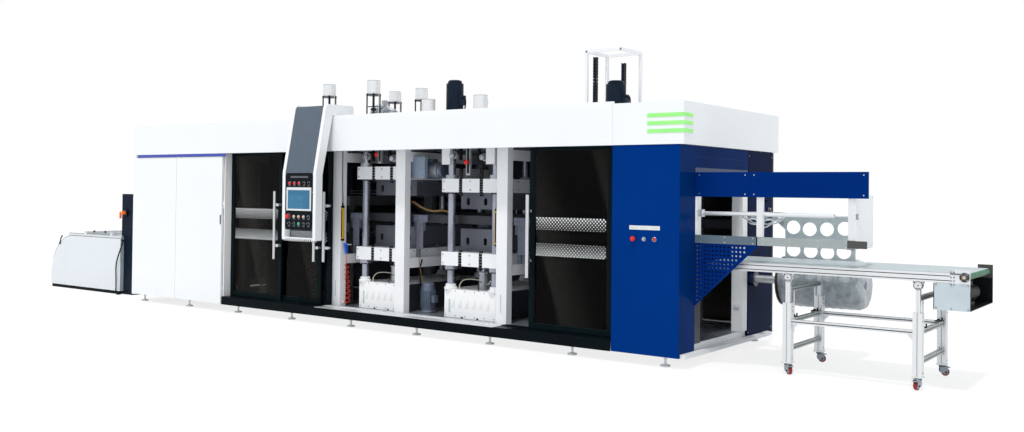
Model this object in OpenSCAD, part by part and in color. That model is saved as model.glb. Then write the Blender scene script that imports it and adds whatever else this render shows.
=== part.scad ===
// Pressure-forming line for plastic sheet: unwinder, closed cabinet with a
// forming press and a cutting press, outfeed guard, scrap winder and belt
// conveyor. X runs along the line, Y across it, Z up from the floor.

/* [Cabinet] */
// Length of the cabinet along the line
cabinet_l = 9130; // [8900:10:11000]
// Width of the cabinet across the line
cabinet_w = 2410; // [2350:10:2900]
// Height of the cabinet above its feet
cabinet_h = 2500; // [2440:10:3000]
// Height of the levelling feet
foot_h = 100; // [60:5:130]
// Height of the white band round the top
band_h = 420; // [360:10:460]
// Depth of the band's folded panels
band_t = 60; // [40:5:80]
// Length of the closed section at the infeed end
closed_l = 2130; // [1700:10:2560]
// Length of the blue corner at the outfeed end
corner_l = 800; // [660:10:960]
// Depth by which the glass leaves stand back
leaf_recess = 150; // [120:5:180]
// Height of the black plinth
plinth_h = 110; // [90:5:130]
// Gap between neighbouring panels
seam = 4; // [2:1:6]
// Depth of a folded panel
pan_t = 30; // [24:1:36]
// Thickness of the panels' sheet
sheet_t = 2; // [1.5:0.5:3]

/* [Glass leaves] */
// Thickness of a sliding leaf
leaf_t = 30; // [24:1:36]
// Step between neighbouring tracks
track_step = 40; // [38:1:46]
// Width of the frame round a pane
stile_w = 60; // [40:5:80]
// Thickness of a pane
pane_t = 8; // [5:1:10]
// Overlap of closed leaves
leaf_overlap = 10; // [0:5:20]
// Length of the bar handles
handle_l = 900; // [700:10:1100]
// Distance of a bar handle from the leaf's edge
handle_inset = 70; // [55:5:90]

/* [Frame] */
// Width of a front post
post_w = 150; // [120:5:170]
// Depth of a front post
post_d = 100; // [80:5:120]
// Left faces of the inner posts
post_x = [4020, 5120, 6670];

/* [Presses] */
// Left faces of the press bases
press_x = [4390, 5808];
// Width of a press base
press_w = 767; // [700:5:780]
// Distance of a press from the cabinet's front
press_y = 400; // [390:5:450]
// Diameter of the tie columns
column_d = 92; // [76:1:100]
// Distance of a column's axis from the faces of the base
column_inset = 52; // [50:1:60]
// Height of the covers over the press bases
base_cover_h = 327; // [270:5:360]
// Thickness of a platen
platen_t = 160; // [130:5:170]
// Heights of the lower platens' undersides
lower_z = 815; // [800:5:830]
// Heights of the upper platens' undersides
upper_z = [1832, 1682];
// Height of a lower mould
lower_mould_h = 270; // [220:5:275]
// Height of an upper mould
upper_mould_h = 200; // [160:5:205]
// Height of the film above the floor
film_z = 1375; // [1368:1:1390]
// Radial clearance of a running bore
run_gap = 0.06; // [0.03:0.01:0.1]

/* [Pendant] */
// Left side of the control pendant
pendant_x = 3690; // [3300:10:4200]
// Width of the pendant
pendant_w = 610; // [560:10:700]
// Reach of the pendant in front of the cabinet
pendant_reach = 280; // [260:5:300]
// Height of the pendant's underside
pendant_z = 1065; // [1000:5:1100]
// Pitch of the pendant's controls
control_pitch = 88; // [80:1:92]

/* [Outfeed] */
// Height of the guard's rail
guard_z = 1212; // [1150:2:1240]
// Reach of the guard beyond the cabinet
guard_l = 1690; // [1600:5:1800]
// Distance of the guard and of the portal from the cabinet's front
guard_y = 350; // [330:5:380]
// Radius of the scrap roll
scrap_r = 270; // [220:5:280]

/* [Conveyor] */
// Length of the conveyor
conveyor_l = 2420; // [2200:10:2900]
// Width of the conveyor
conveyor_w = 950; // [850:10:960]
// Height of the belt's top face
belt_z = 1040; // [1010:5:1060]
// Height of the side profiles
profile_h = 80; // [70:5:90]
// Side of the outer leg profile
leg_outer = 80; // [70:2:90]
// Side of the sliding inner leg profile
leg_inner = 40; // [30:2:46]
// Diameter of the caster wheels
wheel_d = 75; // [65:5:80]

/* [Unwinder] */
// Length of the unwinder
unwinder_l = 2040; // [1900:10:2400]
// Height of the side panels above the floor
unwinder_h = 880; // [860:10:980]
// Gap between the unwinder and the cabinet
unwinder_gap = 850; // [700:10:1000]
// Outer width of the unwinder
unwinder_w = 1710; // [1600:10:1800]
// Radius of the film roll
film_r = 350; // [280:5:360]

/* [Hidden] */
$fn = 48;

// levels and planes of the cabinet
z0 = foot_h;
z_top = foot_h + cabinet_h;
z_band = z_top - band_h;
z_sill = z0 + plinth_h;
z_floor = z_sill - 10;
floor_t = 6;
end_x = cabinet_l - 45;
doors_x0 = closed_l;
doors_x1 = cabinet_l - corner_l;
leaf_w = (doors_x1 - doors_x0) / 6 + leaf_overlap;
rib_w = 6;
rib_h = 8;
leaf_z0 = z_sill + rib_h + 6;
leaf_top = z_band + 60;
leaf_h = leaf_top - leaf_z0;
post_y = leaf_recess + 3 * track_step;
rear_y = cabinet_w - post_y;
mid_y = cabinet_w / 2;
strip_h = 40;
door_top = z_band - strip_h - 4;
snug = 0.4;

// the conveyor's sides and the scrap roll beside it
cy0 = guard_y + 100;
cy1 = cy0 + conveyor_w;
spool_r = 41;
roll_y = cy1 + 80 + scrap_r;
roll_z = 770;
roll_x0 = end_x + 385;
roll_l = 920;
web_t = 3;
web_y = roll_y - scrap_r - 0.3 - web_t;

// the portal round the outfeed opening
portal_y0 = guard_y + 5;
portal_post = 130;
portal_y1 = portal_y0 + 1290;
portal_z = z_band - 223;

// controls on the corner panel and the pendant
neck = 0.28;
corner_z = z0 + 1145;
corner_y = 8;
corner_x = doors_x1 + 254;
corner_pitch = 115;
estop_d = 52;
pendant_estop_d = 58;
key_r = 15;
button_r = 15;

// extremes of the line, from which the origin is set
line_x0 = -unwinder_gap - unwinder_l;
conveyor_x0 = end_x + 95;
line_x1 = conveyor_x0 + conveyor_l;
estop_out = 36;
front_y = -pendant_reach - estop_out;
origin_x = (line_x0 + line_x1) / 2;
origin_y = (front_y + cabinet_w) / 2;

white = [0.93, 0.95, 0.97];
blue = [0.02, 0.13, 0.42];
dark = [0.06, 0.09, 0.1];
alu = [0.78, 0.81, 0.83];
steel = [0.62, 0.65, 0.68];

// moves the line so that the origin lies under the middle of its outline
module place() {
    translate([-origin_x, -origin_y, 0]) children();
}

function arc_pts(cx, cy, rx, ry, a0, a1, n) =
    [for (i = [0 : n]) let (a = a0 + (a1 - a0) * i / n) [cx + rx * cos(a), cy + ry * sin(a)]];

// box from its low corner to its high corner
module span(lo, hi) {
    translate(lo) cube(hi - lo);
}

// hollow box section along one axis, walls t thick
module tube_x(lo, hi, t) {
    difference() {
        span(lo, hi);
        span([lo.x - 1, lo.y + t, lo.z + t], [hi.x + 1, hi.y - t, hi.z - t]);
    }
}

module tube_y(lo, hi, t) {
    difference() {
        span(lo, hi);
        span([lo.x + t, lo.y - 1, lo.z + t], [hi.x - t, hi.y + 1, hi.z - t]);
    }
}

module tube_z(lo, hi, t) {
    difference() {
        span(lo, hi);
        span([lo.x + t, lo.y + t, lo.z - 1], [hi.x - t, hi.y - t, hi.z + 1]);
    }
}

// folded panel whose face looks towards -Y
module pan_front(lo, hi) {
    difference() {
        span(lo, hi);
        span([lo.x + sheet_t, lo.y + sheet_t, lo.z + sheet_t],
            [hi.x - sheet_t, hi.y + 1, hi.z - sheet_t]);
    }
}

// folded panel whose face looks towards +Y
module pan_rear(lo, hi) {
    difference() {
        span(lo, hi);
        span([lo.x + sheet_t, lo.y - 1, lo.z + sheet_t],
            [hi.x - sheet_t, hi.y - sheet_t, hi.z - sheet_t]);
    }
}

// folded panel whose face looks towards +X
module pan_end(lo, hi) {
    difference() {
        span(lo, hi);
        span([lo.x - 1, lo.y + sheet_t, lo.z + sheet_t],
            [hi.x - sheet_t, hi.y - sheet_t, hi.z - sheet_t]);
    }
}

// ---------------------------------------------------------------- cabinet

beam = 80;
rail_in = 70;
wall_in = rail_in - snug;
foot_count = 9;
frame_x0 = pan_t + snug;
frame_x1 = end_x - pan_t - snug;
foot_pitch = (frame_x1 - frame_x0 - 320) / (foot_count - 1);
door_y = 10;
hinge_in = 20;
hinge_y = door_y + pan_t / 2;
hinge_r = 6;
door_w = closed_l / 2;
door_x = [seam / 2, door_w + 3];

module foot(x, y) {
    translate([x, y, 0]) cylinder(d = 100, h = 14);
    translate([x, y, 14 - 0.01]) cylinder(d1 = 70, d2 = 34, h = 12);
    translate([x, y, 26 - 0.02]) cylinder(d = 24, h = z0 - 26 - snug);
    translate([x, y, z0 - 26]) cylinder(d = 42, h = 16, $fn = 6);
}

module base_frame() color(white) place() {
    z1 = z_floor;
    for (y = [rail_in, cabinet_w - rail_in - beam])
        tube_x([frame_x0, y, z0], [frame_x1, y + beam, z1], 6);
    for (i = [0 : foot_count])
        tube_y([min(frame_x0 + 120 + i * foot_pitch, frame_x1 - beam), rail_in + beam + snug, z0],
            [min(frame_x0 + 200 + i * foot_pitch, frame_x1), cabinet_w - rail_in - beam - snug, z1], 6);
    // lower hinge brackets of the doors, with their pins
    for (x = door_x) {
        span([x + 2, hinge_y - 12, z0 - 4], [x + 62, rail_in - snug, z0 + 4 - snug]);
        translate([x + hinge_in, hinge_y, z0]) cylinder(r = hinge_r, h = 24);
    }
    // channel under the outfeed end
    difference() {
        span([end_x + snug, 40, z0], [end_x + 55, cabinet_w - 190, z0 + 40]);
        span([end_x + 10, 44, z0 - 1], [end_x + 51, cabinet_w - 194, z0 + 36]);
    }
    // patterned floor plates between the doors and the rear wall
    for (i = [0 : 5])
        span([doors_x0 + i * (frame_x1 - doors_x0) / 6 + 1, post_y - 5, z_floor + snug],
            [doors_x0 + (i + 1) * (frame_x1 - doors_x0) / 6 - 1, rear_y + 5, z_floor + floor_t]);
    for (i = [0 : foot_count - 1], y = [rail_in + beam / 2, cabinet_w - rail_in - beam / 2])
        foot(frame_x0 + 160 + i * foot_pitch, y);
}

module front_plinth() {
    color(dark) place() difference() {
        span([doors_x0 + 2, 4, z0], [doors_x1 - 2, wall_in, z_sill - 4]);
        span([doors_x0, 7, z0 - 1], [doors_x1, wall_in + 1, z_sill - 7]);
    }
    // bright sill with a raised rib under each row of leaves
    color(alu) place() {
        span([doors_x0 + 2, 4, z_sill - 4 + snug], [doors_x1 - 2, post_y - 5 - snug, z_sill]);
        for (i = [0 : 2])
            span([doors_x0 + 2, leaf_recess + i * track_step + leaf_t / 2 - rib_w / 2, z_sill - 1],
                [doors_x1 - 2, leaf_recess + i * track_step + leaf_t / 2 + rib_w / 2, z_sill + rib_h]);
    }
}

all_posts = concat([doors_x0 + 10], post_x, [doors_x1 - post_w - 10]);
tie_z = 750;
tie_h = 130;
head_z = z_band - 130;

tie_in = 56;
tie_w = 46;

module frame_posts() color(white) place() {
    z1 = leaf_top + 6;
    p0 = z_floor + floor_t + snug;
    for (x = all_posts) {
        tube_z([x, post_y, p0], [x + post_w, post_y + post_d, z1 - snug], 8);
        tube_z([x, rear_y - post_d, p0], [x + post_w, rear_y, z1 - snug], 8);
        // ties across the machine, low and high
        tx = x + post_w - tie_in;
        for (z = [tie_z, head_z])
            tube_y([tx, post_y + post_d + snug, z], [tx + tie_w, rear_y - post_d - snug, z + tie_h - 10], 6);
    }
    // head rails over the posts, with a guide rib over each row of leaves
    tube_x([doors_x0 + 2, leaf_recess - 10, z1], [doors_x1 - 2, post_y + post_d, z1 + 70], 6);
    tube_x([doors_x0 + 2, rear_y - post_d, z1], [doors_x1 - 2, rear_y, z1 + 70], 6);
    for (i = [0 : 2])
        span([doors_x0 + 4, leaf_recess + i * track_step + leaf_t / 2 - rib_w / 2, leaf_top - rib_h],
            [doors_x1 - 4, leaf_recess + i * track_step + leaf_t / 2 + rib_w / 2, z1 + 1]);
    // posts and lintel of the outfeed portal
    for (y = [portal_y0, portal_y1 - portal_post])
        tube_z([end_x - 125, y, p0], [end_x - 1, y + portal_post, portal_z - snug], 6);
    tube_y([end_x - 125, portal_y0, portal_z], [end_x - pan_t - snug, portal_y1, portal_z + 120], 6);
    // small grip on the far portal post
    for (x = [end_x - 40, end_x - 85])
        translate([x, portal_y1 - portal_post - 18, 500]) rotate([-90, 0, 0]) cylinder(d = 12, h = 18 - snug);
    span([end_x - 95, portal_y1 - portal_post - 24, 492],
        [end_x - 30, portal_y1 - portal_post - 17, 508]);
    // fitting on the first inner post, for the air hose
    translate([post_x[0] + post_w + snug, gun_y, 260]) rotate([0, 90, 0]) cylinder(d = 26, h = 29);
    // bearing housing that carries the scrap roll's shaft
    difference() {
        translate([end_x + snug, roll_y, roll_z]) rotate([0, 90, 0]) cylinder(d = 170, h = 60);
        translate([end_x, roll_y, roll_z]) rotate([0, 90, 0]) cylinder(r = spool_r + run_gap, h = 62);
    }
}

// band panel with returns along its top and bottom edges
module band_front(x0, x1) {
    difference() {
        span([x0, 0, z_band], [x1, band_t, z_top]);
        span([x0 + sheet_t, sheet_t, z_band + sheet_t],
            [x1 - sheet_t, band_t + 1, z_top - sheet_t]);
    }
}

module fascia_panels() color(white) place() {
    band_front(0, doors_x1 - 1);
    band_front(doors_x1 + 1, cabinet_l);
    pan_end([cabinet_l - band_t, band_t + snug, z_band], [cabinet_l, mid_y, z_top]);
    pan_end([cabinet_l - band_t, mid_y + 2, z_band], [cabinet_l, cabinet_w - band_t - snug, z_top]);
    pan_rear([0, cabinet_w - band_t, z_band], [doors_x1 - 1, cabinet_w, z_top]);
    pan_rear([doors_x1 + 1, cabinet_w - band_t, z_band], [cabinet_l, cabinet_w, z_top]);
    translate([band_t, 0, 0]) mirror([1, 0, 0])
        pan_end([0, band_t + snug, z_band], [band_t, cabinet_w - band_t - snug, z_top]);
    // rail on which the pendant hangs
    span([doors_x0, 12, z_top + snug], [doors_x1, 42, z_top + rail_top]);
}

rear_count = 8;
rear_t = 45;
slot_in = 450;
slot_z0 = film_z - 110;
slot_z1 = film_z + 110;

// folded panel whose face looks towards -X
module pan_infeed(lo, hi) {
    difference() {
        span(lo, hi);
        span([lo.x + sheet_t, lo.y + sheet_t, lo.z + sheet_t],
            [hi.x + 1, hi.y - sheet_t, hi.z - sheet_t]);
    }
}

module white_panels() color(white) place() {
    // rear wall in folded panels
    for (i = [0 : rear_count - 1])
        pan_rear([i * end_x / rear_count + seam / 2, cabinet_w - wall_in, z0 + 10],
            [(i + 1) * end_x / rear_count - seam / 2, cabinet_w - wall_in + rear_t, z_band - seam]);
    // infeed end wall in four panels round its slot
    y0 = hinge_y + norm([hinge_in, pan_t / 2]) + 2;
    y1 = cabinet_w - rail_in - snug;
    pan_infeed([0, y0, z0 + 4], [pan_t, y1, slot_z0 - snug]);
    pan_infeed([0, y0, slot_z1 + snug], [pan_t, y1, z_band - seam]);
    pan_infeed([0, y0, slot_z0], [pan_t, slot_in, slot_z1]);
    pan_infeed([0, cabinet_w - slot_in, slot_z0], [pan_t, y1, slot_z1]);
    // roof deck
    difference() {
        span([band_t + snug, band_t + snug, z_top - 60],
            [cabinet_l - band_t - snug, cabinet_w - band_t - snug, z_top - 34]);
        span([band_t + 6, band_t + 6, z_top - 61], [cabinet_l - band_t - 6, cabinet_w - band_t - 6, z_top - 37]);
    }
    // side wall of the closed section, beside the first leaf
    span([closed_l - 22, 45, z_floor + snug], [closed_l - 2, post_y - 6, z_band - seam]);
    // upper hinge brackets of the doors, hung under the band
    for (x = door_x) {
        span([x + 2, hinge_y - 12, door_top + snug], [x + 62, band_t - 2, door_top + 8]);
        span([x + 4, band_t - 22, door_top + 7], [x + 60, band_t - 3, z_band - snug]);
        translate([x + hinge_in, hinge_y, door_top - 20]) cylinder(r = hinge_r, h = 24);
    }
}

// round hole through a panel that faces -Y
module eye(x, y, z, r) {
    translate([x, y - 1, z]) rotate([-90, 0, 0]) cylinder(r = r, h = 12);
}

// raised ring round a button on a panel that faces -Y
module bezel(x, y, z, r) {
    translate([x, y, z]) rotate([90, 0, 0]) difference() {
        cylinder(r = r + 8, h = 4);
        translate([0, 0, -1]) cylinder(r = r, h = 6);
    }
}

module corner_panels() color(blue) place() {
    difference() {
        pan_front([doors_x1 + 2, corner_y, z0 + 4], [end_x, wall_in, z_band - 3]);
        eye(corner_x, corner_y, corner_z, neck * estop_d + 0.3);
        eye(corner_x + corner_pitch, corner_y, corner_z, key_r + run_gap);
        eye(corner_x + 2 * corner_pitch, corner_y, corner_z, button_r + 0.3);
    }
    bezel(corner_x, corner_y - snug, corner_z, neck * estop_d + 0.3);
    bezel(corner_x + corner_pitch, corner_y - snug, corner_z, key_r + run_gap);
    bezel(corner_x + 2 * corner_pitch, corner_y - snug, corner_z, button_r + 0.3);
    pan_end([end_x - pan_t, rail_in, z0 + 4], [end_x, portal_y0 - seam, z_band - 3]);
    pan_end([end_x - pan_t, portal_y0, portal_z + seam], [end_x, portal_y1 + 20, z_band - 3]);
    pan_end([end_x - pan_t, portal_y1 + 20 + seam, z0 + 44], [end_x, cabinet_w - rail_in - snug, z_band - 3]);
    // jamb behind the last leaf
    span([doors_x1 + 6, rail_in, z_floor + snug], [doors_x1 + 26, post_y - 6, z_band - seam]);
    // lock knob on the far panel
    translate([end_x + snug, cabinet_w - 168 - 100, z_band - 560]) rotate([0, 90, 0]) {
        cylinder(d = 26, h = 8);
        translate([0, 0, 7.9]) cylinder(d1 = 22, d2 = 34, h = 14);
    }
}

strip_t = 4;
green_pitch = 78;

module light_strips() {
    color([0.25, 0.2, 0.9]) place()
        span([110, 2, z_band - strip_h], [closed_l + 55, 9, z_band - snug]);
    color([0.35, 0.9, 0.25]) place() for (i = [0 : 2]) {
        z = z_band + 112 + i * green_pitch;
        span([cabinet_l - 400, -strip_t, z], [cabinet_l + strip_t, -snug, z + 38]);
        span([cabinet_l + snug, -1, z], [cabinet_l + strip_t, 190, z + 38]);
    }
}

// ------------------------------------------------------------------ doors

latch_z = z0 + 1100;

module left_door(x0, x1) {
    difference() {
        pan_front([x0, door_y, z0 + 4], [x1, door_y + pan_t, door_top]);
        // pin holes at the hinged edge
        for (z = [z0, door_top - 6])
            translate([x0 + hinge_in, hinge_y, z]) cylinder(r = hinge_r + run_gap, h = 12);
    }
    // stiffeners inside the pan
    for (f = [0.28, 0.72])
        span([x0 + sheet_t - 0.5, door_y + sheet_t - 0.5, z0 + f * (door_top - z0)],
            [x1 - sheet_t + 0.5, door_y + pan_t - 4, z0 + f * (door_top - z0) + 30]);
    // flush latch near the free edge
    difference() {
        span([x1 - 34, door_y - 3, latch_z], [x1 - 12, door_y + 1, latch_z + 130]);
        span([x1 - 30, door_y - 4, latch_z + 40], [x1 - 16, door_y - 1, latch_z + 120]);
    }
}

module left_door_1() color(white) place() left_door(door_x[0], door_w - 3);

module left_door_2() color(white) place() left_door(door_x[1], closed_l - 26);

// left edge of each leaf as it stands open
leaf_x = [doors_x0 + 6, doors_x0 + 728, doors_x0 + 865,
    doors_x1 - leaf_w - 40, doors_x1 - leaf_w - 60, doors_x1 - leaf_w - 72];
leaf_track = [0, 1, 2, 2, 1, 0];
handle_z = z0 + 667;
handle_out = 70;
groove_w = 10;
groove_h = 14;
leaf_wheel_r = 8;
handle_t = 14;
handle_bar_w = 40;

module bar_handle(x, y) {
    span([x - handle_bar_w / 2, y - handle_out, handle_z],
        [x + handle_bar_w / 2, y - handle_out + handle_t, handle_z + handle_l]);
    for (f = [0.2, 0.8])
        translate([x, y - handle_out + handle_t - 0.5, handle_z + f * handle_l])
            rotate([-90, 0, 0]) cylinder(d = 24, h = handle_out - handle_t + 0.5);
}

// leaf with its frame, its pane and one kind of handle
module glass_leaf(i) {
    x = leaf_x[i];
    y = leaf_recess + leaf_track[i] * track_step;
    frame_z1 = leaf_top;
    color(dark) difference() {
        span([x, y, leaf_z0], [x + leaf_w, y + leaf_t, frame_z1]);
        span([x + stile_w, y - 1, leaf_z0 + stile_w],
            [x + leaf_w - stile_w, y + leaf_t + 1, frame_z1 - stile_w - 30]);
        // grooves that hold the wheels and take the guide rib
        for (z = [leaf_z0 - 1, frame_z1 - groove_h + 1])
            span([x - 1, y + leaf_t / 2 - groove_w / 2, z], [x + leaf_w + 1, y + leaf_t / 2 + groove_w / 2, z + groove_h]);
        if (i == 3 || i == 4)
            span([x + 18, y - 1, handle_z + handle_l / 2 - 80],
                [x + 42, y + 12, handle_z + handle_l / 2 + 80]);
    }
    color([0.05, 0.05, 0.06]) span(
        [x + stile_w + snug, y + leaf_t / 2 - pane_t / 2, leaf_z0 + stile_w + snug],
        [x + leaf_w - stile_w - snug, y + leaf_t / 2 + pane_t / 2, frame_z1 - stile_w - 30 - snug]);
    if (i < 3) color(steel) bar_handle(x + leaf_w - handle_inset, y);
    if (i == 5) color(steel) bar_handle(x + 16, y);
    // two running wheels in the foot of the leaf, on their pins
    color(steel) for (f = [0.12, 0.88])
        translate([x + f * leaf_w, y + leaf_t / 2, z_sill + rib_h + 0.3 + leaf_wheel_r]) rotate([-90, 0, 0]) {
            translate([0, 0, -rib_w / 2]) cylinder(r = leaf_wheel_r, h = rib_w);
            translate([0, 0, -groove_w / 2 - 1]) cylinder(r = 3, h = groove_w + 2);
        }
}

module glass_door_1() place() glass_leaf(0);

module glass_door_2() place() glass_leaf(1);

module glass_door_3() place() glass_leaf(2);

module glass_door_4() place() glass_leaf(3);

module glass_door_5() place() glass_leaf(4);

module glass_door_6() place() glass_leaf(5);

// ---------------------------------------------------------------- pendant

side_w = 50;
body_t = 107;
knee_z = pendant_z + 835;
crown_z = z_top + 100;
slope_top_y = -pendant_reach + 140;
rail_top = 24;
arm_z = z_top + rail_top + 0.3;
arm_y1 = 345;
cheek_z = pendant_z + 125;

// outline of the side cheek with its hook, in Y and Z
function cheek_outline() = concat(
    arc_pts(-pendant_reach + 30, pendant_z + 30, 30, 30, 180, 270, 6),
    arc_pts(-pendant_reach + body_t - 20, pendant_z + 20, 20, 20, 270, 360, 5),
    [[-pendant_reach + body_t, knee_z - 20], [-20, z_top - 4], [-20, arm_z]],
    arc_pts(arm_y1 - 15, arm_z + 15, 15, 15, 270, 360, 4),
    arc_pts(arm_y1 - 25, arm_z + 112, 25, 25, 0, 90, 5),
    arc_pts(slope_top_y + 70, arm_z + 77, 60, 60, 90, 172, 6),
    [[-pendant_reach, knee_z]]);

// outline of the body between the cheeks
body_outline = [[-pendant_reach + 10, cheek_z], [-pendant_reach + body_t - 10, cheek_z],
    [-pendant_reach + body_t - 10, knee_z - 18], [-34, z_top - 4], [-34, arm_z + 112],
    [slope_top_y + 40, arm_z + 112], [slope_top_y + 24, arm_z + 84],
    [-pendant_reach + 10, knee_z]];

// extrudes a Y-Z outline along X from x0 over the width w
module along_x(x0, w) {
    translate([x0, 0, 0]) rotate([90, 0, 90]) linear_extrude(w) children();
}

module pendant_shell() color(white) place() {
    x0 = pendant_x;
    x1 = pendant_x + pendant_w;
    difference() {
        union() {
            along_x(x0, side_w) polygon(cheek_outline());
            along_x(x1 - side_w, side_w) polygon(cheek_outline());
            along_x(x0 + 1, pendant_w - 2) polygon(body_outline);
            // floor and back of the open shelf
            span([x0 + 1, -pendant_reach + 2, pendant_z],
                [x1 - 1, -pendant_reach + body_t - 8, pendant_z + 18]);
            span([x0 + 1, -pendant_reach + body_t - 14, pendant_z + 1],
                [x1 - 1, -pendant_reach + body_t - 8, cheek_z + 10]);
        }
        // the housing is hollow
        span([x0 + side_w + 6, -pendant_reach + 18, cheek_z + 8],
            [x1 - side_w - 6, -pendant_reach + body_t - 16, knee_z - 20]);
        eye(control_x - 12, -pendant_reach + 10, row_z[1], neck * pendant_estop_d + 0.3);
    }
    // grille across the back of the shelf
    for (i = [0 : 5])
        span([x0 + side_w, -pendant_reach + body_t - 16, pendant_z + 30 + i * 15],
            [x1 - side_w, -pendant_reach + body_t - 13.5, pendant_z + 34 + i * 15]);
}

panel_z0 = cheek_z;
screen_w = 450;
screen_h = 290;
screen_z = pendant_z + 365;
control_x = pendant_x + pendant_w / 2 - 2 * control_pitch;
row_z = [pendant_z + 705, pendant_z + 290, pendant_z + 200];
face_y = -pendant_reach + 4;

module pendant_face() place() {
    x0 = pendant_x + side_w + 1;
    w = pendant_w - 2 * side_w - 2;
    // black control panel
    color(dark) difference() {
        span([x0, face_y, panel_z0 + 1], [x0 + w, face_y + 6 - snug, knee_z - 1]);
        eye(control_x - 12, face_y, row_z[1], neck * pendant_estop_d + 0.3);
    }
    color("yellow") bezel(control_x - 12, face_y - snug, row_z[1], neck * pendant_estop_d + 0.3);
    // grey cover up the slope
    color([0.36, 0.42, 0.46]) along_x(x0, w) polygon([
        [-pendant_reach + 3, knee_z], [-pendant_reach + 9.5, knee_z + 1],
        [slope_top_y + 23, arm_z + 84], [slope_top_y + 39, arm_z + 113],
        [slope_top_y + 70, arm_z + 113], [slope_top_y + 70, arm_z + 119],
        [slope_top_y + 36, arm_z + 119], [slope_top_y + 17, arm_z + 86]]);
    // screen with its bezel
    sx = pendant_x + (pendant_w - screen_w) / 2;
    color(alu) difference() {
        span([sx, face_y - 8, screen_z], [sx + screen_w, face_y - snug, screen_z + screen_h]);
        span([sx + 24, face_y - 9, screen_z + 22], [sx + screen_w - 24, face_y - 3, screen_z + screen_h - 34]);
    }
    color([0.2, 0.45, 0.62]) span([sx + 25, face_y - 6, screen_z + 23],
        [sx + screen_w - 25, face_y - 3.3, screen_z + screen_h - 35]);
}

// mushroom button whose face looks towards -Y; its neck goes through the panel
module mushroom(x, y, z, d) {
    translate([x, y, z]) rotate([90, 0, 0]) rotate_extrude() polygon([
        [0, -12], [d * neck, -12], [d * neck, 16], [d / 2, 19], [d / 2, 27],
        [d * 0.44, 34], [d * 0.3, 38], [0, 40]]);
}

module pendant_estop() color("red") place()
    mushroom(control_x - 12, face_y, row_z[1], pendant_estop_d);

module lamp(x, y, z, d, h) {
    translate([x, y, z]) rotate([90, 0, 0]) {
        cylinder(d = d + 10, h = 4);
        translate([0, 0, 3.9]) cylinder(d1 = d, d2 = d * 0.8, h = h);
    }
}

module pendant_buttons() color("red") place() {
    y = face_y - snug;
    for (i = [0 : 2]) lamp(control_x + i * control_pitch, y, row_z[0], 34, 16);
    for (i = [3, 4]) selector(control_x + i * control_pitch, y, row_z[0]);
    for (i = [1 : 3]) lamp(control_x + i * control_pitch, y, row_z[1], 34, 10);
    selector(control_x + 4 * control_pitch, y, row_z[1]);
    for (i = [0, 1, 3, 4]) selector(control_x + i * control_pitch, y, row_z[2]);
    lamp(control_x + 2 * control_pitch, y, row_z[2], 34, 14);
}

// short turning switch with a raised grip
module selector(x, y, z) {
    translate([x, y, z]) rotate([90, 0, 0]) {
        cylinder(d = 42, h = 4);
        translate([0, 0, 3.9]) cylinder(d = 32, h = 10);
        rotate([0, 0, 35]) translate([-5, -15, 13]) cube([10, 30, 12]);
    }
}

// -------------------------------------------------------- corner controls

module corner_estop() color("red") place()
    mushroom(corner_x, corner_y, corner_z, estop_d);

module key_switch() color(steel) place()
    translate([corner_x + corner_pitch, corner_y + 12, corner_z]) rotate([90, 0, 0]) {
        cylinder(r = key_r, h = 26);
        translate([-3, -11, 25]) cube([6, 22, 20]);
    }

module stop_button() color("red") place()
    translate([corner_x + 2 * corner_pitch, corner_y + 12, corner_z]) rotate([90, 0, 0]) {
        cylinder(r = button_r, h = 24);
        translate([0, 0, 23.9]) cylinder(r1 = button_r, r2 = button_r - 3, h = 4);
    }

// ---------------------------------------------------------------- presses

press_d = cabinet_w - 2 * press_y;
base_z0 = z_floor + floor_t + snug;
base_z1 = z_floor + floor_t + base_cover_h;
crown_h = 190;
crown_z0 = z_band + 10;
over = 45;
columns_y = [press_y + column_inset, press_y + press_d - column_inset];

function column_x(i) = [press_x[i] + column_inset, press_x[i] + press_w - column_inset];

module press_frame() color(white) place() for (i = [0, 1]) {
    x = press_x[i];
    // folded cover over the base with service cut-outs in its foot
    difference() {
        span([x, press_y, base_z0], [x + press_w, press_y + press_d, base_z1]);
        span([x + 5, press_y + 5, base_z0 - 1], [x + press_w - 5, press_y + press_d - 5, base_z1 - 12]);
        for (f = [0.35, 0.65])
            translate([x + f * press_w, press_y - 1, base_z0]) rotate([-90, 0, 0])
                cylinder(d = 36, h = 10);
        for (y = lift_y)
            translate([x + press_w / 2, y, base_z1 - 20]) cylinder(d = barrel_d + 2 * snug, h = 30);
    }
    // crown with stiffening pockets
    difference() {
        span([x - 20, press_y - 20, crown_z0], [x + press_w + 20, press_y + press_d + 20, crown_z0 + crown_h]);
        for (j = [0 : 2])
            span([x + 20 + j * (press_w - 20) / 3, press_y + 130, crown_z0 + 24],
                [x + j * (press_w - 20) / 3 + (press_w - 20) / 3, press_y + press_d - 130, crown_z0 + crown_h + 1]);
    }
    // boxes on the front of the cutting press's crown
    if (i == 1) for (cx = column_x(i)) {
        span([cx - 62, press_y - 68, crown_z0 - 180], [cx + 62, press_y - 28, crown_z0 + 40]);
        span([cx - 40, press_y - 29, crown_z0 + 4], [cx + 40, press_y - 20 - snug, crown_z0 + 36]);
    }
}

lift_y = [press_y + 260, press_y + press_d - 260];
barrel_d = 120;
rod_r = 30;
rod_l = 235;

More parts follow.
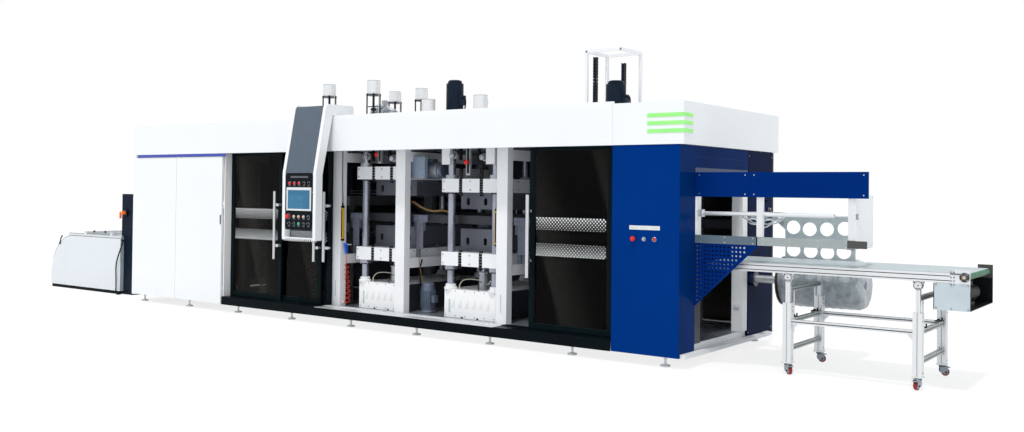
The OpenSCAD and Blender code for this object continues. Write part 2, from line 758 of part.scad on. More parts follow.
module tie_columns() color(steel) place() for (i = [0, 1]) {
    for (x = column_x(i), y = columns_y)
        translate([x, y, base_z1 + snug])
            cylinder(d = column_d, h = crown_z0 - base_z1 - 2 * snug);
    // barrels of the lift cylinders, open at the top
    cx = press_x[i] + press_w / 2;
    for (y = lift_y) translate([cx, y, base_z1 - 160]) difference() {
        cylinder(d = barrel_d, h = 350);
        translate([0, 0, 10]) cylinder(r = rod_r + run_gap, h = 350);
    }
    // adjusting spindle in its channel, in front of the upper platen
    difference() {
        span([cx - 30, press_y - 60, upper_z[i] + platen_t + 40], [cx + 30, press_y - 25, leaf_top]);
        span([cx - 18, press_y - 61, upper_z[i] + platen_t + 60], [cx + 18, press_y - 45, leaf_top + 1]);
    }
    span([cx - 30, press_y - 26, crown_z0 + 1], [cx + 30, press_y - 20 - snug, leaf_top]);
}

// ribbed platen with guide collars; side is +1 when the mould stands on top
module platen(i, z, side, mould_h) {
    x0 = press_x[i] - over;
    x1 = press_x[i] + press_w + over;
    y0 = press_y - 15;
    y1 = press_y + press_d + 15;
    collar_h = 45;
    mould_z0 = side > 0 ? z + platen_t : z - mould_h;
    cx = press_x[i] + press_w / 2;
    bore_r = column_d / 2 + run_gap;
    difference() {
        union() {
            difference() {
                span([x0, y0, z], [x1, y1, z + platen_t]);
                // pockets on the side away from the mould
                for (j = [0 : 3])
                    translate([0, y0 + 160 + j * (y1 - y0 - 300) / 4, 0]) span(
                        [x0 + 150, 0, side > 0 ? z - 1 : z + 40],
                        [x1 - 150, (y1 - y0 - 300) / 4 - 20, side > 0 ? z + platen_t - 40 : z + platen_t + 1]);
            }
            for (x = column_x(i), y = columns_y)
                translate([x, y, side > 0 ? z - collar_h : z + platen_t - 0.5])
                    cylinder(d = 155, h = collar_h + 0.5);
            // rods of the lift cylinders
            if (side > 0) for (y = lift_y) translate([cx, y, z - rod_l]) cylinder(r = rod_r, h = rod_l + 5);
        }
        for (x = column_x(i), y = columns_y)
            translate([x, y, z - 60]) cylinder(r = bore_r, h = platen_t + 120);
        // cable slots in the front face
        for (f = [0.3, 0.66])
            span([x0 + f * (x1 - x0), y0 - 1, z - 1], [x0 + f * (x1 - x0) + 52, y0 + 34, z + platen_t + 1]);
    }
    // hollow mould block with lightening slots
    my0 = press_y + 250;
    my1 = press_y + press_d - 250;
    mx0 = press_x[i] + 34;
    mx1 = press_x[i] + press_w - 34;
    gap_z = side > 0 ? snug : -snug;
    color(steel) translate([0, 0, gap_z]) difference() {
        union() {
            span([mx0, my0, mould_z0], [mx1, my1, mould_z0 + mould_h]);
            // flange by which the mould is clamped
            fz = side > 0 ? mould_z0 : mould_z0 + mould_h - 24;
            span([mx0 - 16, my0 - 16, fz], [mx1 + 16, my1 + 16, fz + 24]);
        }
        span([mx0 + 26, my0 + 26, side > 0 ? mould_z0 - 1 : mould_z0 + 30],
            [mx1 - 26, my1 - 26, side > 0 ? mould_z0 + mould_h - 30 : mould_z0 + mould_h + 1]);
        for (f = [0.12, 0.5, 0.8]) slot_y(mx0 + f * (mx1 - mx0), my0 - 20, mould_z0 + mould_h * 0.45, 50, 90);
        // cup cavities in the working face
        cz = side > 0 ? mould_z0 + mould_h - 18 : mould_z0 - 1;
        for (a = [0 : 4], b = [0 : 6])
            translate([mx0 + 80 + a * (mx1 - mx0 - 160) / 4, my0 + 80 + b * (my1 - my0 - 160) / 6, cz])
                cylinder(d = 92, h = 19);
    }
}

// upright round-ended slot through a wall that faces -Y
module slot_y(x, y, z, w, h) {
    translate([x, y, z]) rotate([-90, 0, 0]) {
        translate([w / 2, -h / 2 + w / 2, 0]) cylinder(d = w, h = 50);
        translate([w / 2, h / 2 - w / 2, 0]) cylinder(d = w, h = 50);
        translate([0, -h / 2 + w / 2, 0]) cube([w, h - w, 50]);
    }
}

module forming_lower_platen() color(white) place() platen(0, lower_z, 1, lower_mould_h);

module forming_upper_platen() color(white) place() platen(0, upper_z[0], -1, upper_mould_h);

module cutting_lower_platen() color(white) place() platen(1, lower_z, 1, lower_mould_h);

module cutting_upper_platen() color(white) place() platen(1, upper_z[1], -1, upper_mould_h);

// ---------------------------------------------------- transport and heaters

rail_y = press_y + 150;
rail_w = 70;
rail_x0 = 60;
rail_x1 = end_x - 200;

module chain_rail(y) {
    difference() {
        span([rail_x0, y, film_z - 70], [rail_x1, y + rail_w, film_z + 30]);
        span([rail_x0 - 1, y + 16, film_z - 58], [rail_x1 + 1, y + rail_w - 16, film_z - 12]);
        span([rail_x0 - 1, y + rail_w / 2 - 6, film_z - 20], [rail_x1 + 1, y + rail_w / 2 + 6, film_z + 31]);
    }
}

module transport_rails() color(alu) place() {
    chain_rail(rail_y);
    chain_rail(cabinet_w - rail_y - rail_w);
    // tee brackets that stand on the ties and carry the rails
    for (x = all_posts, y = [rail_y + 5, cabinet_w - rail_y - 29]) {
        z1 = film_z - 70 - snug;
        tx = x + post_w - tie_in;
        span([tx, y, tie_z + tie_h - 10 + snug], [tx + tie_w, y + 24, z1 - 60]);
        span([tx - 40, y, z1 - 105], [tx + 130, y + 24, z1]);
    }
}

heater_x0 = doors_x0 + 220;
heater_x1 = post_x[0] - 120;
heater_y0 = rail_y + rail_w + 30;

module heater_box(z, h, up) {
    y1 = cabinet_w - heater_y0;
    difference() {
        span([heater_x0, heater_y0, z], [heater_x1, y1, z + h]);
        span([heater_x0 + 12, heater_y0 + 12, up > 0 ? z + 30 : z - 1],
            [heater_x1 - 12, y1 - 12, up > 0 ? z + h + 1 : z + h - 30]);
    }
    // radiant tiles
    for (i = [0 : 7], j = [0 : 4])
        span([heater_x0 + 24 + i * (heater_x1 - heater_x0 - 40) / 8,
                heater_y0 + 24 + j * (y1 - heater_y0 - 40) / 5, up > 0 ? z + 29 : z + h - 60],
            [heater_x0 + 8 + (i + 1) * (heater_x1 - heater_x0 - 40) / 8,
                heater_y0 + 8 + (j + 1) * (y1 - heater_y0 - 40) / 5, up > 0 ? z + 60 : z + h - 29]);
}

module heater_bank() color(steel) place() {
    heater_box(film_z - 240, 120, 1);
    heater_box(film_z + 110, 120, -1);
    // legs at the four corners, tied to both boxes
    for (x = [heater_x0 - 50 - snug, heater_x1 + snug], y = [heater_y0 + 20, cabinet_w - heater_y0 - 70])
        tube_z([x, y, base_z0], [x + 50, y + 50, film_z + 230], 4);
}

// finned motor standing upright on a flange
module upright_motor(x, y, z, d, h) {
    translate([x, y, z]) {
        translate([-d * 0.55, -d * 0.55, 0]) cube([d * 1.1, d * 1.1, 16]);
        translate([0, 0, 15.9]) difference() {
            cylinder(d = d, h = h);
            for (a = [0 : 15 : 345]) rotate([0, 0, a])
                translate([d / 2 - 9, -2.5, h * 0.08]) cube([10, 5, h * 0.76]);
        }
        translate([0, 0, h + 15.8]) cylinder(d = d * 0.82, h = 20);
    }
}

module drive_motors() color([0.32, 0.4, 0.48]) place() {
    // gear motor hung from the high tie beside the forming press
    gx = post_x[1] + post_w;
    gy = post_y + post_d + 230;
    hang = gx - tie_in;
    translate([gx + 30, gy, head_z - 105]) rotate([0, 90, 0]) cylinder(d = 190, h = 250);
    translate([gx + 278, gy, head_z - 105]) rotate([0, 90, 0]) cylinder(d = 150, h = 40);
    span([hang, gy - 80, head_z - 190], [gx + 32, gy + 80, head_z - 20]);
    span([hang + 2, gy - 60, head_z - 21], [hang + tie_w - 2, gy + 60, head_z - snug]);
    // vacuum pump and its motor on the floor, between the presses
    upright_motor(post_x[1] + 290, post_y + post_d + 190, base_z0, 170, 300);
    // hydraulic unit beside the third post
    hx = post_x[2] + post_w + 60;
    span([hx, 620, base_z0], [hx + 420, 1180, base_z0 + 60]);
    translate([hx + 40, 800, base_z0 + 190]) rotate([0, 90, 0]) cylinder(d = 250, h = 330);
    span([hx + 60, 720, base_z0 + 59], [hx + 340, 880, base_z0 + 120]);
    // vacuum tank behind the first leaf
    translate([doors_x0 + 520, 560, base_z0 + 330]) rotate([-90, 0, 0]) {
        cylinder(d = 600, h = 1200);
        translate([0, 0, -39]) cylinder(d1 = 420, d2 = 598, h = 40);
    }
    for (y = [640, 1600])
        span([doors_x0 + 340, y, base_z0], [doors_x0 + 700, y + 60, base_z0 + 120]);
    // air pump on the roof
    pz = z_top - 34 + snug;
    span([4120, 820, pz], [4460, 1000, pz + 40]);
    translate([4130, 910, pz + 130]) rotate([0, 90, 0]) cylinder(d = 180, h = 220);
    translate([4349, 910, pz + 120]) rotate([0, 90, 0]) cylinder(d = 120, h = 110);
    span([4160, 850, pz + 39], [4420, 970, pz + 80]);
}

// ------------------------------------------------------------------- roof

roof_z = z_top - 34 + snug;
// X, Y, height of the stand and height of the can
cans = [[3690, 500, 360, 150], [4500, 500, 350, 170], [5430, 500, 76, 160], [6240, 500, 76, 175],
    [3940, 1500, 350, 140], [4430, 1500, 360, 150], [6370, 620, 0, 90], [6800, 620, 0, 90]];

module roof_cylinders() color(white) place() for (c = cans) translate([c.x, c.y, roof_z + c.z]) {
    difference() {
        cylinder(d = 150, h = c[3]);
        for (a = [0 : 45 : 315]) rotate([0, 0, a])
            translate([73, -3, 12]) cube([6, 6, c[3] - 24]);
    }
    translate([0, 0, c[3] - 0.1]) cylinder(d = 130, h = 6);
}

module roof_motors() color(dark) place() {
    // stands under the raised cylinders
    for (c = cans) if (c.z > 0) translate([c.x, c.y, roof_z]) {
        translate([0, 0, c.z - 14 - snug]) cylinder(d = 190, h = 14);
        for (a = [45 : 90 : 315]) rotate([0, 0, a]) translate([82, 0, 0])
            cylinder(d = 18, h = c.z - 14);
        cylinder(d = 30, h = c.z - 15);
        cylinder(d = 200, h = 8);
    }
    upright_motor(5600, 800, roof_z, 215, 440);
    upright_motor(7700, 1140, roof_z, 230, 350);
    // cable chains that rise into the mast
    for (p = [[7450, 1100, 620], [7690, 1330, 560]]) for (k = [0 : 15])
        span([p.x - 16, p.y - 24, roof_z + 60 + k * p.z / 16],
            [p.x + 16, p.y + 24, roof_z + 60 + (k + 1) * p.z / 16 - 6]);
    for (p = [[7450, 1100, 620], [7690, 1330, 560]]) {
        span([p.x - 6, p.y - 14, roof_z + 61], [p.x + 6, p.y + 14, roof_z + 60 + p.z - 8]);
        span([p.x - 40, p.y - 40, roof_z], [p.x + 40, p.y + 40, roof_z + 61]);
    }
}

mast_x = 7430;
mast_y = 900;
mast_s = 478;
mast_top = z_top + 715;

module cable_mast() color(white) place() {
    bar = 32;
    far = mast_s - bar;
    z1 = mast_top - bar;
    for (p = [[0, 0], [0, far], [far, far]])
        tube_z([mast_x + p.x, mast_y + p.y, roof_z], [mast_x + p.x + bar, mast_y + p.y + bar, z1 - snug], 3);
    // top frame, two bars along the line between two across it
    for (x = [mast_x, mast_x + far])
        tube_y([x, mast_y, z1], [x + bar, mast_y + mast_s, mast_top], 3);
    for (y = [mast_y, mast_y + far])
        tube_x([mast_x + bar + snug, y, z1], [mast_x + far - snug, y + bar, mast_top], 3);
}

// ---------------------------------------------------------------- outfeed

beam_h = 241;
beam_z = guard_z + 460;
splice_x = end_x + 570;
hole_pitch = 41;
hole_d = 20;
hole_rows = 14;
tri_l = 665;
tri_h = 625;
rail_h = 80;
end_post_x = end_x + guard_l - 185;
return_y1 = guard_y + 550;

module guard_panels() color(blue) place() {
    difference() {
        translate([end_x + snug, guard_y + 3, guard_z - tri_h]) rotate([90, 0, 0]) linear_extrude(3)
            polygon([[0, 0], [tri_l, tri_h], [0, tri_h]]);
        for (r = [0 : hole_rows - 1], c = [0 : hole_rows - 1 - r])
            translate([end_x + 26 + c * hole_pitch, guard_y - 1, guard_z - 30 - r * hole_pitch])
                rotate([-90, 0, 0]) cylinder(d = hole_d, h = 6, $fn = 24);
    }
    for (s = [[end_x + snug, splice_x - 1], [splice_x + 1, end_x + guard_l]])
        pan_front([s[0], guard_y - 8, beam_z], [s[1], guard_y + 12, beam_z + beam_h]);
    // splice plate behind the joint of the two beams
    span([splice_x - 40, guard_y - 5, beam_z + 20], [splice_x + 40, guard_y + 6, beam_z + beam_h - 20]);
}

bar_y = guard_y + 62;
bar_z = guard_z + 295;

module guard_rails() color(alu) place() {
    mid_x = end_x + 645;
    span([end_x + snug, guard_y - 4, guard_z + snug], [mid_x, guard_y + 36, guard_z + rail_h]);
    tube_x([mid_x + snug, guard_y - 4, guard_z + snug], [end_post_x + 60, guard_y + 36, guard_z + rail_h], 3);
    // return along the open end
    span([end_post_x + 20, guard_y + 36 + snug, guard_z + 1], [end_post_x + 60, return_y1, guard_z + rail_h]);
    // posts between the rail and the beam
    for (x = [end_x + 635, end_post_x])
        span([x, guard_y + 13, guard_z + rail_h + snug], [x + 60, guard_y + 53, beam_z + beam_h - 10]);
    span([end_post_x + 20, return_y1 - 40, guard_z + rail_h + snug],
        [end_post_x + 60, return_y1, beam_z + 30]);
    // white end sheet
    span([end_post_x + 60 + snug, guard_y + 13, guard_z + 4], [end_post_x + 64, return_y1, beam_z + 30]);
    // stop bar with its thin rod and the brackets at both ends
    translate([end_x + snug, bar_y, bar_z]) rotate([0, 90, 0]) {
        cylinder(d = 42, h = 1365);
        cylinder(d = 14, h = end_post_x + 60 - end_x - snug - 1);
    }
    span([end_post_x + 48, bar_y - 10, bar_z - 32], [end_post_x + 60 - snug, bar_y + 54, bar_z + 32]);
    span([end_x + 1, bar_y - 30, bar_z - 36], [end_x + 60, bar_y + 30, bar_z + 36]);
}

module scrap_web() color([0.8, 0.86, 0.88, 0.6]) place() {
    translate([0, web_y + web_t, 0]) rotate([90, 0, 0]) linear_extrude(web_t) polygon([
        [end_x + 20, film_z + 70], [roll_x0 - 10, film_z + 60], [roll_x0 + 100, film_z - 60],
        [roll_x0 + 130, roll_z], [roll_x0 + 860, roll_z], [roll_x0 + 860, film_z + 110],
        [roll_x0 + 60, film_z + 140], [end_x + 20, film_z + 130]]);
}

module scrap_roll() place() {
    color([0.75, 0.78, 0.8]) translate([roll_x0, roll_y, roll_z]) rotate([0, 90, 0])
        rotate_extrude() polygon(concat([[spool_r + snug, 0]],
            arc_pts(scrap_r - 30, 30, 30, 30, -90, 0, 5), arc_pts(scrap_r - 60, roll_l - 60, 60, 60, 0, 90, 8),
            [[spool_r + snug, roll_l]]));
    // flange disc and cantilever shaft
    color(dark) translate([end_x + 4, roll_y, roll_z]) rotate([0, 90, 0]) {
        cylinder(r = spool_r, h = roll_x0 + roll_l - end_x - 24);
        translate([0, 0, roll_x0 - end_x - 4 - 13]) cylinder(r = scrap_r - 10, h = 12);
    }
}

// --------------------------------------------------------------- conveyor

profile_t = 40;
bed_top = belt_z - 5;
bed_z = bed_top - profile_h;
roller_r = 27;
belt_t = 3;
axle_rod = 12;
screw_r = 7;
screw_gap = 0.3;
roller_z = belt_z - belt_t - roller_r;
roller_x = [conveyor_x0 + 45, line_x1 - 45];
leg_x = [conveyor_x0 + 810, conveyor_x0 + 1990];
leg_y = [cy0 + leg_outer / 2, cy1 - leg_outer / 2];
outer_z0 = 116;
outer_z1 = 675;
mid_z = 480;
low_z = 220;
cross_z = outer_z1 + 105;
screw_y = [cy0 + 190, cy1 - 190];

// aluminium profile outline with a slot in each face
module slotted(w, h, hole) {
    difference() {
        square([w, h], center = true);
        if (hole > 0) square([hole, hole], center = true);
        for (a = [0 : 90 : 270]) rotate(a) translate([(a % 180 == 0 ? w : h) / 2 - 5, -4])
            square([6, 8]);
    }
}

module side_profile(y, s) {
    difference() {
        span([conveyor_x0, y, bed_z], [line_x1 - 130, y + profile_t, bed_top]);
        translate([roller_x[0], y - 1, roller_z]) rotate([-90, 0, 0])
            cylinder(r = axle_rod + run_gap, h = profile_t + 2);
        for (z = [bed_z + 16, bed_z + profile_h - 24])
            span([conveyor_x0 - 1, s > 0 ? y + profile_t - 6 : y - 1, z],
                [line_x1, s > 0 ? y + profile_t + 1 : y + 6, z + 8]);
    }
}

// quarter-round pivot bracket between a side profile and a leg
module pivot_bracket(x, y) {
    difference() {
        union() {
            translate([x, y - 20, bed_z - 40]) rotate([-90, 0, 0]) cylinder(d = 80, h = 40);
            span([x - 46, y - 20, bed_z - 22], [x + 46, y + 20, bed_z + 0.5]);
        }
        translate([x, y - 21, bed_z - 40]) rotate([-90, 0, 0]) cylinder(d = 10, h = 42);
    }
}

module conveyor_bed() color(alu) place() {
    side_profile(cy0, -1);
    side_profile(cy1 - profile_t, 1);
    // slider plate and cross tubes between the profiles
    span([conveyor_x0 + 80, cy0 + profile_t - 0.5, belt_z - 7], [line_x1 - 90, cy1 - profile_t + 0.5, belt_z - belt_t - snug]);
    for (f = [0.1, 0.35, 0.6, 0.85])
        span([conveyor_x0 + f * conveyor_l, cy0 + profile_t - 0.5, bed_z + 4],
            [conveyor_x0 + f * conveyor_l + 40, cy1 - profile_t + 0.5, bed_z + 14]);
    // end plates that hold the drive roller and the motor box
    for (y = [cy0, cy1 - 6]) difference() {
        union() {
            span([line_x1 - 160, y, bed_z - 4], [line_x1 - 129, y + 6, bed_top]);
            span([line_x1 - 130, y, bed_z - 20], [line_x1, y + 6, bed_top + 36]);
        }
        translate([roller_x[1], y - 1, roller_z]) rotate([-90, 0, 0]) cylinder(r = axle_rod + run_gap, h = 8);
    }
    // flange bearings of the drive roller
    for (y = [cy0 - 18, cy1]) difference() {
        translate([roller_x[1], y, roller_z]) rotate([-90, 0, 0]) cylinder(d = 70, h = 18);
        translate([roller_x[1], y - 1, roller_z]) rotate([-90, 0, 0]) cylinder(r = axle_rod + run_gap, h = 20);
    }
    // motor box, open towards the end
    difference() {
        span([line_x1 - 290, cy0, bed_z - 236], [line_x1, cy1, bed_z - 2]);
        span([line_x1 - 288, cy0 + 2, bed_z - 234], [line_x1 + 1, cy1 - 2, bed_z + 1]);
    }
    for (x = leg_x) {
        for (y = leg_y) {
            pivot_bracket(x, y);
            translate([x, y, 400]) linear_extrude(bed_z - 48 - 400) slotted(leg_inner, leg_inner, 0);
        }
        // upper cross rail between the inner legs
        span([x - 20, leg_y[0] + leg_inner / 2 - 0.5, cross_z], [x + 20, leg_y[1] - leg_inner / 2 + 0.5, cross_z + 40]);
        // height screws
        for (y = screw_y) translate([x, y, 380]) cylinder(r = screw_r, h = cross_z - 379);
    }
}

module conveyor_belt() color([0.55, 0.75, 0.66]) place() {
    r = roller_r + belt_t;
    w = conveyor_w - 2 * profile_t - 8;
    translate([0, cy1 - profile_t - 4, 0]) rotate([90, 0, 0]) linear_extrude(w) difference() {
        union() {
            for (x = roller_x) translate([x, roller_z]) circle(r = r);
            translate([roller_x[0], roller_z - r]) square([roller_x[1] - roller_x[0], 2 * r]);
        }
        for (x = roller_x) translate([x, roller_z]) circle(r = r - belt_t);
        translate([roller_x[0], roller_z - r + belt_t]) square([roller_x[1] - roller_x[0], 2 * r - 2 * belt_t]);
    }
}

// roller between the side profiles, with its axle
module belt_roller(x, reach) {
    translate([x, 0, roller_z]) rotate([-90, 0, 0]) {
        translate([0, 0, cy0 + profile_t + 2]) cylinder(r = roller_r - 0.3, h = conveyor_w - 2 * profile_t - 4);
        translate([0, 0, cy0 - reach]) cylinder(r = axle_rod, h = conveyor_w + 2 * reach);
    }
}

module drive_roller() color([0.05, 0.4, 0.2]) place() belt_roller(roller_x[1], 24);

module tail_roller() color(steel) place() belt_roller(roller_x[0], 4);

module conveyor_motor() color(dark) place() {
    z = bed_z - 120;
    x = line_x1 - 130;
    translate([x, cy0 + 320, z]) rotate([-90, 0, 0]) cylinder(d = 150, h = 300);
    translate([x, cy0 + 619, z]) rotate([-90, 0, 0]) cylinder(d = 130, h = 40);
    span([x - 70, cy0 + 180, z - 75], [x + 70, cy0 + 321, z + 75]);
    span([x - 60, cy0 + 340, z - 114 + snug], [x + 60, cy0 + 520, z - 70]);
    translate([x, cy0 + 60, z]) rotate([-90, 0, 0]) cylinder(d = 30, h = 121);
    translate([x, cy0 + 60, z]) rotate([-90, 0, 0]) cylinder(d = 90, h = 20);
}

module leg_frame() color(alu) place() {
    hollow = leg_inner + 1;
    for (x = leg_x) {
        for (y = leg_y) {
            translate([x, y, outer_z0]) linear_extrude(outer_z1 - outer_z0) slotted(leg_outer, leg_outer, hollow);
            difference() {
                translate([x - 48, y - 48, outer_z0 - 8]) cube([96, 96, 8 - snug]);
                translate([x, y, outer_z0 - 9]) cylinder(r = king_r + run_gap, h = 10);
            }
        }
        for (z = [mid_z, low_z]) difference() {
            span([x - 20, leg_y[0] + leg_outer / 2 + snug, z], [x + 20, leg_y[1] - leg_outer / 2 - snug, z + 40]);
            if (z == mid_z) for (y = screw_y) translate([x, y, z - 1]) cylinder(r = screw_r + screw_gap, h = 42);
        }
        // hand wheels of the height screws
        for (y = screw_y) translate([x, y, mid_z + 40 + snug]) difference() {
            union() {
                cylinder(d = 30, h = 18);
                cylinder(d = 70, h = 8);
            }
            translate([0, 0, -1]) cylinder(r = screw_r + screw_gap, h = 20);
        }
    }
    // long stretchers and their gussets
    for (y = leg_y) {
        span([leg_x[0] + leg_outer / 2 + snug, y - 20, mid_z], [leg_x[1] - leg_outer / 2 - snug, y + 20, mid_z + 40]);
        for (s = [[leg_x[0] + leg_outer / 2 + snug, 1], [leg_x[1] - leg_outer / 2 - snug, -1]])
            translate([s[0], y + 3, mid_z - snug]) rotate([90, 0, 0]) linear_extrude(6)
                polygon([[0, 0], [s[1] * 60, 0], [0, -60]]);
    }
}

// directions in which the four casters trail
caster_turn = [-40, -100, 20, 30];
caster_pos = [[leg_x[0], leg_y[0]], [leg_x[1], leg_y[0]], [leg_x[0], leg_y[1]], [leg_x[1], leg_y[1]]];
trail = 28;
axle_r = 6;
king_r = 6;
fork_top = outer_z0 - 8 - snug;

module caster_fork(i) color(dark) place()
    translate([caster_pos[i].x, caster_pos[i].y, 0]) rotate([0, 0, caster_turn[i]]) {
        translate([0, 0, fork_top - 10]) cylinder(d = 62, h = 10 - snug);
        difference() {
            span([-24, -24, wheel_d / 2 - 12], [trail + 16, 24, fork_top - 9.9]);
            span([-40, -18, 0], [trail + 17, 18, fork_top - 16]);
            translate([trail, -30, wheel_d / 2]) rotate([-90, 0, 0]) translate([16, -4, 0]) cube([20, 40, 60]);
            translate([-50, -30, -20]) rotate([0, -38, 0]) cube([60, 60, 60]);
        }
        translate([trail, -24, wheel_d / 2]) rotate([-90, 0, 0]) cylinder(r = axle_r, h = 48);
        // kingpin and brake tab
        translate([0, 0, fork_top - 1]) cylinder(r = king_r, h = 18);
        span([trail + 8, -24, wheel_d + 3], [trail + 42, 24, wheel_d + 9]);
    }

module caster_wheel(i) color([0.7, 0.1, 0.08]) place()
    translate([caster_pos[i].x, caster_pos[i].y, 0]) rotate([0, 0, caster_turn[i]])
        translate([trail, -15, wheel_d / 2]) rotate([-90, 0, 0]) rotate_extrude() polygon([
            [axle_r + run_gap, 0], [14, 0], [14, 3], [wheel_d / 2 - 10, 5], [wheel_d / 2 - 9, 1],
            [wheel_d / 2 - 3, 1], [wheel_d / 2, 8], [wheel_d / 2, 22], [wheel_d / 2 - 3, 29],
            [wheel_d / 2 - 9, 29], [wheel_d / 2 - 10, 25], [14, 27], [14, 30], [axle_r + run_gap, 30]]);

module caster_fork_1() caster_fork(0);

module caster_fork_2() caster_fork(1);

module caster_fork_3() caster_fork(2);

module caster_fork_4() caster_fork(3);

module caster_wheel_1() caster_wheel(0);

module caster_wheel_2() caster_wheel(1);

module caster_wheel_3() caster_wheel(2);

module caster_wheel_4() caster_wheel(3);

// --------------------------------------------------------------- unwinder

ux0 = line_x0;
ux1 = -unwinder_gap;
uy0 = mid_y - unwinder_w / 2;
uy1 = mid_y + unwinder_w / 2;
side_t = 60;
base_h = 50;
spool_x = ux0 + 960;
spool_z = 505;
shaft_r = 30;

// side outline with its quarter-round front
side_outline = concat([[ux1, base_h + snug], [ux1, unwinder_h]],
    arc_pts(ux0 + 630, 190, 630, unwinder_h - 190, 90, 180, 14), [[ux0, base_h + snug]]);

module unwinder_side(y, inner) {
    wall = 3;
    difference() {
        translate([0, y + side_t, 0]) rotate([90, 0, 0]) linear_extrude(side_t) polygon(side_outline);
        span([ux0 + 640, inner > 0 ? y + wall : y - 1, base_h + 10],
            [ux1 - wall, inner > 0 ? y + side_t + 1 : y + side_t - wall, unwinder_h - wall]);
    }
    // bearing boss for the roll's shaft
    translate([spool_x, inner > 0 ? y + wall - 0.5 : y + side_t - wall - 60 + 0.5, spool_z]) rotate([-90, 0, 0])
        difference() {
            cylinder(d = 150, h = 60);
            translate([0, 0, -1]) cylinder(r = shaft_r + run_gap, h = 62);
        }
}

module unwinder_panels() place() {
    color(white) difference() {
        unwinder_side(uy0, 1);
        translate([lever_x, uy0 - 1, lever_z]) rotate([-90, 0, 0]) cylinder(r = lever_r + run_gap, h = 26);
    }
    color(white) unwinder_side(uy1 - side_t, -1);
    // bright rails along the top with their guide blocks
    for (y = [uy0 + 8, uy1 - 52]) {
        color(alu) span([ux0 + 500, y, unwinder_h + snug], [ux1 + 4, y + 44, unwinder_h + 34]);
        color(white) for (x = [ux0 + 990, ux0 + 1740])
            span([x, y - 6, unwinder_h + 34 + snug], [x + 60, y + 50, unwinder_h + 84]);
    }
    // gland where the cable leaves
    color(dark) translate([ux1 + snug, uy0 + 30, 850]) rotate([0, 90, 0])
        cylinder(d = 32, h = cable_route[0].x - ux1 - snug);
    // guide rollers between the blocks
    color(alu) for (x = [ux0 + 1020, ux0 + 1770])
        translate([x, uy0 + 58.4, unwinder_h + 62]) rotate([-90, 0, 0]) cylinder(d = 44, h = unwinder_w - 116.8);
}

post_x0 = ux1 - 80;
cpost_y = uy0 + side_t + 10;
cpost_w = 290;
cpost_d = 90;
cpost_h = 1587;

module unwinder_base() color(dark) place() {
    for (y = [uy0 + 4, uy1 - 56])
        span([ux0 + 30, y, 0], [ux1 - 30, y + 52, base_h]);
    for (x = [ux0 + 120, ux1 - 160])
        span([x, uy0 + 56 + snug, 6], [x + 60, uy1 - 56 - snug, base_h - 4]);
    // control post with its foot
    difference() {
        span([post_x0, cpost_y, 12 - 0.5], [post_x0 + cpost_w, cpost_y + cpost_d, cpost_h]);
        span([post_x0 + 3, cpost_y + 3, 30], [post_x0 + cpost_w - 3, cpost_y + cpost_d + 1, cpost_h - 3]);
    }
    span([post_x0 + 1, cpost_y + cpost_d - 3.5, 31], [post_x0 + cpost_w - 1, cpost_y + cpost_d - 1, cpost_h - 4]);
    span([post_x0 - 2, cpost_y - 6, 0], [post_x0 + cpost_w + 30, cpost_y + cpost_d + 60, 12]);
    // gland where the cable enters
    translate([cable_route[23].x, cable_route[23].y, 60]) rotate([-90, 0, 0])
        cylinder(d = 32, h = cpost_y - cable_route[23].y + 1);
    // round base of the isolator
    difference() {
        translate([post_x0 + 120, cpost_y + 0.5, isolator_z]) rotate([90, 0, 0]) cylinder(d = 116, h = 26);
        translate([post_x0 + 120, cpost_y - 10, isolator_z]) rotate([90, 0, 0]) cylinder(r = spindle_r + run_gap, h = 20);
    }
}

module film_roll() place() {
    color([0.86, 0.9, 0.92]) translate([spool_x, mid_y - 460, spool_z]) rotate([-90, 0, 0]) difference() {
        cylinder(r = film_r, h = 920);
        translate([0, 0, -1]) cylinder(r = 76, h = 922);
    }
    // core and shaft
    color(steel) translate([spool_x, 0, spool_z]) rotate([-90, 0, 0]) {
        translate([0, 0, mid_y - 490]) cylinder(r = 75.6, h = 980);
        translate([0, 0, uy0 + 5]) cylinder(r = shaft_r, h = unwinder_w - 10);
    }
}

lever_x = ux0 + 268;
lever_z = unwinder_h - 140;
lever_r = 10;
isolator_z = 1290;
spindle_r = 9;

module brake_lever() color(dark) place() translate([lever_x, uy0 - snug, lever_z]) {
    rotate([90, 0, 0]) cylinder(d = 34, h = 14);
    translate([0, 22, 0]) rotate([90, 0, 0]) cylinder(r = lever_r, h = 24);
    rotate([0, 20, 0]) span([-9, -13, 0], [9, -3, 90]);
    translate([30, 0, 82]) rotate([0, 42, 0]) span([-10, -14, -6], [10, -2, 66]);
}

module isolator_handle() color([1, 0.35, 0.03]) place()
    translate([post_x0 + 120, cpost_y - 26, isolator_z]) rotate([90, 0, 0]) {
        cylinder(d = 56, h = 18);
        translate([0, 0, -14]) cylinder(r = spindle_r, h = 16);
        translate([-96, -17, 17]) cube([120, 34, 22]);
        translate([-96, -92, 17]) cube([30, 110, 22]);
    }

// ------------------------------------------------------- cable and air gun

cable_d = 20;
// route of the cable from the unwinder's end down to the post's foot
cable_route = [[-838, 380, 850], [-826, 380, 850], [-812, 373, 842], [-806, 360, 820], [-808, 345, 780],
    [-816, 334, 730], [-832, 326, 680], [-855, 320, 620], [-880, 317, 560], [-900, 316, 500],
    [-910, 315, 440], [-912, 315, 380], [-908, 315, 300], [-904, 315, 220], [-900, 313, 140],
    [-892, 308, 70], [-872, 300, 28], [-842, 294, 12], [-806, 296, 11], [-774, 310, 16],
    [-752, 334, 32], [-742, 362, 52], [-740, 385, 60], [-740, 399, 60]];

function unit(v) = v / norm(v);

function route_dir(p, i) = unit(p[min(i + 1, len(p) - 1)] - p[max(i - 1, 0)]);

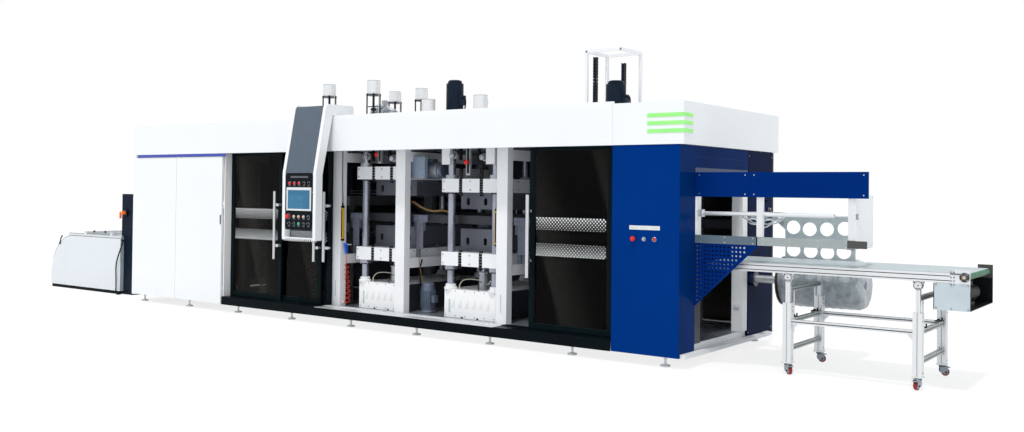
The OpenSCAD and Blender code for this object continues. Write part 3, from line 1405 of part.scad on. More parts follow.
function ring(c, d, r, n) = let (
        u = unit(cross(d, abs(d.z) < 0.9 ? [0, 0, 1] : [1, 0, 0])), v = cross(d, u))
    [for (k = [0 : n - 1]) c + r * (cos(360 * k / n) * u + sin(360 * k / n) * v)];

// tube along a route of points
module route_tube(p, r, n) {
    m = len(p);
    pts = [for (i = [0 : m - 1]) for (q = ring(p[i], route_dir(p, i), r, n)) q];
    sides = [for (i = [0 : m - 2], k = [0 : n - 1])
        [i * n + k, i * n + (k + 1) % n, (i + 1) * n + (k + 1) % n, (i + 1) * n + k]];
    caps = [[for (k = [n - 1 : -1 : 0]) k], [for (k = [0 : n - 1]) (m - 1) * n + k]];
    polyhedron(pts, concat(sides, caps));
}

module power_cable() color(dark) place() route_tube(cable_route, cable_d / 2, 8);

gun_x = post_x[0] + post_w + 50;
gun_y = post_y + 50;
gun_z = 940;

// blow gun on its hook at the first post
module air_gun() color([0.05, 0.25, 0.75]) place() translate([gun_x, gun_y, gun_z]) {
    translate([-30, 0, 60]) rotate([0, 90, 0]) cylinder(d = 26, h = 74);
    translate([43, 0, 60]) rotate([0, 90, 0]) cylinder(d = 12, h = 60);
    rotate([0, -12, 0]) span([-12, -13, -60], [14, 13, 54]);
    translate([13, 0, -76]) cylinder(d = 16, h = 24);
    // trigger and hook
    rotate([0, 14, 0]) span([18, -5, -20], [24, 5, 52]);
    span([-50 + snug, -6, 68], [-20, 6, 76]);
}

// route of the coiled hose from the gun to its fitting on the post
hose_r = 21;
hose_route = [[4233, 320, 864], [4233, 320, 840], [4235, 319, 790], [4238, 318, 740], [4242, 317, 690],
    [4246, 316, 640], [4250, 316, 590], [4255, 316, 540], [4260, 317, 490], [4264, 318, 440],
    [4266, 319, 390], [4266, 320, 345], [4262, 320, 305], [4250, 320, 276], [4232, 320, 262],
    [4214, 320, 260], [4200, 320, 260]];

module air_hose() color([0.9, 0.15, 0.1]) place() route_tube(hose_route, hose_r, 8);

base_frame();
front_plinth();
frame_posts();
fascia_panels();
white_panels();
corner_panels();
light_strips();
left_door_1();
left_door_2();
glass_door_1();
glass_door_2();
glass_door_3();
glass_door_4();
glass_door_5();
glass_door_6();
pendant_shell();
pendant_face();
pendant_estop();
pendant_buttons();
corner_estop();
key_switch();
stop_button();
press_frame();
tie_columns();
forming_lower_platen();
forming_upper_platen();
cutting_lower_platen();
cutting_upper_platen();
transport_rails();
heater_bank();
drive_motors();
roof_cylinders();
cable_mast();
roof_motors();
guard_panels();
guard_rails();
scrap_web();
scrap_roll();
conveyor_bed();
conveyor_belt();
drive_roller();
tail_roller();
conveyor_motor();
leg_frame();
caster_fork_1();
caster_fork_2();
caster_fork_3();
caster_fork_4();
caster_wheel_1();
caster_wheel_2();
caster_wheel_3();
caster_wheel_4();
unwinder_panels();
unwinder_base();
film_roll();
brake_lever();
isolator_handle();
power_cable();
air_gun();
air_hose();
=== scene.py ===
"""Finishes and fittings of an enclosed pressure-forming line.

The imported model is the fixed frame. Lengths in the piece makers are
millimetres from the cabinet's front infeed corner, as on a shop drawing.
"""

import math

import bmesh
import bpy
from bpy.props import FloatProperty, FloatVectorProperty, IntProperty, PointerProperty
from bpy.types import Operator, Panel, PropertyGroup
from mathutils import Matrix, Vector


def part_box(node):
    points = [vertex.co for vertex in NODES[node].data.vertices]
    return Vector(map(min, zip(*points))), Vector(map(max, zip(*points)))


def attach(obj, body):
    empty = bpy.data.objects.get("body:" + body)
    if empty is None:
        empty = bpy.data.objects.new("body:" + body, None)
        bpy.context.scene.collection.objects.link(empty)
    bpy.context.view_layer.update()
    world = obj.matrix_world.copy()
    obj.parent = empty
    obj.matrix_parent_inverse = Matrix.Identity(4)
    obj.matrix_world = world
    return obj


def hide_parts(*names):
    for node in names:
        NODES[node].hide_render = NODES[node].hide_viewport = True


bl_info = {
    "name": "Forming Line Finishes",
    "version": (1, 0, 0),
    "blender": (4, 5, 0),
    "location": "3D View > Sidebar > Forming Line",
    "description": "Fittings and finishes for an enclosed pressure-forming line",
    "category": "Object",
}

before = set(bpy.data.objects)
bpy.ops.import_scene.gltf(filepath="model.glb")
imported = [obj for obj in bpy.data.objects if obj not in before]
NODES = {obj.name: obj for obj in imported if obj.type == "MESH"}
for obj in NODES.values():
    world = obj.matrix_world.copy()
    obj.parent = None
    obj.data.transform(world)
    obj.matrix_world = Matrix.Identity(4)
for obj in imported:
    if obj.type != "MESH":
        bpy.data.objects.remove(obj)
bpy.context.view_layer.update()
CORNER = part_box("fascia_panels")[0]
BIG = 20000  # reaches past the line on every side
ABOVE = 3000  # higher than the cabinet's roof
UP, DOWN = (0, 0, 1), (0, 0, -1)
FRONT, BACK = (0, -1, 0), (0, 1, 0)
LEFT, RIGHT = (-1, 0, 0), (1, 0, 0)


# ------------------------------------------------------------------ drawing


def at(x, y, z):
    """A point of the shop drawing, in the frame's metres."""
    return Vector((CORNER.x + x / 1000, CORNER.y + y / 1000, z / 1000))


def drawn(point):
    """A point of the frame, in the shop drawing's millimetres."""
    return Vector(((point.x - CORNER.x) * 1000, (point.y - CORNER.y) * 1000, point.z * 1000))


def extent(node):
    """The drawing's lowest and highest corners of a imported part."""
    low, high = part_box(node)
    return drawn(low), drawn(high)


def towards(axis):
    """The turn that takes +Z to an axis."""
    return Vector((0, 0, 1)).rotation_difference(Vector(axis)).to_matrix().to_4x4()


class Shape:
    """Solids that together become one piece, in the drawing's millimetres."""

    def __init__(self):
        self.bm = bmesh.new()

    def box(self, low, high):
        low, high = Vector(low), Vector(high)
        made = bmesh.ops.create_cube(self.bm, size=1)["verts"]
        size = Matrix.Diagonal((*(high - low), 1))
        bmesh.ops.transform(self.bm, matrix=Matrix.Translation((low + high) / 2) @ size, verts=made)
        return self

    def rod(self, a, b, radius, sides=24, radius_b=None):
        a, b = Vector(a), Vector(b)
        made = bmesh.ops.create_cone(
            self.bm, cap_ends=True, segments=sides, depth=(b - a).length,
            radius1=radius, radius2=radius if radius_b is None else radius_b)["verts"]
        place = Matrix.Translation((a + b) / 2) @ towards(b - a)
        bmesh.ops.transform(self.bm, matrix=place, verts=made)
        return self

    def lathe(self, at_point, axis, outline, sides=32):
        """Turns a closed outline of (radius, height) pairs round an axis."""
        place = Matrix.Translation(Vector(at_point)) @ towards(axis)
        rings = []
        for radius, height in outline:
            if radius < 1e-6:
                rings.append([self.bm.verts.new(place @ Vector((0, 0, height)))])
                continue
            turns = [math.tau * k / sides for k in range(sides)]
            rings.append([self.bm.verts.new(place @ Vector(
                (radius * math.cos(t), radius * math.sin(t), height))) for t in turns])
        closed = outline[0][0] > 1e-6 or outline[-1][0] > 1e-6
        pairs = list(zip(rings, rings[1:])) + ([(rings[-1], rings[0])] if closed else [])
        for low, high in pairs:
            for k in range(sides):
                ends = [low[k % len(low)], low[(k + 1) % len(low)],
                        high[(k + 1) % len(high)], high[k % len(high)]]
                corners = list(dict.fromkeys(ends))
                if len(corners) > 2:
                    self.bm.faces.new(corners)
        return self

    def prism(self, outline, axis, start, end):
        """Draws an outline in the plane across an axis out from start to end."""
        put = {"x": lambda u, v, w: (w, u, v), "y": lambda u, v, w: (u, w, v),
               "z": lambda u, v, w: (u, v, w)}[axis]
        low = [self.bm.verts.new(put(u, v, start)) for u, v in outline]
        high = [self.bm.verts.new(put(u, v, end)) for u, v in outline]
        self.bm.faces.new(low)
        self.bm.faces.new(list(reversed(high)))
        for k in range(len(low)):
            j = (k + 1) % len(low)
            self.bm.faces.new((low[k], high[k], high[j], low[j]))
        return self

    def mesh(self, name):
        """The collected solids as a mesh in the frame's metres."""
        bmesh.ops.recalc_face_normals(self.bm, faces=self.bm.faces)
        self.bm.transform(Matrix.Translation(at(0, 0, 0)) @ Matrix.Scale(0.001, 4))
        made = bpy.data.meshes.new(name)
        self.bm.to_mesh(made)
        self.bm.free()
        return made

    def part(self, name):
        """The collected solids as they are, round the origin, for a pattern to repeat."""
        bmesh.ops.recalc_face_normals(self.bm, faces=self.bm.faces)
        self.bm.transform(Matrix.Scale(0.001, 4))
        made = bpy.data.meshes.new(name)
        self.bm.to_mesh(made)
        self.bm.free()
        return made

    def piece(self, name, look, body="cabinet", slot=None, edge=0.0, angle=35):
        """The collected solids as a finished piece that rides on a body."""
        return finished(name, self.mesh(name), look, body, slot, edge, angle)


def finish_of(look):
    """The material of a look that is given by its name, or the material itself."""
    return coat(look) if isinstance(look, str) else look


def finished(name, mesh, look, body="cabinet", slot=None, edge=0.0, angle=35):
    """A finished piece: smooth curves, softened edges, its finish and body."""
    slot = slot or SLOTS.get(look)
    mesh.shade_smooth()
    mesh.set_sharp_from_angle(angle=math.radians(angle))
    mesh.materials.clear()
    mesh.materials.append(finish_of(look))
    piece = bpy.data.objects.new(name, mesh)
    bpy.context.scene.collection.objects.link(piece)
    if edge:
        bevel = piece.modifiers.new("Broken edges", "BEVEL")
        bevel.width = edge / 1000
        bevel.segments = 2
        bevel.limit_method = "ANGLE"
        bevel.angle_limit = math.radians(angle)
    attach(piece, body)
    return piece


# ----------------------------------------------------------------- patterns


def pattern(name, inputs):
    """Starts a pattern tree with named inputs, and returns it with a node adder."""
    group = bpy.data.node_groups.new(name, "GeometryNodeTree")
    group.interface.new_socket("Geometry", in_out="INPUT", socket_type="NodeSocketGeometry")
    for label, kind, default in inputs:
        socket = group.interface.new_socket(label, in_out="INPUT", socket_type=kind)
        if default is not None:
            socket.default_value = default
    group.interface.new_socket("Geometry", in_out="OUTPUT", socket_type="NodeSocketGeometry")

    def add(kind, **settings):
        node = group.nodes.new(kind)
        for key, value in settings.items():
            setattr(node, key, value)
        return node

    return group, add, add("NodeGroupInput"), add("NodeGroupOutput")


def close_pattern(group, add, source, sink, geometry):
    """Ends a pattern: plain geometry with its finish."""
    real = add("GeometryNodeRealizeInstances")
    paint = add("GeometryNodeSetMaterial")
    group.links.new(geometry, real.inputs[0])
    group.links.new(real.outputs[0], paint.inputs["Geometry"])
    group.links.new(source.outputs["Finish"], paint.inputs["Material"])
    group.links.new(paint.outputs[0], sink.inputs[0])
    return group


def math_node(group, add, operation, a, b=None, c=None):
    """A sum of sockets and numbers."""
    node = add("ShaderNodeMath", operation=operation)
    for k, value in enumerate((a, b, c)):
        if value is None:
            continue
        if isinstance(value, (int, float)):
            node.inputs[k].default_value = value
        else:
            group.links.new(value, node.inputs[k])
    return node.outputs[0]


def fastener_pattern():
    """One fitting at every point, turned as the point says."""
    group, add, source, sink = pattern("Fittings at points", [
        ("Fitting", "NodeSocketObject", None), ("Size", "NodeSocketFloat", 1.0),
        ("Finish", "NodeSocketMaterial", None)])
    part = add("GeometryNodeObjectInfo")
    turn = add("GeometryNodeInputNamedAttribute", data_type="FLOAT_VECTOR")
    turn.inputs["Name"].default_value = "turn"
    spots = add("GeometryNodeInstanceOnPoints")
    link = group.links.new
    link(source.outputs["Fitting"], part.inputs["Object"])
    link(source.outputs["Geometry"], spots.inputs["Points"])
    link(part.outputs["Geometry"], spots.inputs["Instance"])
    link(turn.outputs["Attribute"], spots.inputs["Rotation"])
    link(source.outputs["Size"], spots.inputs["Scale"])
    return close_pattern(group, add, source, sink, spots.outputs[0])


def dot_pattern():
    """Staggered rows of round dots whose size changes from row to row."""
    group, add, source, sink = pattern("Dot band", [
        ("Columns", "NodeSocketInt", 40), ("Rows", "NodeSocketInt", 6),
        ("Pitch", "NodeSocketFloat", 0.022), ("First size", "NodeSocketFloat", 0.018),
        ("Last size", "NodeSocketFloat", 0.006), ("Thickness", "NodeSocketFloat", 0.0004),
        ("Finish", "NodeSocketMaterial", None)])
    link = group.links.new
    columns, rows, pitch = (source.outputs[k] for k in ("Columns", "Rows", "Pitch"))
    grid = add("GeometryNodeMeshGrid")
    wide = math_node(group, add, "MULTIPLY", math_node(group, add, "SUBTRACT", columns, 1), pitch)
    half = math_node(group, add, "MULTIPLY", pitch, 0.5)
    last = math_node(group, add, "SUBTRACT", rows, 1)
    high = math_node(group, add, "MULTIPLY", last, half)
    link(wide, grid.inputs["Size X"])
    link(high, grid.inputs["Size Y"])
    link(columns, grid.inputs["Vertices X"])
    link(rows, grid.inputs["Vertices Y"])
    place = add("GeometryNodeInputPosition")
    split = add("ShaderNodeSeparateXYZ")
    link(place.outputs[0], split.inputs[0])
    share = math_node(group, add, "DIVIDE", split.outputs["Y"], high)
    row = math_node(group, add, "ROUND", math_node(
        group, add, "MULTIPLY", math_node(group, add, "ADD", share, 0.5), last))
    odd = math_node(group, add, "MODULO", row, 2.0)
    shift = add("ShaderNodeCombineXYZ")
    link(math_node(group, add, "MULTIPLY", odd, half), shift.inputs["X"])
    move = add("GeometryNodeSetPosition")
    link(grid.outputs["Mesh"], move.inputs["Geometry"])
    link(shift.outputs[0], move.inputs["Offset"])
    step = math_node(group, add, "DIVIDE", row, last)
    spread = math_node(group, add, "SUBTRACT", source.outputs["Last size"],
        source.outputs["First size"])
    size = math_node(group, add, "MULTIPLY_ADD", step, spread, source.outputs["First size"])
    scale = add("ShaderNodeCombineXYZ")
    link(size, scale.inputs["X"])
    link(size, scale.inputs["Y"])
    scale.inputs["Z"].default_value = 1.0
    disc = add("GeometryNodeMeshCylinder")
    disc.inputs["Vertices"].default_value = 10
    disc.inputs["Radius"].default_value = 0.5
    link(source.outputs["Thickness"], disc.inputs["Depth"])
    spots = add("GeometryNodeInstanceOnPoints")
    link(move.outputs[0], spots.inputs["Points"])
    link(disc.outputs["Mesh"], spots.inputs["Instance"])
    link(scale.outputs[0], spots.inputs["Scale"])
    return close_pattern(group, add, source, sink, spots.outputs[0])


def tread_pattern():
    """Raised lozenges in turned pairs, as on tread plate."""
    group, add, source, sink = pattern("Tread plate", [
        ("Length", "NodeSocketFloat", 6.0), ("Width", "NodeSocketFloat", 1.8),
        ("Pitch", "NodeSocketFloat", 0.05), ("Height", "NodeSocketFloat", 0.0015),
        ("Finish", "NodeSocketMaterial", None)])
    link = group.links.new
    pitch = source.outputs["Pitch"]
    counts = [math_node(group, add, "FLOOR", math_node(group, add, "DIVIDE", source.outputs[k],
        pitch))
              for k in ("Length", "Width")]
    sizes = [math_node(group, add, "MULTIPLY", math_node(group, add, "SUBTRACT", n, 1.0), pitch)
             for n in counts]
    grid = add("GeometryNodeMeshGrid")
    for socket, value in zip(("Size X", "Size Y", "Vertices X", "Vertices Y"), sizes + counts):
        link(value, grid.inputs[socket])
    place = add("GeometryNodeInputPosition")
    split = add("ShaderNodeSeparateXYZ")
    link(place.outputs[0], split.inputs[0])
    steps = []
    for axis, size in zip("XY", sizes):
        edge = math_node(group, add, "MULTIPLY_ADD", size, 0.5, split.outputs[axis])
        steps.append(math_node(group, add, "ROUND", math_node(group, add, "DIVIDE", edge, pitch)))
    odd = math_node(group, add, "MODULO", math_node(group, add, "ADD", *steps), 2.0)
    turn = add("ShaderNodeCombineXYZ")
    link(math_node(group, add, "MULTIPLY_ADD", odd, math.pi / 2, math.pi / 4), turn.inputs["Z"])
    lozenge = add("GeometryNodeMeshCone")
    lozenge.inputs["Vertices"].default_value = 6
    lozenge.inputs["Radius Top"].default_value = 0.18
    lozenge.inputs["Radius Bottom"].default_value = 0.42
    lozenge.inputs["Depth"].default_value = 1.0
    scale = add("ShaderNodeCombineXYZ")
    link(pitch, scale.inputs["X"])
    link(math_node(group, add, "MULTIPLY", pitch, 0.36), scale.inputs["Y"])
    link(source.outputs["Height"], scale.inputs["Z"])
    spots = add("GeometryNodeInstanceOnPoints")
    link(grid.outputs["Mesh"], spots.inputs["Points"])
    link(lozenge.outputs["Mesh"], spots.inputs["Instance"])
    link(turn.outputs[0], spots.inputs["Rotation"])
    link(scale.outputs[0], spots.inputs["Scale"])
    return close_pattern(group, add, source, sink, spots.outputs[0])


def fin_pattern():
    """Upright fins round a motor's barrel."""
    group, add, source, sink = pattern("Fin ring", [
        ("Fins", "NodeSocketInt", 24), ("Radius", "NodeSocketFloat", 0.1),
        ("Depth", "NodeSocketFloat", 0.014), ("Thickness", "NodeSocketFloat", 0.004),
        ("Height", "NodeSocketFloat", 0.3), ("Finish", "NodeSocketMaterial", None)])
    link = group.links.new
    ring = add("GeometryNodeMeshCircle")
    link(source.outputs["Fins"], ring.inputs["Vertices"])
    link(source.outputs["Radius"], ring.inputs["Radius"])
    size = add("ShaderNodeCombineXYZ")
    for axis, key in zip("XYZ", ("Depth", "Thickness", "Height")):
        link(source.outputs[key], size.inputs[axis])
    fin = add("GeometryNodeMeshCube")
    link(size.outputs[0], fin.inputs["Size"])
    index = add("GeometryNodeInputIndex")
    angle = math_node(group, add, "DIVIDE", math_node(
        group, add, "MULTIPLY", index.outputs[0], math.tau), source.outputs["Fins"])
    turn = add("ShaderNodeCombineXYZ")
    link(angle, turn.inputs["Z"])
    spots = add("GeometryNodeInstanceOnPoints")
    link(ring.outputs["Mesh"], spots.inputs["Points"])
    link(fin.outputs["Mesh"], spots.inputs["Instance"])
    link(turn.outputs[0], spots.inputs["Rotation"])
    return close_pattern(group, add, source, sink, spots.outputs[0])


def hose_pattern():
    """A round hose or cable along a curve."""
    group, add, source, sink = pattern("Hose", [
        ("Radius", "NodeSocketFloat", 0.01), ("Sides", "NodeSocketInt", 10),
        ("Finish", "NodeSocketMaterial", None)])
    link = group.links.new
    ring = add("GeometryNodeCurvePrimitiveCircle")
    link(source.outputs["Sides"], ring.inputs["Resolution"])
    link(source.outputs["Radius"], ring.inputs["Radius"])
    tube = add("GeometryNodeCurveToMesh")
    tube.inputs["Fill Caps"].default_value = True
    link(source.outputs["Geometry"], tube.inputs["Curve"])
    link(ring.outputs[0], tube.inputs["Profile Curve"])
    return close_pattern(group, add, source, sink, tube.outputs[0])


def chain_pattern():
    """Links of a chain, evenly along a curve."""
    group, add, source, sink = pattern("Chain", [
        ("Link", "NodeSocketObject", None), ("Pitch", "NodeSocketFloat", 0.03),
        ("Finish", "NodeSocketMaterial", None)])
    link = group.links.new
    part = add("GeometryNodeObjectInfo")
    spots = add("GeometryNodeCurveToPoints", mode="LENGTH")
    chain = add("GeometryNodeInstanceOnPoints")
    link(source.outputs["Link"], part.inputs["Object"])
    link(source.outputs["Geometry"], spots.inputs["Curve"])
    link(source.outputs["Pitch"], spots.inputs["Length"])
    link(spots.outputs["Points"], chain.inputs["Points"])
    link(spots.outputs["Rotation"], chain.inputs["Rotation"])
    link(part.outputs["Geometry"], chain.inputs["Instance"])
    return close_pattern(group, add, source, sink, chain.outputs[0])


PATTERNS = {}


def tree(maker):
    """The pattern tree that a maker builds, built once."""
    if maker.__name__ not in PATTERNS:
        PATTERNS[maker.__name__] = maker()
    return PATTERNS[maker.__name__]


def grown(name, base, maker, values, place=None):
    """The plain mesh that a pattern makes from a base and its inputs."""
    group = tree(maker)
    carrier = bpy.data.objects.new(name + "_base", base)
    bpy.context.scene.collection.objects.link(carrier)
    modifier = carrier.modifiers.new("Pattern", "NODES")
    modifier.node_group = group
    for item in group.interface.items_tree:
        if item.item_type == "SOCKET" and item.in_out == "INPUT" and item.name in values:
            modifier[item.identifier] = values[item.name]
    graph = bpy.context.evaluated_depsgraph_get()
    made = bpy.data.meshes.new_from_object(carrier.evaluated_get(graph))
    carrier.modifiers.remove(modifier)
    bpy.data.objects.remove(carrier)
    if place is not None:
        made.transform(place)
    return made


def fittings(name, part, spots, look, body="cabinet", slot=None):
    """Copies of a small part at (x, y, z, axis) spots of the drawing, as one piece."""
    base = bpy.data.meshes.new(name + "_spots")
    base.from_pydata([at(*s[:3]) for s in spots], [], [])
    turn = base.attributes.new("turn", "FLOAT_VECTOR", "POINT")
    for k, spot in enumerate(spots):
        turn.data[k].vector = towards(spot[3]).to_euler()
    holder = bpy.data.objects.new(name + "_part", part)
    made = grown(name, base, fastener_pattern, {"Fitting": holder, "Finish": finish_of(look)})
    bpy.data.objects.remove(holder)
    return finished(name, made, look, body, slot)


def line_curve(name, points):
    """A curve of one open line through points of the frame."""
    curve = bpy.data.curves.new(name, "CURVE")
    curve.dimensions = "3D"
    spline = curve.splines.new("POLY")
    spline.points.add(len(points) - 1)
    for k, point in enumerate(points):
        spline.points[k].co = (*point, 1)
    return curve


def eased(points, steps=8):
    """A smooth run of points through a few given ones."""
    points = [Vector(p) for p in points]
    ends = [2 * points[0] - points[1]] + points + [2 * points[-1] - points[-2]]
    run = []
    for k in range(1, len(ends) - 2):
        a, b, c, d = ends[k - 1:k + 3]
        for s in range(steps):
            t = s / steps
            run.append(0.5 * (2 * b + (c - a) * t + (2 * a - 5 * b + 4 * c - d) * t ** 2
                              + (3 * b - a - 3 * c + d) * t ** 3))
    return run + [points[-1]]


def hose(name, points, radius, look, body="cabinet", slot=None, sides=10, steps=8):
    """A hose or cable fixed along a machine, through points of the drawing."""
    run = [at(*p) for p in eased(points, steps)]
    made = grown(name, line_curve(name, run), hose_pattern,
                 {"Radius": radius / 1000, "Sides": sides, "Finish": finish_of(look)})
    return finished(name, made, look, body, slot, angle=50)


# ----------------------------------------------------------------- finishes


class Coat:
    """Nodes of one material: its surfaces, their zones and the shader."""

    def __init__(self, name):
        self.material = bpy.data.materials.get(name) or bpy.data.materials.new(name)
        self.material.use_nodes = True
        self.tree = self.material.node_tree
        self.shader = self.tree.nodes["Principled BSDF"]
        self.place = self.tree.nodes.new("ShaderNodeTexCoord").outputs["Object"]

    def node(self, kind, **settings):
        made = self.tree.nodes.new(kind)
        for key, value in settings.items():
            setattr(made, key, value)
        return made

    def feed(self, value, socket):
        if isinstance(value, bpy.types.NodeSocket):
            self.tree.links.new(value, socket)
        else:
            socket.default_value = value

    def sum(self, operation, a, b=0.0, c=0.0, clamp=False):
        made = self.node("ShaderNodeMath", operation=operation, use_clamp=clamp)
        for value, socket in zip((a, b, c), made.inputs):
            self.feed(value, socket)
        return made.outputs[0]

    def noise(self, scale, detail=2.0, stretch=(1, 1, 1), rough=0.5, distortion=0.0):
        spread = self.node("ShaderNodeMapping")
        spread.inputs["Scale"].default_value = stretch
        self.feed(self.place, spread.inputs["Vector"])
        made = self.node("ShaderNodeTexNoise")
        made.inputs["Scale"].default_value = scale
        made.inputs["Detail"].default_value = detail
        made.inputs["Roughness"].default_value = rough
        made.inputs["Distortion"].default_value = distortion
        self.feed(spread.outputs[0], made.inputs["Vector"])
        return made.outputs["Fac"]

    def between(self, value, low, high, start=0.0, end=1.0):
        made = self.node("ShaderNodeMapRange")
        for key, given in zip(("Value", "From Min", "From Max", "To Min", "To Max"),
                              (value, low, high, start, end)):
            self.feed(given, made.inputs[key])
        return made.outputs[0]

    def mix(self, share, a, b):
        made = self.node("ShaderNodeMix", data_type="RGBA")
        self.feed(share, made.inputs[0])
        self.feed(a, made.inputs[6])
        self.feed(b, made.inputs[7])
        return made.outputs[2]

    def blend(self, share, a, b):
        made = self.node("ShaderNodeMix", data_type="FLOAT")
        self.feed(share, made.inputs[0])
        self.feed(a, made.inputs[2])
        self.feed(b, made.inputs[3])
        return made.outputs[0]

    def axis(self, which):
        split = self.node("ShaderNodeSeparateXYZ")
        self.feed(self.place, split.inputs[0])
        return split.outputs["XYZ".index(which)]

    def zone(self, low, high):
        """1 inside a box of the drawing, 0 outside it."""
        inside = None
        for which, a, b in zip("XYZ", at(*low), at(*high)):
            here = self.axis(which)
            held = self.sum("MULTIPLY", self.sum("GREATER_THAN", here, a),
                            self.sum("LESS_THAN", here, b))
            inside = held if inside is None else self.sum("MULTIPLY", inside, held)
        return inside

    def spoke(self, centre, axis):
        """Distance from a line of the drawing that runs along an axis."""
        middle = at(*centre)
        parts = [self.sum("SUBTRACT", self.axis(w),
            middle["XYZ".index(w)]) for w in "XYZ" if w != axis]
        return self.sum("SQRT", self.sum("ADD", *[self.sum("MULTIPLY", p, p) for p in parts]))

    def surface(self, look):
        """Colour, metal, roughness and relief of a named look."""
        colour, metal, rough = (*look["colour"], 1.0), look.get("metal", 0.0), look["rough"]
        kind = look["kind"]
        shade = look.get("shade", 0.06)
        dark = tuple(c * (1 - shade) for c in colour[:3]) + (1.0,)
        if kind == "paint":
            cloud = self.noise(1.7, 3)
            peel = self.noise(260, 1)
            soil = self.between(self.sum("MULTIPLY_ADD", self.noise(9, 4), 0.25, self.axis("Z")),
                                0.10, 0.55, 1.0, 0.0)
            worn = self.mix(self.between(cloud, 0.3, 0.7), colour, dark)
            dust = look.get("dust", 0.10)
            tint = look.get("soil", (0.45, 0.44, 0.42))
            tone = self.mix(self.sum("MULTIPLY", soil, dust, clamp=True), worn, (*tint, 1.0))
            rub = self.between(self.noise(38, 5, rough=0.7), 0.62, 0.78)
            return tone, metal, self.sum("MULTIPLY_ADD", rub, 0.12, rough), \
                self.sum("MULTIPLY", peel, look.get("relief", 0.25))
        if kind == "brushed":
            along = look.get("along", "X")
            stretch = tuple(0.012 if w == along else 1.0 for w in "XYZ")
            hair = self.noise(look.get("grain", 900), 2, stretch)
            haze = self.noise(5, 3)
            tone = self.mix(self.between(hair, 0.3, 0.7), colour, dark)
            return self.mix(self.between(haze, 0.4, 0.9, 0, 0.35), tone, dark), metal, \
                self.sum("MULTIPLY_ADD", hair, 0.22,
                self.sum("MULTIPLY_ADD", haze, 0.10, rough - 0.12)), \
                self.sum("MULTIPLY", hair, 0.20)
        if kind == "turned":
            rings = self.noise(700, 1, tuple(1.0 if w == look.get("along",
                "Z") else 0.01 for w in "XYZ"))
            oil = self.noise(7, 4, (1, 1, 0.5))
            return self.mix(self.between(oil, 0.45, 0.75), colour, dark), metal, \
                self.sum("MULTIPLY_ADD", rings, 0.08, self.sum("MULTIPLY", oil, rough * 1.4)), \
                self.sum("MULTIPLY", rings, 0.12)
        if kind == "moulded":
            grain = self.noise(1400, 2)
            wear = self.noise(14, 4)
            return self.mix(self.between(wear, 0.4, 0.8), colour, dark), metal, \
                self.sum("MULTIPLY_ADD", wear, 0.16, rough - 0.08), self.sum("MULTIPLY", grain,
                0.35)
        if kind == "cast":
            skin = self.noise(180, 5, rough=0.7)
            stain = self.noise(6, 5, distortion=0.6)
            return self.mix(self.between(stain, 0.35, 0.7), colour, dark), metal, \
                self.sum("MULTIPLY_ADD", stain, 0.25, rough - 0.12), self.sum("MULTIPLY", skin, 0.9)
        if kind == "layers":
            far = self.spoke(look["centre"], look["along"])
            hoop = self.node("ShaderNodeTexNoise", noise_dimensions="1D")
            self.feed(far, hoop.inputs["W"])
            hoop.inputs["Scale"].default_value = look.get("grain", 420)
            hoop.inputs["Detail"].default_value = 4
            stretch = tuple(0.35 if w == look["along"] else 1.0 for w in "XYZ")
            crease = self.noise(11, 5, stretch, 0.62, 0.8)
            tone = self.mix(self.between(hoop.outputs["Fac"], 0.35, 0.65), colour, dark)
            return self.mix(self.between(crease, 0.42, 0.62, 0, 0.8), tone, dark), metal, \
                self.sum("MULTIPLY_ADD", crease, 0.3, rough - 0.12), \
                self.sum("ADD", self.sum("MULTIPLY", crease, look.get("relief", 6.0)),
                         self.sum("MULTIPLY", hoop.outputs["Fac"], 0.6))
        raise ValueError(f"no look is called {kind}")

    def finish(self, look, zones=(), **shader):
        """Puts a look on the shader, with other looks inside zones of the drawing."""
        colour, metal, rough, relief = self.surface(look)
        for inside, other in zones:
            share = inside if isinstance(inside, bpy.types.NodeSocket) else self.zone(*inside)
            colour_b, metal_b, rough_b, relief_b = self.surface(other)
            colour = self.mix(share, colour, colour_b)
            metal = self.blend(share, metal, metal_b) if metal != metal_b or not isinstance(metal,
                float) else metal
            rough = self.blend(share, rough, rough_b)
            relief = self.blend(share, relief, relief_b)
        if look.get("edge"):
            self.feed(self.edge_wear(colour, look["edge"]), self.shader.inputs["Base Color"])
        else:
            self.feed(colour, self.shader.inputs["Base Color"])
        self.feed(metal, self.shader.inputs["Metallic"])
        self.feed(rough, self.shader.inputs["Roughness"])
        bump = self.node("ShaderNodeBump")
        bump.inputs["Strength"].default_value = look.get("bump", 0.35)
        bump.inputs["Distance"].default_value = 0.001
        self.feed(relief, bump.inputs["Height"])
        self.feed(bump.outputs[0], self.shader.inputs["Normal"])
        self.shader.inputs["Specular IOR Level"].default_value = look.get("gloss", 0.30)
        for key, value in shader.items():
            self.shader.inputs[key.replace("_", " ")].default_value = value
        return self.material

    def edge_wear(self, colour, worn):
        """A lighter, rubbed line along sharp edges."""
        soft = self.node("ShaderNodeBevel", samples=3)
        soft.inputs["Radius"].default_value = 0.004
        flat = self.node("ShaderNodeNewGeometry")
        match = self.node("ShaderNodeVectorMath", operation="DOT_PRODUCT")
        self.feed(soft.outputs[0], match.inputs[0])
        self.feed(flat.outputs["Normal"], match.inputs[1])
        rubbed = self.sum("MULTIPLY", self.between(match.outputs["Value"], 0.98, 0.80),
                          self.between(self.noise(25, 4), 0.35, 0.65), clamp=True)
        return self.mix(rubbed, colour, (*worn, 1.0))


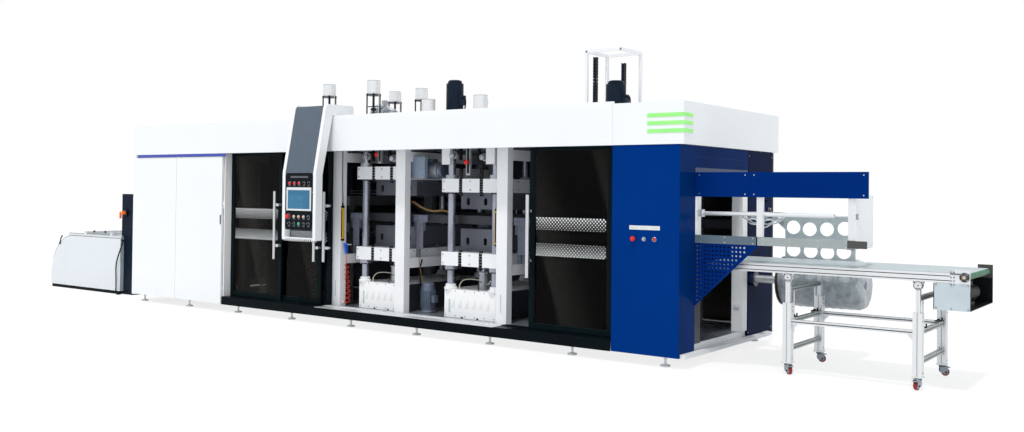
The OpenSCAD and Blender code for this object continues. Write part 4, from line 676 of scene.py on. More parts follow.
LOOKS = {
    "white": dict(kind="paint", colour=(0.885, 0.90, 0.91), rough=0.34, shade=0.015, dust=0.08,
    bump=0.06),
    "machine white": dict(kind="paint", colour=(0.87, 0.88, 0.895), rough=0.42, shade=0.04,
    dust=0.15, bump=0.10),
    "blue": dict(kind="paint", colour=(0.0003, 0.033, 0.208), rough=0.07, shade=0.06, dust=0.01,
    bump=0.02,
                 soil=(0.01, 0.06, 0.25), gloss=0.010),
    "beam blue": dict(kind="paint", colour=(0.0004, 0.024, 0.170), rough=0.07, shade=0.06,
    dust=0.01, bump=0.02,
                      gloss=0.010),
    # darker copy of the blue for the end wall's face, which gets less light: painted shade
    "end wall painted shade blue": dict(kind="paint", colour=(0.0008, 0.029, 0.155), rough=0.07, shade=0.35, dust=0.01,
    bump=0.02),
    # much darker copy of the blue for the far part of the end wall: painted shade
    "far side painted shade blue": dict(kind="paint", colour=(0.0012, 0.010, 0.055), rough=0.07, shade=0.5, dust=0.01,
    bump=0.02),
    "black": dict(kind="paint", colour=(0.003, 0.006, 0.008), rough=0.30, shade=0.2, dust=0.01,
    bump=0.10,
                  soil=(0.03, 0.03, 0.03), edge=(0.02, 0.025, 0.03), gloss=0.035),
    "navy": dict(kind="paint", colour=(0.007, 0.015, 0.030), rough=0.34, shade=0.12, dust=0.03,
    bump=0.10,
                 edge=(0.04, 0.05, 0.07), gloss=0.10),
    "leaf frame": dict(kind="brushed", colour=(0.002, 0.009, 0.012), rough=0.38, shade=0.25,
    along="Z", bump=0.08,
                       gloss=0.045),
    "shaded white": dict(kind="paint", colour=(0.30, 0.31, 0.35), rough=0.45, shade=0.15, dust=0.1,
    bump=0.1,
                         gloss=0.2),
    "rail grey": dict(kind="paint", colour=(0.12, 0.17, 0.21), rough=0.35, shade=0.12, dust=0.03,
    bump=0.08),
    # near black in place of the white paint on faces inside the cabinet: painted shade
    "painted shade wall": dict(kind="paint", colour=(0.040, 0.043, 0.058), rough=0.55, shade=0.3, dust=0.1,
    bump=0.1,
                       gloss=0.12),
    "dark rail": dict(kind="brushed", colour=(0.060, 0.063, 0.075), rough=0.36, metal=0.5,
    shade=0.35, along="X",
                      bump=0.1, gloss=0.2),
    "mould grey": dict(kind="brushed", colour=(0.17, 0.18, 0.22), rough=0.42, metal=0.3, shade=0.30,
    along="Y",
                       grain=420, bump=0.15, gloss=0.25),
    "grey": dict(kind="paint", colour=(0.16, 0.21, 0.27), rough=0.40, shade=0.12, dust=0.15,
    bump=0.2,
                 edge=(0.35, 0.38, 0.42)),
    "silver": dict(kind="cast", colour=(0.46, 0.49, 0.53), rough=0.42, metal=0.6, shade=0.35,
    bump=0.3),
    "motor blue": dict(kind="cast", colour=(0.03, 0.09, 0.24), rough=0.40, shade=0.25, bump=0.3),
    "tool steel": dict(kind="brushed", colour=(0.42, 0.43, 0.46), rough=0.40, metal=0.9, shade=0.30,
    along="Y",
                       grain=420, bump=0.15),
    "column steel": dict(kind="turned", colour=(0.36, 0.38, 0.45), rough=0.26, metal=0.85,
    shade=0.30, bump=0.1),
    "chrome": dict(kind="turned", colour=(0.60, 0.62, 0.66), rough=0.20, metal=1.0, shade=0.25,
    bump=0.1),
    "aluminium": dict(kind="brushed", colour=(0.83, 0.85, 0.87), rough=0.40, metal=0.75, shade=0.10,
    along="X",
                      bump=0.08),
    "aluminium upright": dict(kind="brushed", colour=(0.83, 0.85, 0.87), rough=0.40, metal=0.75,
    shade=0.10,
                              along="Z", bump=0.08),
    "aluminium across": dict(kind="brushed", colour=(0.83, 0.85, 0.87), rough=0.40, metal=0.75,
    shade=0.10,
                             along="Y", bump=0.08),
    "handle steel": dict(kind="brushed", colour=(0.66, 0.68, 0.70), rough=0.32, metal=0.9,
    shade=0.12, along="Z"),
    "zinc sheet": dict(kind="cast", colour=(0.56, 0.64, 0.68), rough=0.36, metal=0.35, shade=0.08,
    bump=0.05),
    "moulded black": dict(kind="moulded", colour=(0.006, 0.007, 0.009), rough=0.40, shade=0.3,
    bump=0.12, gloss=0.14),
    "cover grey": dict(kind="moulded", colour=(0.090, 0.120, 0.155), rough=0.50, shade=0.08,
    bump=0.15),
    "red": dict(kind="moulded", colour=(0.72, 0.022, 0.018), rough=0.28, shade=0.2, bump=0.05),
    "orange": dict(kind="moulded", colour=(0.95, 0.16, 0.008), rough=0.30, shade=0.12, bump=0.05),
    "rubber": dict(kind="moulded", colour=(0.007, 0.008, 0.009), rough=0.60, shade=0.3, bump=0.3,
    gloss=0.12),
    "hose red": dict(kind="moulded", colour=(0.78, 0.05, 0.025), rough=0.26, shade=0.12, bump=0.04),
    "gun blue": dict(kind="moulded", colour=(0.012, 0.10, 0.60), rough=0.30, shade=0.15, bump=0.05),
    "belt": dict(kind="moulded", colour=(0.43, 0.50, 0.52), rough=0.46, shade=0.10, bump=0.25),
    "belt green": dict(kind="moulded", colour=(0.008, 0.13, 0.06), rough=0.45, shade=0.2, bump=0.3),
    "wheel red": dict(kind="moulded", colour=(0.34, 0.012, 0.014), rough=0.38, shade=0.25,
    bump=0.1),
    "warm lamp": dict(kind="moulded", colour=(0.85, 0.80, 0.60), rough=0.3, shade=0.1, bump=0.03),
    "green lamp": dict(kind="moulded", colour=(0.02, 0.55, 0.28), rough=0.25, shade=0.1, bump=0.03),
    "tread": dict(kind="cast", colour=(0.42, 0.46, 0.50), rough=0.34, metal=0.8, shade=0.3,
    bump=0.2),
    "label": dict(kind="moulded", colour=(0.72, 0.72, 0.68), rough=0.4, shade=0.08, bump=0.05),
    "yellow": dict(kind="paint", colour=(0.80, 0.47, 0.02), rough=0.5, shade=0.15, dust=0.1,
    bump=0.05),
    "hot tile": dict(kind="cast", colour=(0.30, 0.27, 0.24), rough=0.7, shade=0.3, bump=0.5),
    "white vinyl": dict(kind="moulded", colour=(0.93, 0.95, 0.96), rough=0.36, shade=0.03,
    bump=0.04),
    "panel black": dict(kind="moulded", colour=(0.002, 0.005, 0.008), rough=0.30, shade=0.2,
    bump=0.06, gloss=0.08),
    "bezel silver": dict(kind="brushed", colour=(0.80, 0.83, 0.85), rough=0.34, metal=0.35,
    shade=0.08, along="X",
                         bump=0.05),
    "plate grey": dict(kind="moulded", colour=(0.10, 0.115, 0.13), rough=0.40, shade=0.15,
    bump=0.04),
    "lamp red": dict(kind="moulded", colour=(0.85, 0.012, 0.022), rough=0.22, shade=0.15,
    bump=0.03),
    # brighter copy of the white for faces set back inside the cabinet that get less light: painted
    # light
    "painted light white": dict(kind="paint", colour=(0.95, 0.95, 0.95), rough=0.4, shade=0.02, dust=0.1,
    bump=0.08),
    "soft white": dict(kind="paint", colour=(0.76, 0.79, 0.82), rough=0.38, shade=0.03, dust=0.1,
    bump=0.06),
    # grey of the caster forks and hubs; on the unwinder's white end face it is painted shade
    "fork grey and painted end shade": dict(kind="paint", colour=(0.36, 0.42, 0.47), rough=0.4, shade=0.1, dust=0.1,
    bump=0.08),
    # grey metal of rails and slot covers; on the conveyor's cross members a darker copy of the
    # aluminium: painted shade
    "grey alloy and painted shade": dict(kind="brushed", colour=(0.44, 0.49, 0.49), rough=0.34, metal=0.5, shade=0.35,
    along="X", bump=0.1),
    # near-black metal of bearings, discs and slot strips; on the rail's end and inside the conveyor
    # box it is painted shade
    "dark metal and painted shade": dict(kind="brushed", colour=(0.10, 0.10, 0.10), rough=0.4, metal=0.5, shade=0.3,
    along="Y", bump=0.1),
    "scrap mist": dict(kind="moulded", colour=(0.50, 0.55, 0.58), rough=0.30, shade=0.45, bump=0.5),
    "gear grey": dict(kind="cast", colour=(0.13, 0.165, 0.23), rough=0.42, metal=0.3, shade=0.35,
    bump=0.3),
    # slightly darker white of the shadow streaks on the press bases: painted shadow
    "soft shade": dict(kind="paint", colour=(0.84, 0.84, 0.82), rough=0.45, shade=0.05, dust=0.1,
    bump=0.1),
    "tube pale": dict(kind="moulded", colour=(0.62, 0.62, 0.50), rough=0.35, shade=0.2, bump=0.05),
    "tube amber": dict(kind="moulded", colour=(0.22, 0.13, 0.045), rough=0.40, shade=0.4, bump=0.2),
    "deep shade": dict(kind="paint", colour=(0.010, 0.009, 0.0075), rough=0.6, shade=0.3, dust=0.01,
    bump=0.1,
                       gloss=0.05),
    "tee grey": dict(kind="paint", colour=(0.25, 0.27, 0.36), rough=0.42, shade=0.15, dust=0.05,
    bump=0.1),
    "guard grey": dict(kind="paint", colour=(0.27, 0.34, 0.43), rough=0.40, shade=0.12, dust=0.02,
    bump=0.1),
    "brass": dict(kind="turned", colour=(0.58, 0.40, 0.14), rough=0.3, metal=1.0, shade=0.2,
    bump=0.05),
}


# the record's slot that a look belongs to, unless a piece says another
SLOTS = {look: slot for slot, looks in (
    ("aluminium", ("aluminium", "aluminium upright", "bezel silver", "silver")),
    ("black_plastic", ("moulded black", "panel black", "dark metal and painted shade")),
    ("black_rubber", ("rubber",)),
    ("blue_gloss", ("end wall painted shade blue",)),
    ("brushed", ("brass",)),
    ("chromed", ("chrome", "column steel", "handle steel", "tool steel")),
    ("dark_paint", ("black", "leaf frame", "navy")),
    ("film_clear", ("scrap mist", "soft white")),
    ("green_light", ("green lamp",)),
    ("grey_paint", ("cover grey", "fork grey and painted end shade", "gear grey", "grey", "guard grey", "label",
    "motor blue", "plate grey", "grey alloy and painted shade", "tee grey", "zinc sheet")),
    ("hose_red", ("hose red",)),
    ("orange_plastic", ("yellow",)),
    ("red_plastic", ("lamp red", "red")),
    ("white_paint", ("machine white", "soft shade", "tube pale", "warm lamp", "white",
    "white vinyl")),
) for look in looks}


def coat(name, zones=()):
    """The material of a look, made once for each use with its zones."""
    title = name.replace(" ", "_")
    if not zones:
        found = bpy.data.materials.get("look_" + title)
        if found:
            return found
        return Coat("look_" + title).finish(LOOKS[name], ())
    made = Coat("look_" + title + f"_{len(bpy.data.materials)}")
    return made.finish(LOOKS[name], [(inside, LOOKS[look]) for inside, look in zones])


def dress(node, look, zones=()):
    """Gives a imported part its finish, in every slot of its object."""
    material = coat(look, zones) if isinstance(look, str) else look
    for slot in NODES[node].material_slots:
        slot.material = material
    if not NODES[node].material_slots:
        NODES[node].data.materials.append(material)


def smoked_glass():
    """Dark smoked pane, with a faint haze of handling marks and painted diagonal reflection streaks.
    """
    made = Coat("smoked_glass")
    tint = bpy.context.scene.line_finishes.glass_tint
    haze = made.noise(6, 5, rough=0.65)
    made.feed(made.mix(haze, (*tint, 1), (*[c * 0.8 for c in tint], 1)),
        made.shader.inputs["Base Color"])
    # diagonal bands that let less light through and show more of the tint: painted reflection streaks
    slant = made.sum("ADD", made.sum("MULTIPLY", made.axis("X"), 1.66),
        made.sum("MULTIPLY", made.axis("Z"), 0.53))
    reflection_band = made.sum("FRACT", made.sum("MULTIPLY", slant, 0.62))
    painted_reflection = made.sum("MULTIPLY", made.between(reflection_band, 0.42, 0.47), made.between(reflection_band, 0.93, 0.5))
    made.feed(made.between(painted_reflection, 0, 1, 1.0, 0.90), made.shader.inputs["Transmission Weight"])
    made.shader.inputs["Roughness"].default_value = 0.0
    made.shader.inputs["IOR"].default_value = 1.13
    made.shader.inputs["Specular IOR Level"].default_value = 0.08
    return made.material


def clear_film(name, colour, alpha):
    """Thin clear sheet with soft creases."""
    made = Coat(name)
    folds = made.noise(14, 5, (1, 1, 0.5), 0.6, 0.7)
    made.feed(made.mix(folds, (*colour, 1), (*[c * 0.72 for c in colour], 1)),
        made.shader.inputs["Base Color"])
    made.feed(made.between(folds, 0.3, 0.7, 0.10, 0.32), made.shader.inputs["Roughness"])
    bump = made.node("ShaderNodeBump")
    bump.inputs["Strength"].default_value = 0.5
    bump.inputs["Distance"].default_value = 0.004
    made.feed(folds, bump.inputs["Height"])
    made.feed(bump.outputs[0], made.shader.inputs["Normal"])
    made.shader.inputs["Alpha"].default_value = alpha
    return made.material


def screen_glass():
    """Lit screen: a blue field with plain bars and fields of a running page."""
    made = Coat("screen_page")
    low, high = extent("pendant_face")
    middle = (low.x + high.x) / 2
    foot = SCREEN_Z
    tone = (0.046, 0.165, 0.285, 1.0)
    fields = [(-196, 196, 208, 230, (0.040, 0.150, 0.265)),
        (-190, -60, 120, 190, (0.052, 0.180, 0.305)),
              (-48, 80, 120, 190, (0.052, 0.180, 0.305)), (92, 190, 30, 190, (0.042, 0.155, 0.272)),
              (-190, 80, 30, 106, (0.050, 0.174, 0.298))]
    base = made.mix(made.noise(9, 2), tone, (0.041, 0.150, 0.262, 1.0))
    for x0, x1, z0, z1, shade in fields:
        inside = made.zone((middle + x0, -2000, foot + z0), (middle + x1, 2000, foot + z1))
        base = made.mix(inside, base, (*shade, 1.0))
    made.feed(base, made.shader.inputs["Base Color"])
    made.feed(base, made.shader.inputs["Emission Color"])
    made.shader.inputs["Emission Strength"].default_value = 0.12
    made.shader.inputs["Roughness"].default_value = 0.12
    made.shader.inputs["Specular IOR Level"].default_value = 0.10
    return made.material


# ------------------------------------------------------------- line's levels

SCREEN_Z = 1430.0
END_X = 9085.0
POSTS = (2140.0, 4020.0, 5120.0, 6670.0, 8170.0)
POST_W = 150.0
PRESS_X = (4390.0, 5808.0)
PRESS_W = 767.0
PLATEN_T = 160.0
UPPER_Z = (1832.0, 1682.0)
LOWER_Z = 815.0
FILM_Z = 1375.0
ROOF_Z = 2566.4
CANS = ((3690, 500, 360, 150), (4500, 500, 350, 170), (5430, 500, 76, 160), (6240, 500, 76, 175),
        (3940, 1500, 350, 140), (4430, 1500, 360, 150), (6370, 620, 0, 90), (6800, 620, 0, 90))


class LineFinishes(PropertyGroup):
    """Colours of the line's own finishes."""

    green: FloatVectorProperty(
        name="Strip green", description="Colour of the three strips at the corner",
        subtype="COLOR", size=3, min=0, max=1, default=(0.26, 0.72, 0.18))
    violet: FloatVectorProperty(
        name="Strip violet", description="Colour of the strip over the closed doors",
        subtype="COLOR", size=3, min=0, max=1, default=(0.025, 0.045, 0.33))
    glass_tint: FloatVectorProperty(
        name="Glass tint", description="Colour that the smoked panes let through",
        subtype="COLOR", size=3, min=0, max=1, default=(0.135, 0.130, 0.118))


class LineSizes(PropertyGroup):
    """Sizes of the line's fittings."""

    dot_pitch: FloatProperty(
        name="Dot pitch", description="Distance between the dots on the panes",
        unit="LENGTH", min=0.02, max=0.06, default=0.040)
    dot_large: FloatProperty(
        name="Largest dot", description="Width of the dots in the outer row",
        unit="LENGTH", min=0.008, max=0.04, default=0.0200)
    dot_small: FloatProperty(
        name="Smallest dot", description="Width of the dots in the inner row",
        unit="LENGTH", min=0.004, max=0.02, default=0.010)
    dot_rows: IntProperty(
        name="Dot rows", description="Rows in each band of dots", min=2, max=16, default=7)
    tread_pitch: FloatProperty(
        name="Tread pitch", description="Distance between the lozenges of the floor plates",
        unit="LENGTH", min=0.02, max=0.1, default=0.05)


class LineStage(PropertyGroup):
    """Camera and light."""

    lens: FloatProperty(
        name="Lens", description="Focal length of the camera, in millimetres",
        subtype="DISTANCE_CAMERA", min=18, max=120, default=35.06)
    azimuth: FloatProperty(
        name="Camera turn", description="Turn of the view to the left of straight ahead",
        subtype="ANGLE", default=math.radians(36.326))
    sky: FloatProperty(
        name="Sky", description="Strength of the even light from all round", min=0, max=3,
        default=0.82)
    sun: FloatProperty(
        name="Key light", description="Strength of the soft light from above the front",
        min=0, max=10, default=1.75)


def make_camera(settings):
    """The camera at its place, with its slight roll and rise."""
    turn, rise, roll = settings.azimuth, math.radians(0.764), math.radians(0.629)
    ahead = Vector((-math.sin(turn) * math.cos(rise), math.cos(turn) * math.cos(rise),
        math.sin(rise)))
    right = Vector((math.cos(turn), math.sin(turn), 0.0))
    up = right.cross(ahead)
    across = right * math.cos(roll) + up * math.sin(roll)
    rising = -right * math.sin(roll) + up * math.cos(roll)
    data = bpy.data.cameras.new("Camera")
    data.lens = settings.lens
    data.sensor_width = 36
    data.shift_y = -0.0381
    data.clip_end = 500
    camera = bpy.data.objects.new("Camera", data)
    bpy.context.scene.collection.objects.link(camera)
    place = Matrix((across, rising, -ahead)).transposed().to_4x4()
    place.translation = Vector((9.129, -9.758, 1.713))
    camera.matrix_world = place
    bpy.context.scene.camera = camera


def make_floor():
    """A wide pale floor that keeps the line's shadow."""
    mesh = bpy.data.meshes.new("floor")
    mesh.from_pydata([(-90, -90, -0.001), (90, -90, -0.001), (90, 90, -0.001), (-90, 90, -0.001)],
        [], [(0, 1, 2, 3)])
    floor = bpy.data.objects.new("floor", mesh)
    bpy.context.scene.collection.objects.link(floor)
    look = Coat("pale_floor")
    tree_, shader = look.tree, look.shader
    shader.inputs["Base Color"].default_value = (0.80, 0.81, 0.82, 1)
    shader.inputs["Roughness"].default_value = 0.8
    shader.inputs["Specular IOR Level"].default_value = 0.1
    path = look.node("ShaderNodeLightPath")
    seen = look.sum("MAXIMUM", path.outputs["Is Camera Ray"], look.sum(
        "MAXIMUM", path.outputs["Is Glossy Ray"], path.outputs["Is Transmission Ray"]))
    bright = look.node("ShaderNodeEmission")
    bright.inputs["Strength"].default_value = 1.0
    pale = look.node("ShaderNodeMixShader")
    pale.inputs[0].default_value = 0.80
    faint = look.node("ShaderNodeBsdfDiffuse")
    faint.inputs["Color"].default_value = (1, 1, 1, 1)
    tree_.links.new(faint.outputs[0], pale.inputs[1])
    tree_.links.new(bright.outputs[0], pale.inputs[2])
    out = look.node("ShaderNodeMixShader")
    look.feed(seen, out.inputs[0])
    tree_.links.new(shader.outputs[0], out.inputs[1])
    tree_.links.new(pale.outputs[0], out.inputs[2])
    tree_.links.new(out.outputs[0], tree_.nodes["Material Output"].inputs["Surface"])
    mesh.materials.append(look.material)


def make_sky(settings):
    """Even light all round, and white where it is looked at."""
    world = bpy.data.worlds.new("studio")
    bpy.context.scene.world = world
    world.use_nodes = True
    nodes, links = world.node_tree.nodes, world.node_tree.links
    back = nodes["Background"]
    back.inputs["Color"].default_value = (0.93, 0.965, 1.0, 1)
    back.inputs["Strength"].default_value = settings.sky
    path = nodes.new("ShaderNodeLightPath")
    widest = None
    for key in ("Is Camera Ray", "Is Glossy Ray", "Is Transmission Ray"):
        if widest is None:
            widest = path.outputs[key]
            continue
        larger = nodes.new("ShaderNodeMath")
        larger.operation = "MAXIMUM"
        links.new(widest, larger.inputs[0])
        links.new(path.outputs[key], larger.inputs[1])
        widest = larger.outputs[0]
    white = nodes.new("ShaderNodeBackground")
    white.inputs["Color"].default_value = (1, 1, 1, 1)
    mix = nodes.new("ShaderNodeMixShader")
    links.new(widest, mix.inputs[0])
    links.new(back.outputs[0], mix.inputs[1])
    links.new(white.outputs[0], mix.inputs[2])
    links.new(mix.outputs[0], nodes["World Output"].inputs["Surface"])


class LINE_OT_stage(Operator):
    """Sets up the camera, the pale floor and the soft light"""

    bl_idname = "line.stage"
    bl_label = "Stage"

    def execute(self, context):
        settings = context.scene.line_stage
        context.scene.view_settings.view_transform = "Standard"
        make_camera(settings)
        make_floor()
        make_sky(settings)
        lamp = bpy.data.lights.new("key", "SUN")
        lamp.energy = settings.sun
        lamp.angle = math.radians(5)
        lamp.color = (1.0, 0.985, 0.96)
        key = bpy.data.objects.new("key", lamp)
        context.scene.collection.objects.link(key)
        key.rotation_euler = Vector((-0.11, 0.36, -0.93)).to_track_quat("-Z", "Y").to_euler()
        return {"FINISHED"}


# -------------------------------------------------------------------- cords

CABLE_ROUTE = (
    (-838, 380, 850), (-826, 380, 850), (-812, 373, 842), (-806, 360, 820), (-808, 345, 780),
    (-816, 334, 730), (-832, 326, 680), (-855, 320, 620), (-880, 317, 560), (-900, 316, 500),
    (-910, 315, 440), (-912, 315, 380), (-908, 315, 300), (-904, 315, 220), (-900, 313, 140),
    (-892, 308, 70), (-872, 300, 28), (-842, 294, 12), (-806, 296, 11), (-774, 310, 16),
    (-752, 334, 32), (-742, 362, 52), (-740, 385, 60), (-740, 399, 60))
HOSE_ROUTE = (
    (4233, 320, 864), (4233, 320, 840), (4235, 319, 790), (4238, 318, 740), (4242, 317, 690),
    (4246, 316, 640), (4250, 316, 590), (4255, 316, 540), (4260, 317, 490), (4264, 318, 440),
    (4266, 319, 390), (4266, 320, 345), (4262, 320, 305), (4250, 320, 276), (4232, 320, 262),
    (4214, 320, 260), (4200, 320, 260))


def spring_run(route, radius, turns, straight):
    """Points of a hose that leaves straight and then lies in equal turns along a route."""
    line = [Vector(p) for p in eased(route, 12)]
    reach = [0.0]
    for a, b in zip(line, line[1:]):
        reach.append(reach[-1] + (b - a).length)
    made = []
    side = Vector((1, 0, 0))
    before = 14
    steps = before + turns * 20
    for k in range(steps + 1):
        wound = max(0.0, (k - before) / (steps - before))
        share = straight * k / before if k < before else straight + (1 - straight) * wound
        along = share * reach[-1]
        j = max(1, min(next((i for i, r in enumerate(reach) if r >= along), len(line) - 1),
            len(line) - 1))
        part = (along - reach[j - 1]) / max(reach[j] - reach[j - 1], 1e-6)
        middle = line[j - 1].lerp(line[j], part)
        ahead = (line[j] - line[j - 1]).normalized()
        side = (side - ahead * side.dot(ahead)).normalized()
        other = ahead.cross(side)
        ramp = min(1.0, wound * 10, (1 - wound) * 12)
        wide = radius * math.sin(ramp * math.pi / 2)
        angle = math.tau * turns * wound
        made.append(middle + side * wide * math.cos(angle) + other * wide * math.sin(angle))
    return made


class LINE_OT_cords(Operator):
    """Lays the unwinder's cable and the blow gun's coiled hose"""

    bl_idname = "line.cords"
    bl_label = "Cable and air hose"

    def execute(self, context):
        run = [at(*p) for p in eased(CABLE_ROUTE, 6)]
        made = grown("unwinder_cable", line_curve("cable", run), hose_pattern,
                     {"Radius": 0.010, "Sides": 16, "Finish": coat("rubber")})
        cable = finished("unwinder_cable", made, "rubber", angle=50)
        sleeves = Shape()
        sleeves.lathe((-838, 380, 850), RIGHT,
            [(10.2, -2), (14.5, -2), (14.5, 6), (12, 8), (11.2, 28), (10.2, 28)])
        sleeves.lathe((-740, 399, 60), FRONT, [(10.2, -2), (14.5, -2), (14.5, 6), (12, 8),
            (11.2, 26), (10.2, 26)])
        reliefs = sleeves.piece("cable_sleeves", "rubber")
        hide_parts("power_cable")
        coil = [at(*p) for p in spring_run(HOSE_ROUTE, 29, 9, 0.16)]
        made = grown("air_coil", line_curve("coil", coil), hose_pattern,
                     {"Radius": 0.004, "Sides": 10, "Finish": coat("hose red")})
        spring = finished("air_coil", made, "hose red", angle=60)
        ends = Shape()
        ends.lathe((4233, 320, 864), DOWN, [(4.1, -1), (8, -1), (8, 12), (6, 16), (4.1, 16)])
        ends.lathe((4200, 320, 260), RIGHT, [(4.1, -1), (9, -1), (9, 12), (6, 16), (4.1, 16)])
        swivels = ends.piece("hose_swivels", "brass")
        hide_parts("air_hose")
        return {"FINISHED"}


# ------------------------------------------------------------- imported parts


class LINE_OT_paint(Operator):
    """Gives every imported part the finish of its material"""

    bl_idname = "line.paint"
    bl_label = "Packed parts"

    def execute(self, context):
        dress("base_frame", "machine white", [
            (((-BIG, -BIG, 200.2), (BIG, BIG, 207)), "tread"),
            (((-BIG, -BIG, -10), (BIG, BIG, 99.7)), "white")])
        dress("front_plinth", "black", [
            (((POSTS[1] - 30, -BIG, 206.2), (POSTS[3] + 160, BIG, 240)), "aluminium"),
            (((-BIG, -BIG, 232), (BIG, BIG, 240)), "aluminium")])
        dress("frame_posts", "machine white", [
            # frame past the end wall in the darker far blue: painted shade
            (((END_X, -BIG, 0), (BIG, BIG, ABOVE)), "far side painted shade blue"),
            (((0, 1500, 0), (END_X - 130, BIG, ABOVE)), "shaded white"),
            # upper portal post in a brighter white: painted light
            (((END_X - 130, 300, 1212), (END_X + 1, 2000, ABOVE)), "painted light white"),
            # lower part of the portal post near black: painted shade
            (((END_X - 130, 300, 0), (END_X + 1, 490, 1212)), "painted shade wall")])
        for name in ("fascia_panels", "left_door_1", "pendant_shell"):
            dress(name, "white")
        dress("white_panels", "white", [
            # inner faces of the panels near black: painted shade
            (((32, 42, -BIG), (END_X, 2384.4, 2545)), "painted shade wall"),
            (((7600, 2200, -BIG), (END_X, 2384.4, 2545)), "deep shade"),
            # the closed section's side return in a brighter white: painted light
            (((2100, 30, 200), (2140, 300, 2180)), "painted light white")])
        low, high = extent("left_door_2")
        dress("left_door_2", "white", [
            (((high.x - 35, -BIG, 1199), (high.x - 11, 9.9, 1331)), "moulded black")])
        dress("corner_panels", "blue", [
            # the end wall's face in the darker end blue: painted shade
            (((END_X - 40, 10, 0), (END_X + 0.1, 1640, ABOVE)), "end wall painted shade blue"),
            # far part of the end wall in the darker far blue: painted shade
            (((END_X - 40, 1640, 0), (END_X + 0.1, BIG, ABOVE)), "far side painted shade blue"),
            (((END_X + 0.2, 2000, 1500), (BIG, BIG, 1700)), "moulded black")])
        dress("guard_panels", "beam blue")
        dress("cable_mast", "machine white")
        # fronts of the press bases in a brighter white: painted light
        sides = [(((x - 5, 390, 200), (x + PRESS_W - 5.3, 2020, 534)),
            "painted light white") for x in PRESS_X]
        # the +X sides of the presses near black: painted shade
        sides += [(((x + PRESS_W - 5.2, 300, 0), (x + PRESS_W + 1, 2100, 1000)),
            "painted shade wall") for x in PRESS_X]
        sides += [(((x - 30, 379, 2189), (x + PRESS_W + 30, 2100, 2400)),
            "shaded white") for x in PRESS_X]
        dress("press_frame", "machine white", sides)
        for i, x in enumerate(PRESS_X):
            for level, name, side in ((LOWER_Z, "lower", 1), (UPPER_Z[i], "upper", -1)):
                tool = ((0, 0, level + PLATEN_T + 0.2), (BIG, BIG, ABOVE)) if side > 0 else \
                    ((0, 0, 0), (BIG, BIG, level - 0.2))
                zones = [(tool, "mould grey")]
                if side > 0:
                    zones.append((((0, 0, 0), (BIG, BIG, level - 0.3)), "column steel"))
                else:
                    zones.append((((0, 0, level + PLATEN_T + 0.3), (BIG, BIG, ABOVE)), "silver"))
                dress(f"{('forming', 'cutting')[i]}_{name}_platen", "machine white", zones)
        zones = []
        for i, x in enumerate(PRESS_X):
            middle = x + PRESS_W / 2
            zones.append((((middle - 62, 500, 0), (middle + 62, 1900, 800)), "silver"))
            zones.append((((middle - 31, 0, 1800), (middle + 31, 385, 2400)), "silver"))
        dress("tie_columns", "column steel", zones)
        dress("transport_rails", "dark rail", [(((0, 0, 0), (BIG, BIG, FILM_Z - 70.2)), "grey")])
        dress("heater_bank", "tool steel", [
            (((2380, 0, FILM_Z - 210.8), (3880, BIG, FILM_Z + 199)), "hot tile")])
        dress("drive_motors", "silver", [
            (((6800, 0, 0), (7300, BIG, 700)), "motor blue"),
            (((5300, 0, 0), (5550, 700, 560)), "gear grey"),
            (((2200, 0, 0), (3200, BIG, 1200)), "grey"),
            (((5000, 0, 1800), (5302, BIG, 2400)), "machine white")])
        dress("roof_cylinders", "aluminium upright")
        dress("roof_motors", "navy")
        dress("guard_rails", "aluminium", [
            (((END_X, 0, 0), (9730.2, BIG, 1293)), "rail grey"),
            (((9730.2, 0, 0), (10650.2, 386.2, 1293)), "grey alloy and painted shade"),
            # the rail's end in near-black metal: painted shade
            (((10600, 386.2, 0), (10650.2, BIG, 1293)), "dark metal and painted shade"),
            (((END_X + 1565.2, 0, 0), (BIG, BIG, ABOVE)), "white")])
        bed = extent("conveyor_bed")
        box_top = 952.8
        dress("conveyor_bed", "aluminium", [
            (((bed[1].x - 291, 0, 0), (BIG, BIG, box_top)), "zinc sheet"),
            (((0, 0, 0), (bed[1].x - 292, BIG, 914)), "aluminium upright"),
            (((bed[1].x - 90, 0, 900), (BIG, 449.9, 1100)), "moulded black"),
            (((bed[1].x - 90, 1400.1, 900), (BIG, BIG, 1100)), "moulded black"),
            # far end plate's inner face and the motor box's inside in near-black: painted shade
            (((bed[1].x - 160, 1390, 860), (BIG, 1400.1, 1100)), "dark metal and painted shade"),
            (((bed[1].x - 286, 454, 700), (BIG, 1399, 953)), "dark metal and painted shade"),
            # upper cross rails in the darker rail metal: painted shade
            (((0, 513, 779), (bed[1].x - 292, 1337, 821)), "grey alloy and painted shade")])
        dress("conveyor_belt", "belt", [(((bed[1].x - 56, 0, 0), (BIG, BIG, 1037)), "belt green")])
        dress("drive_roller", "belt green", [
            (((0, 0, 0), (BIG, 491, 2000)), "chrome"),
            (((0, 1359, 0), (BIG, BIG, 2000)), "chrome")])
        dress("tail_roller", "aluminium across")
        dress("conveyor_motor", "black")
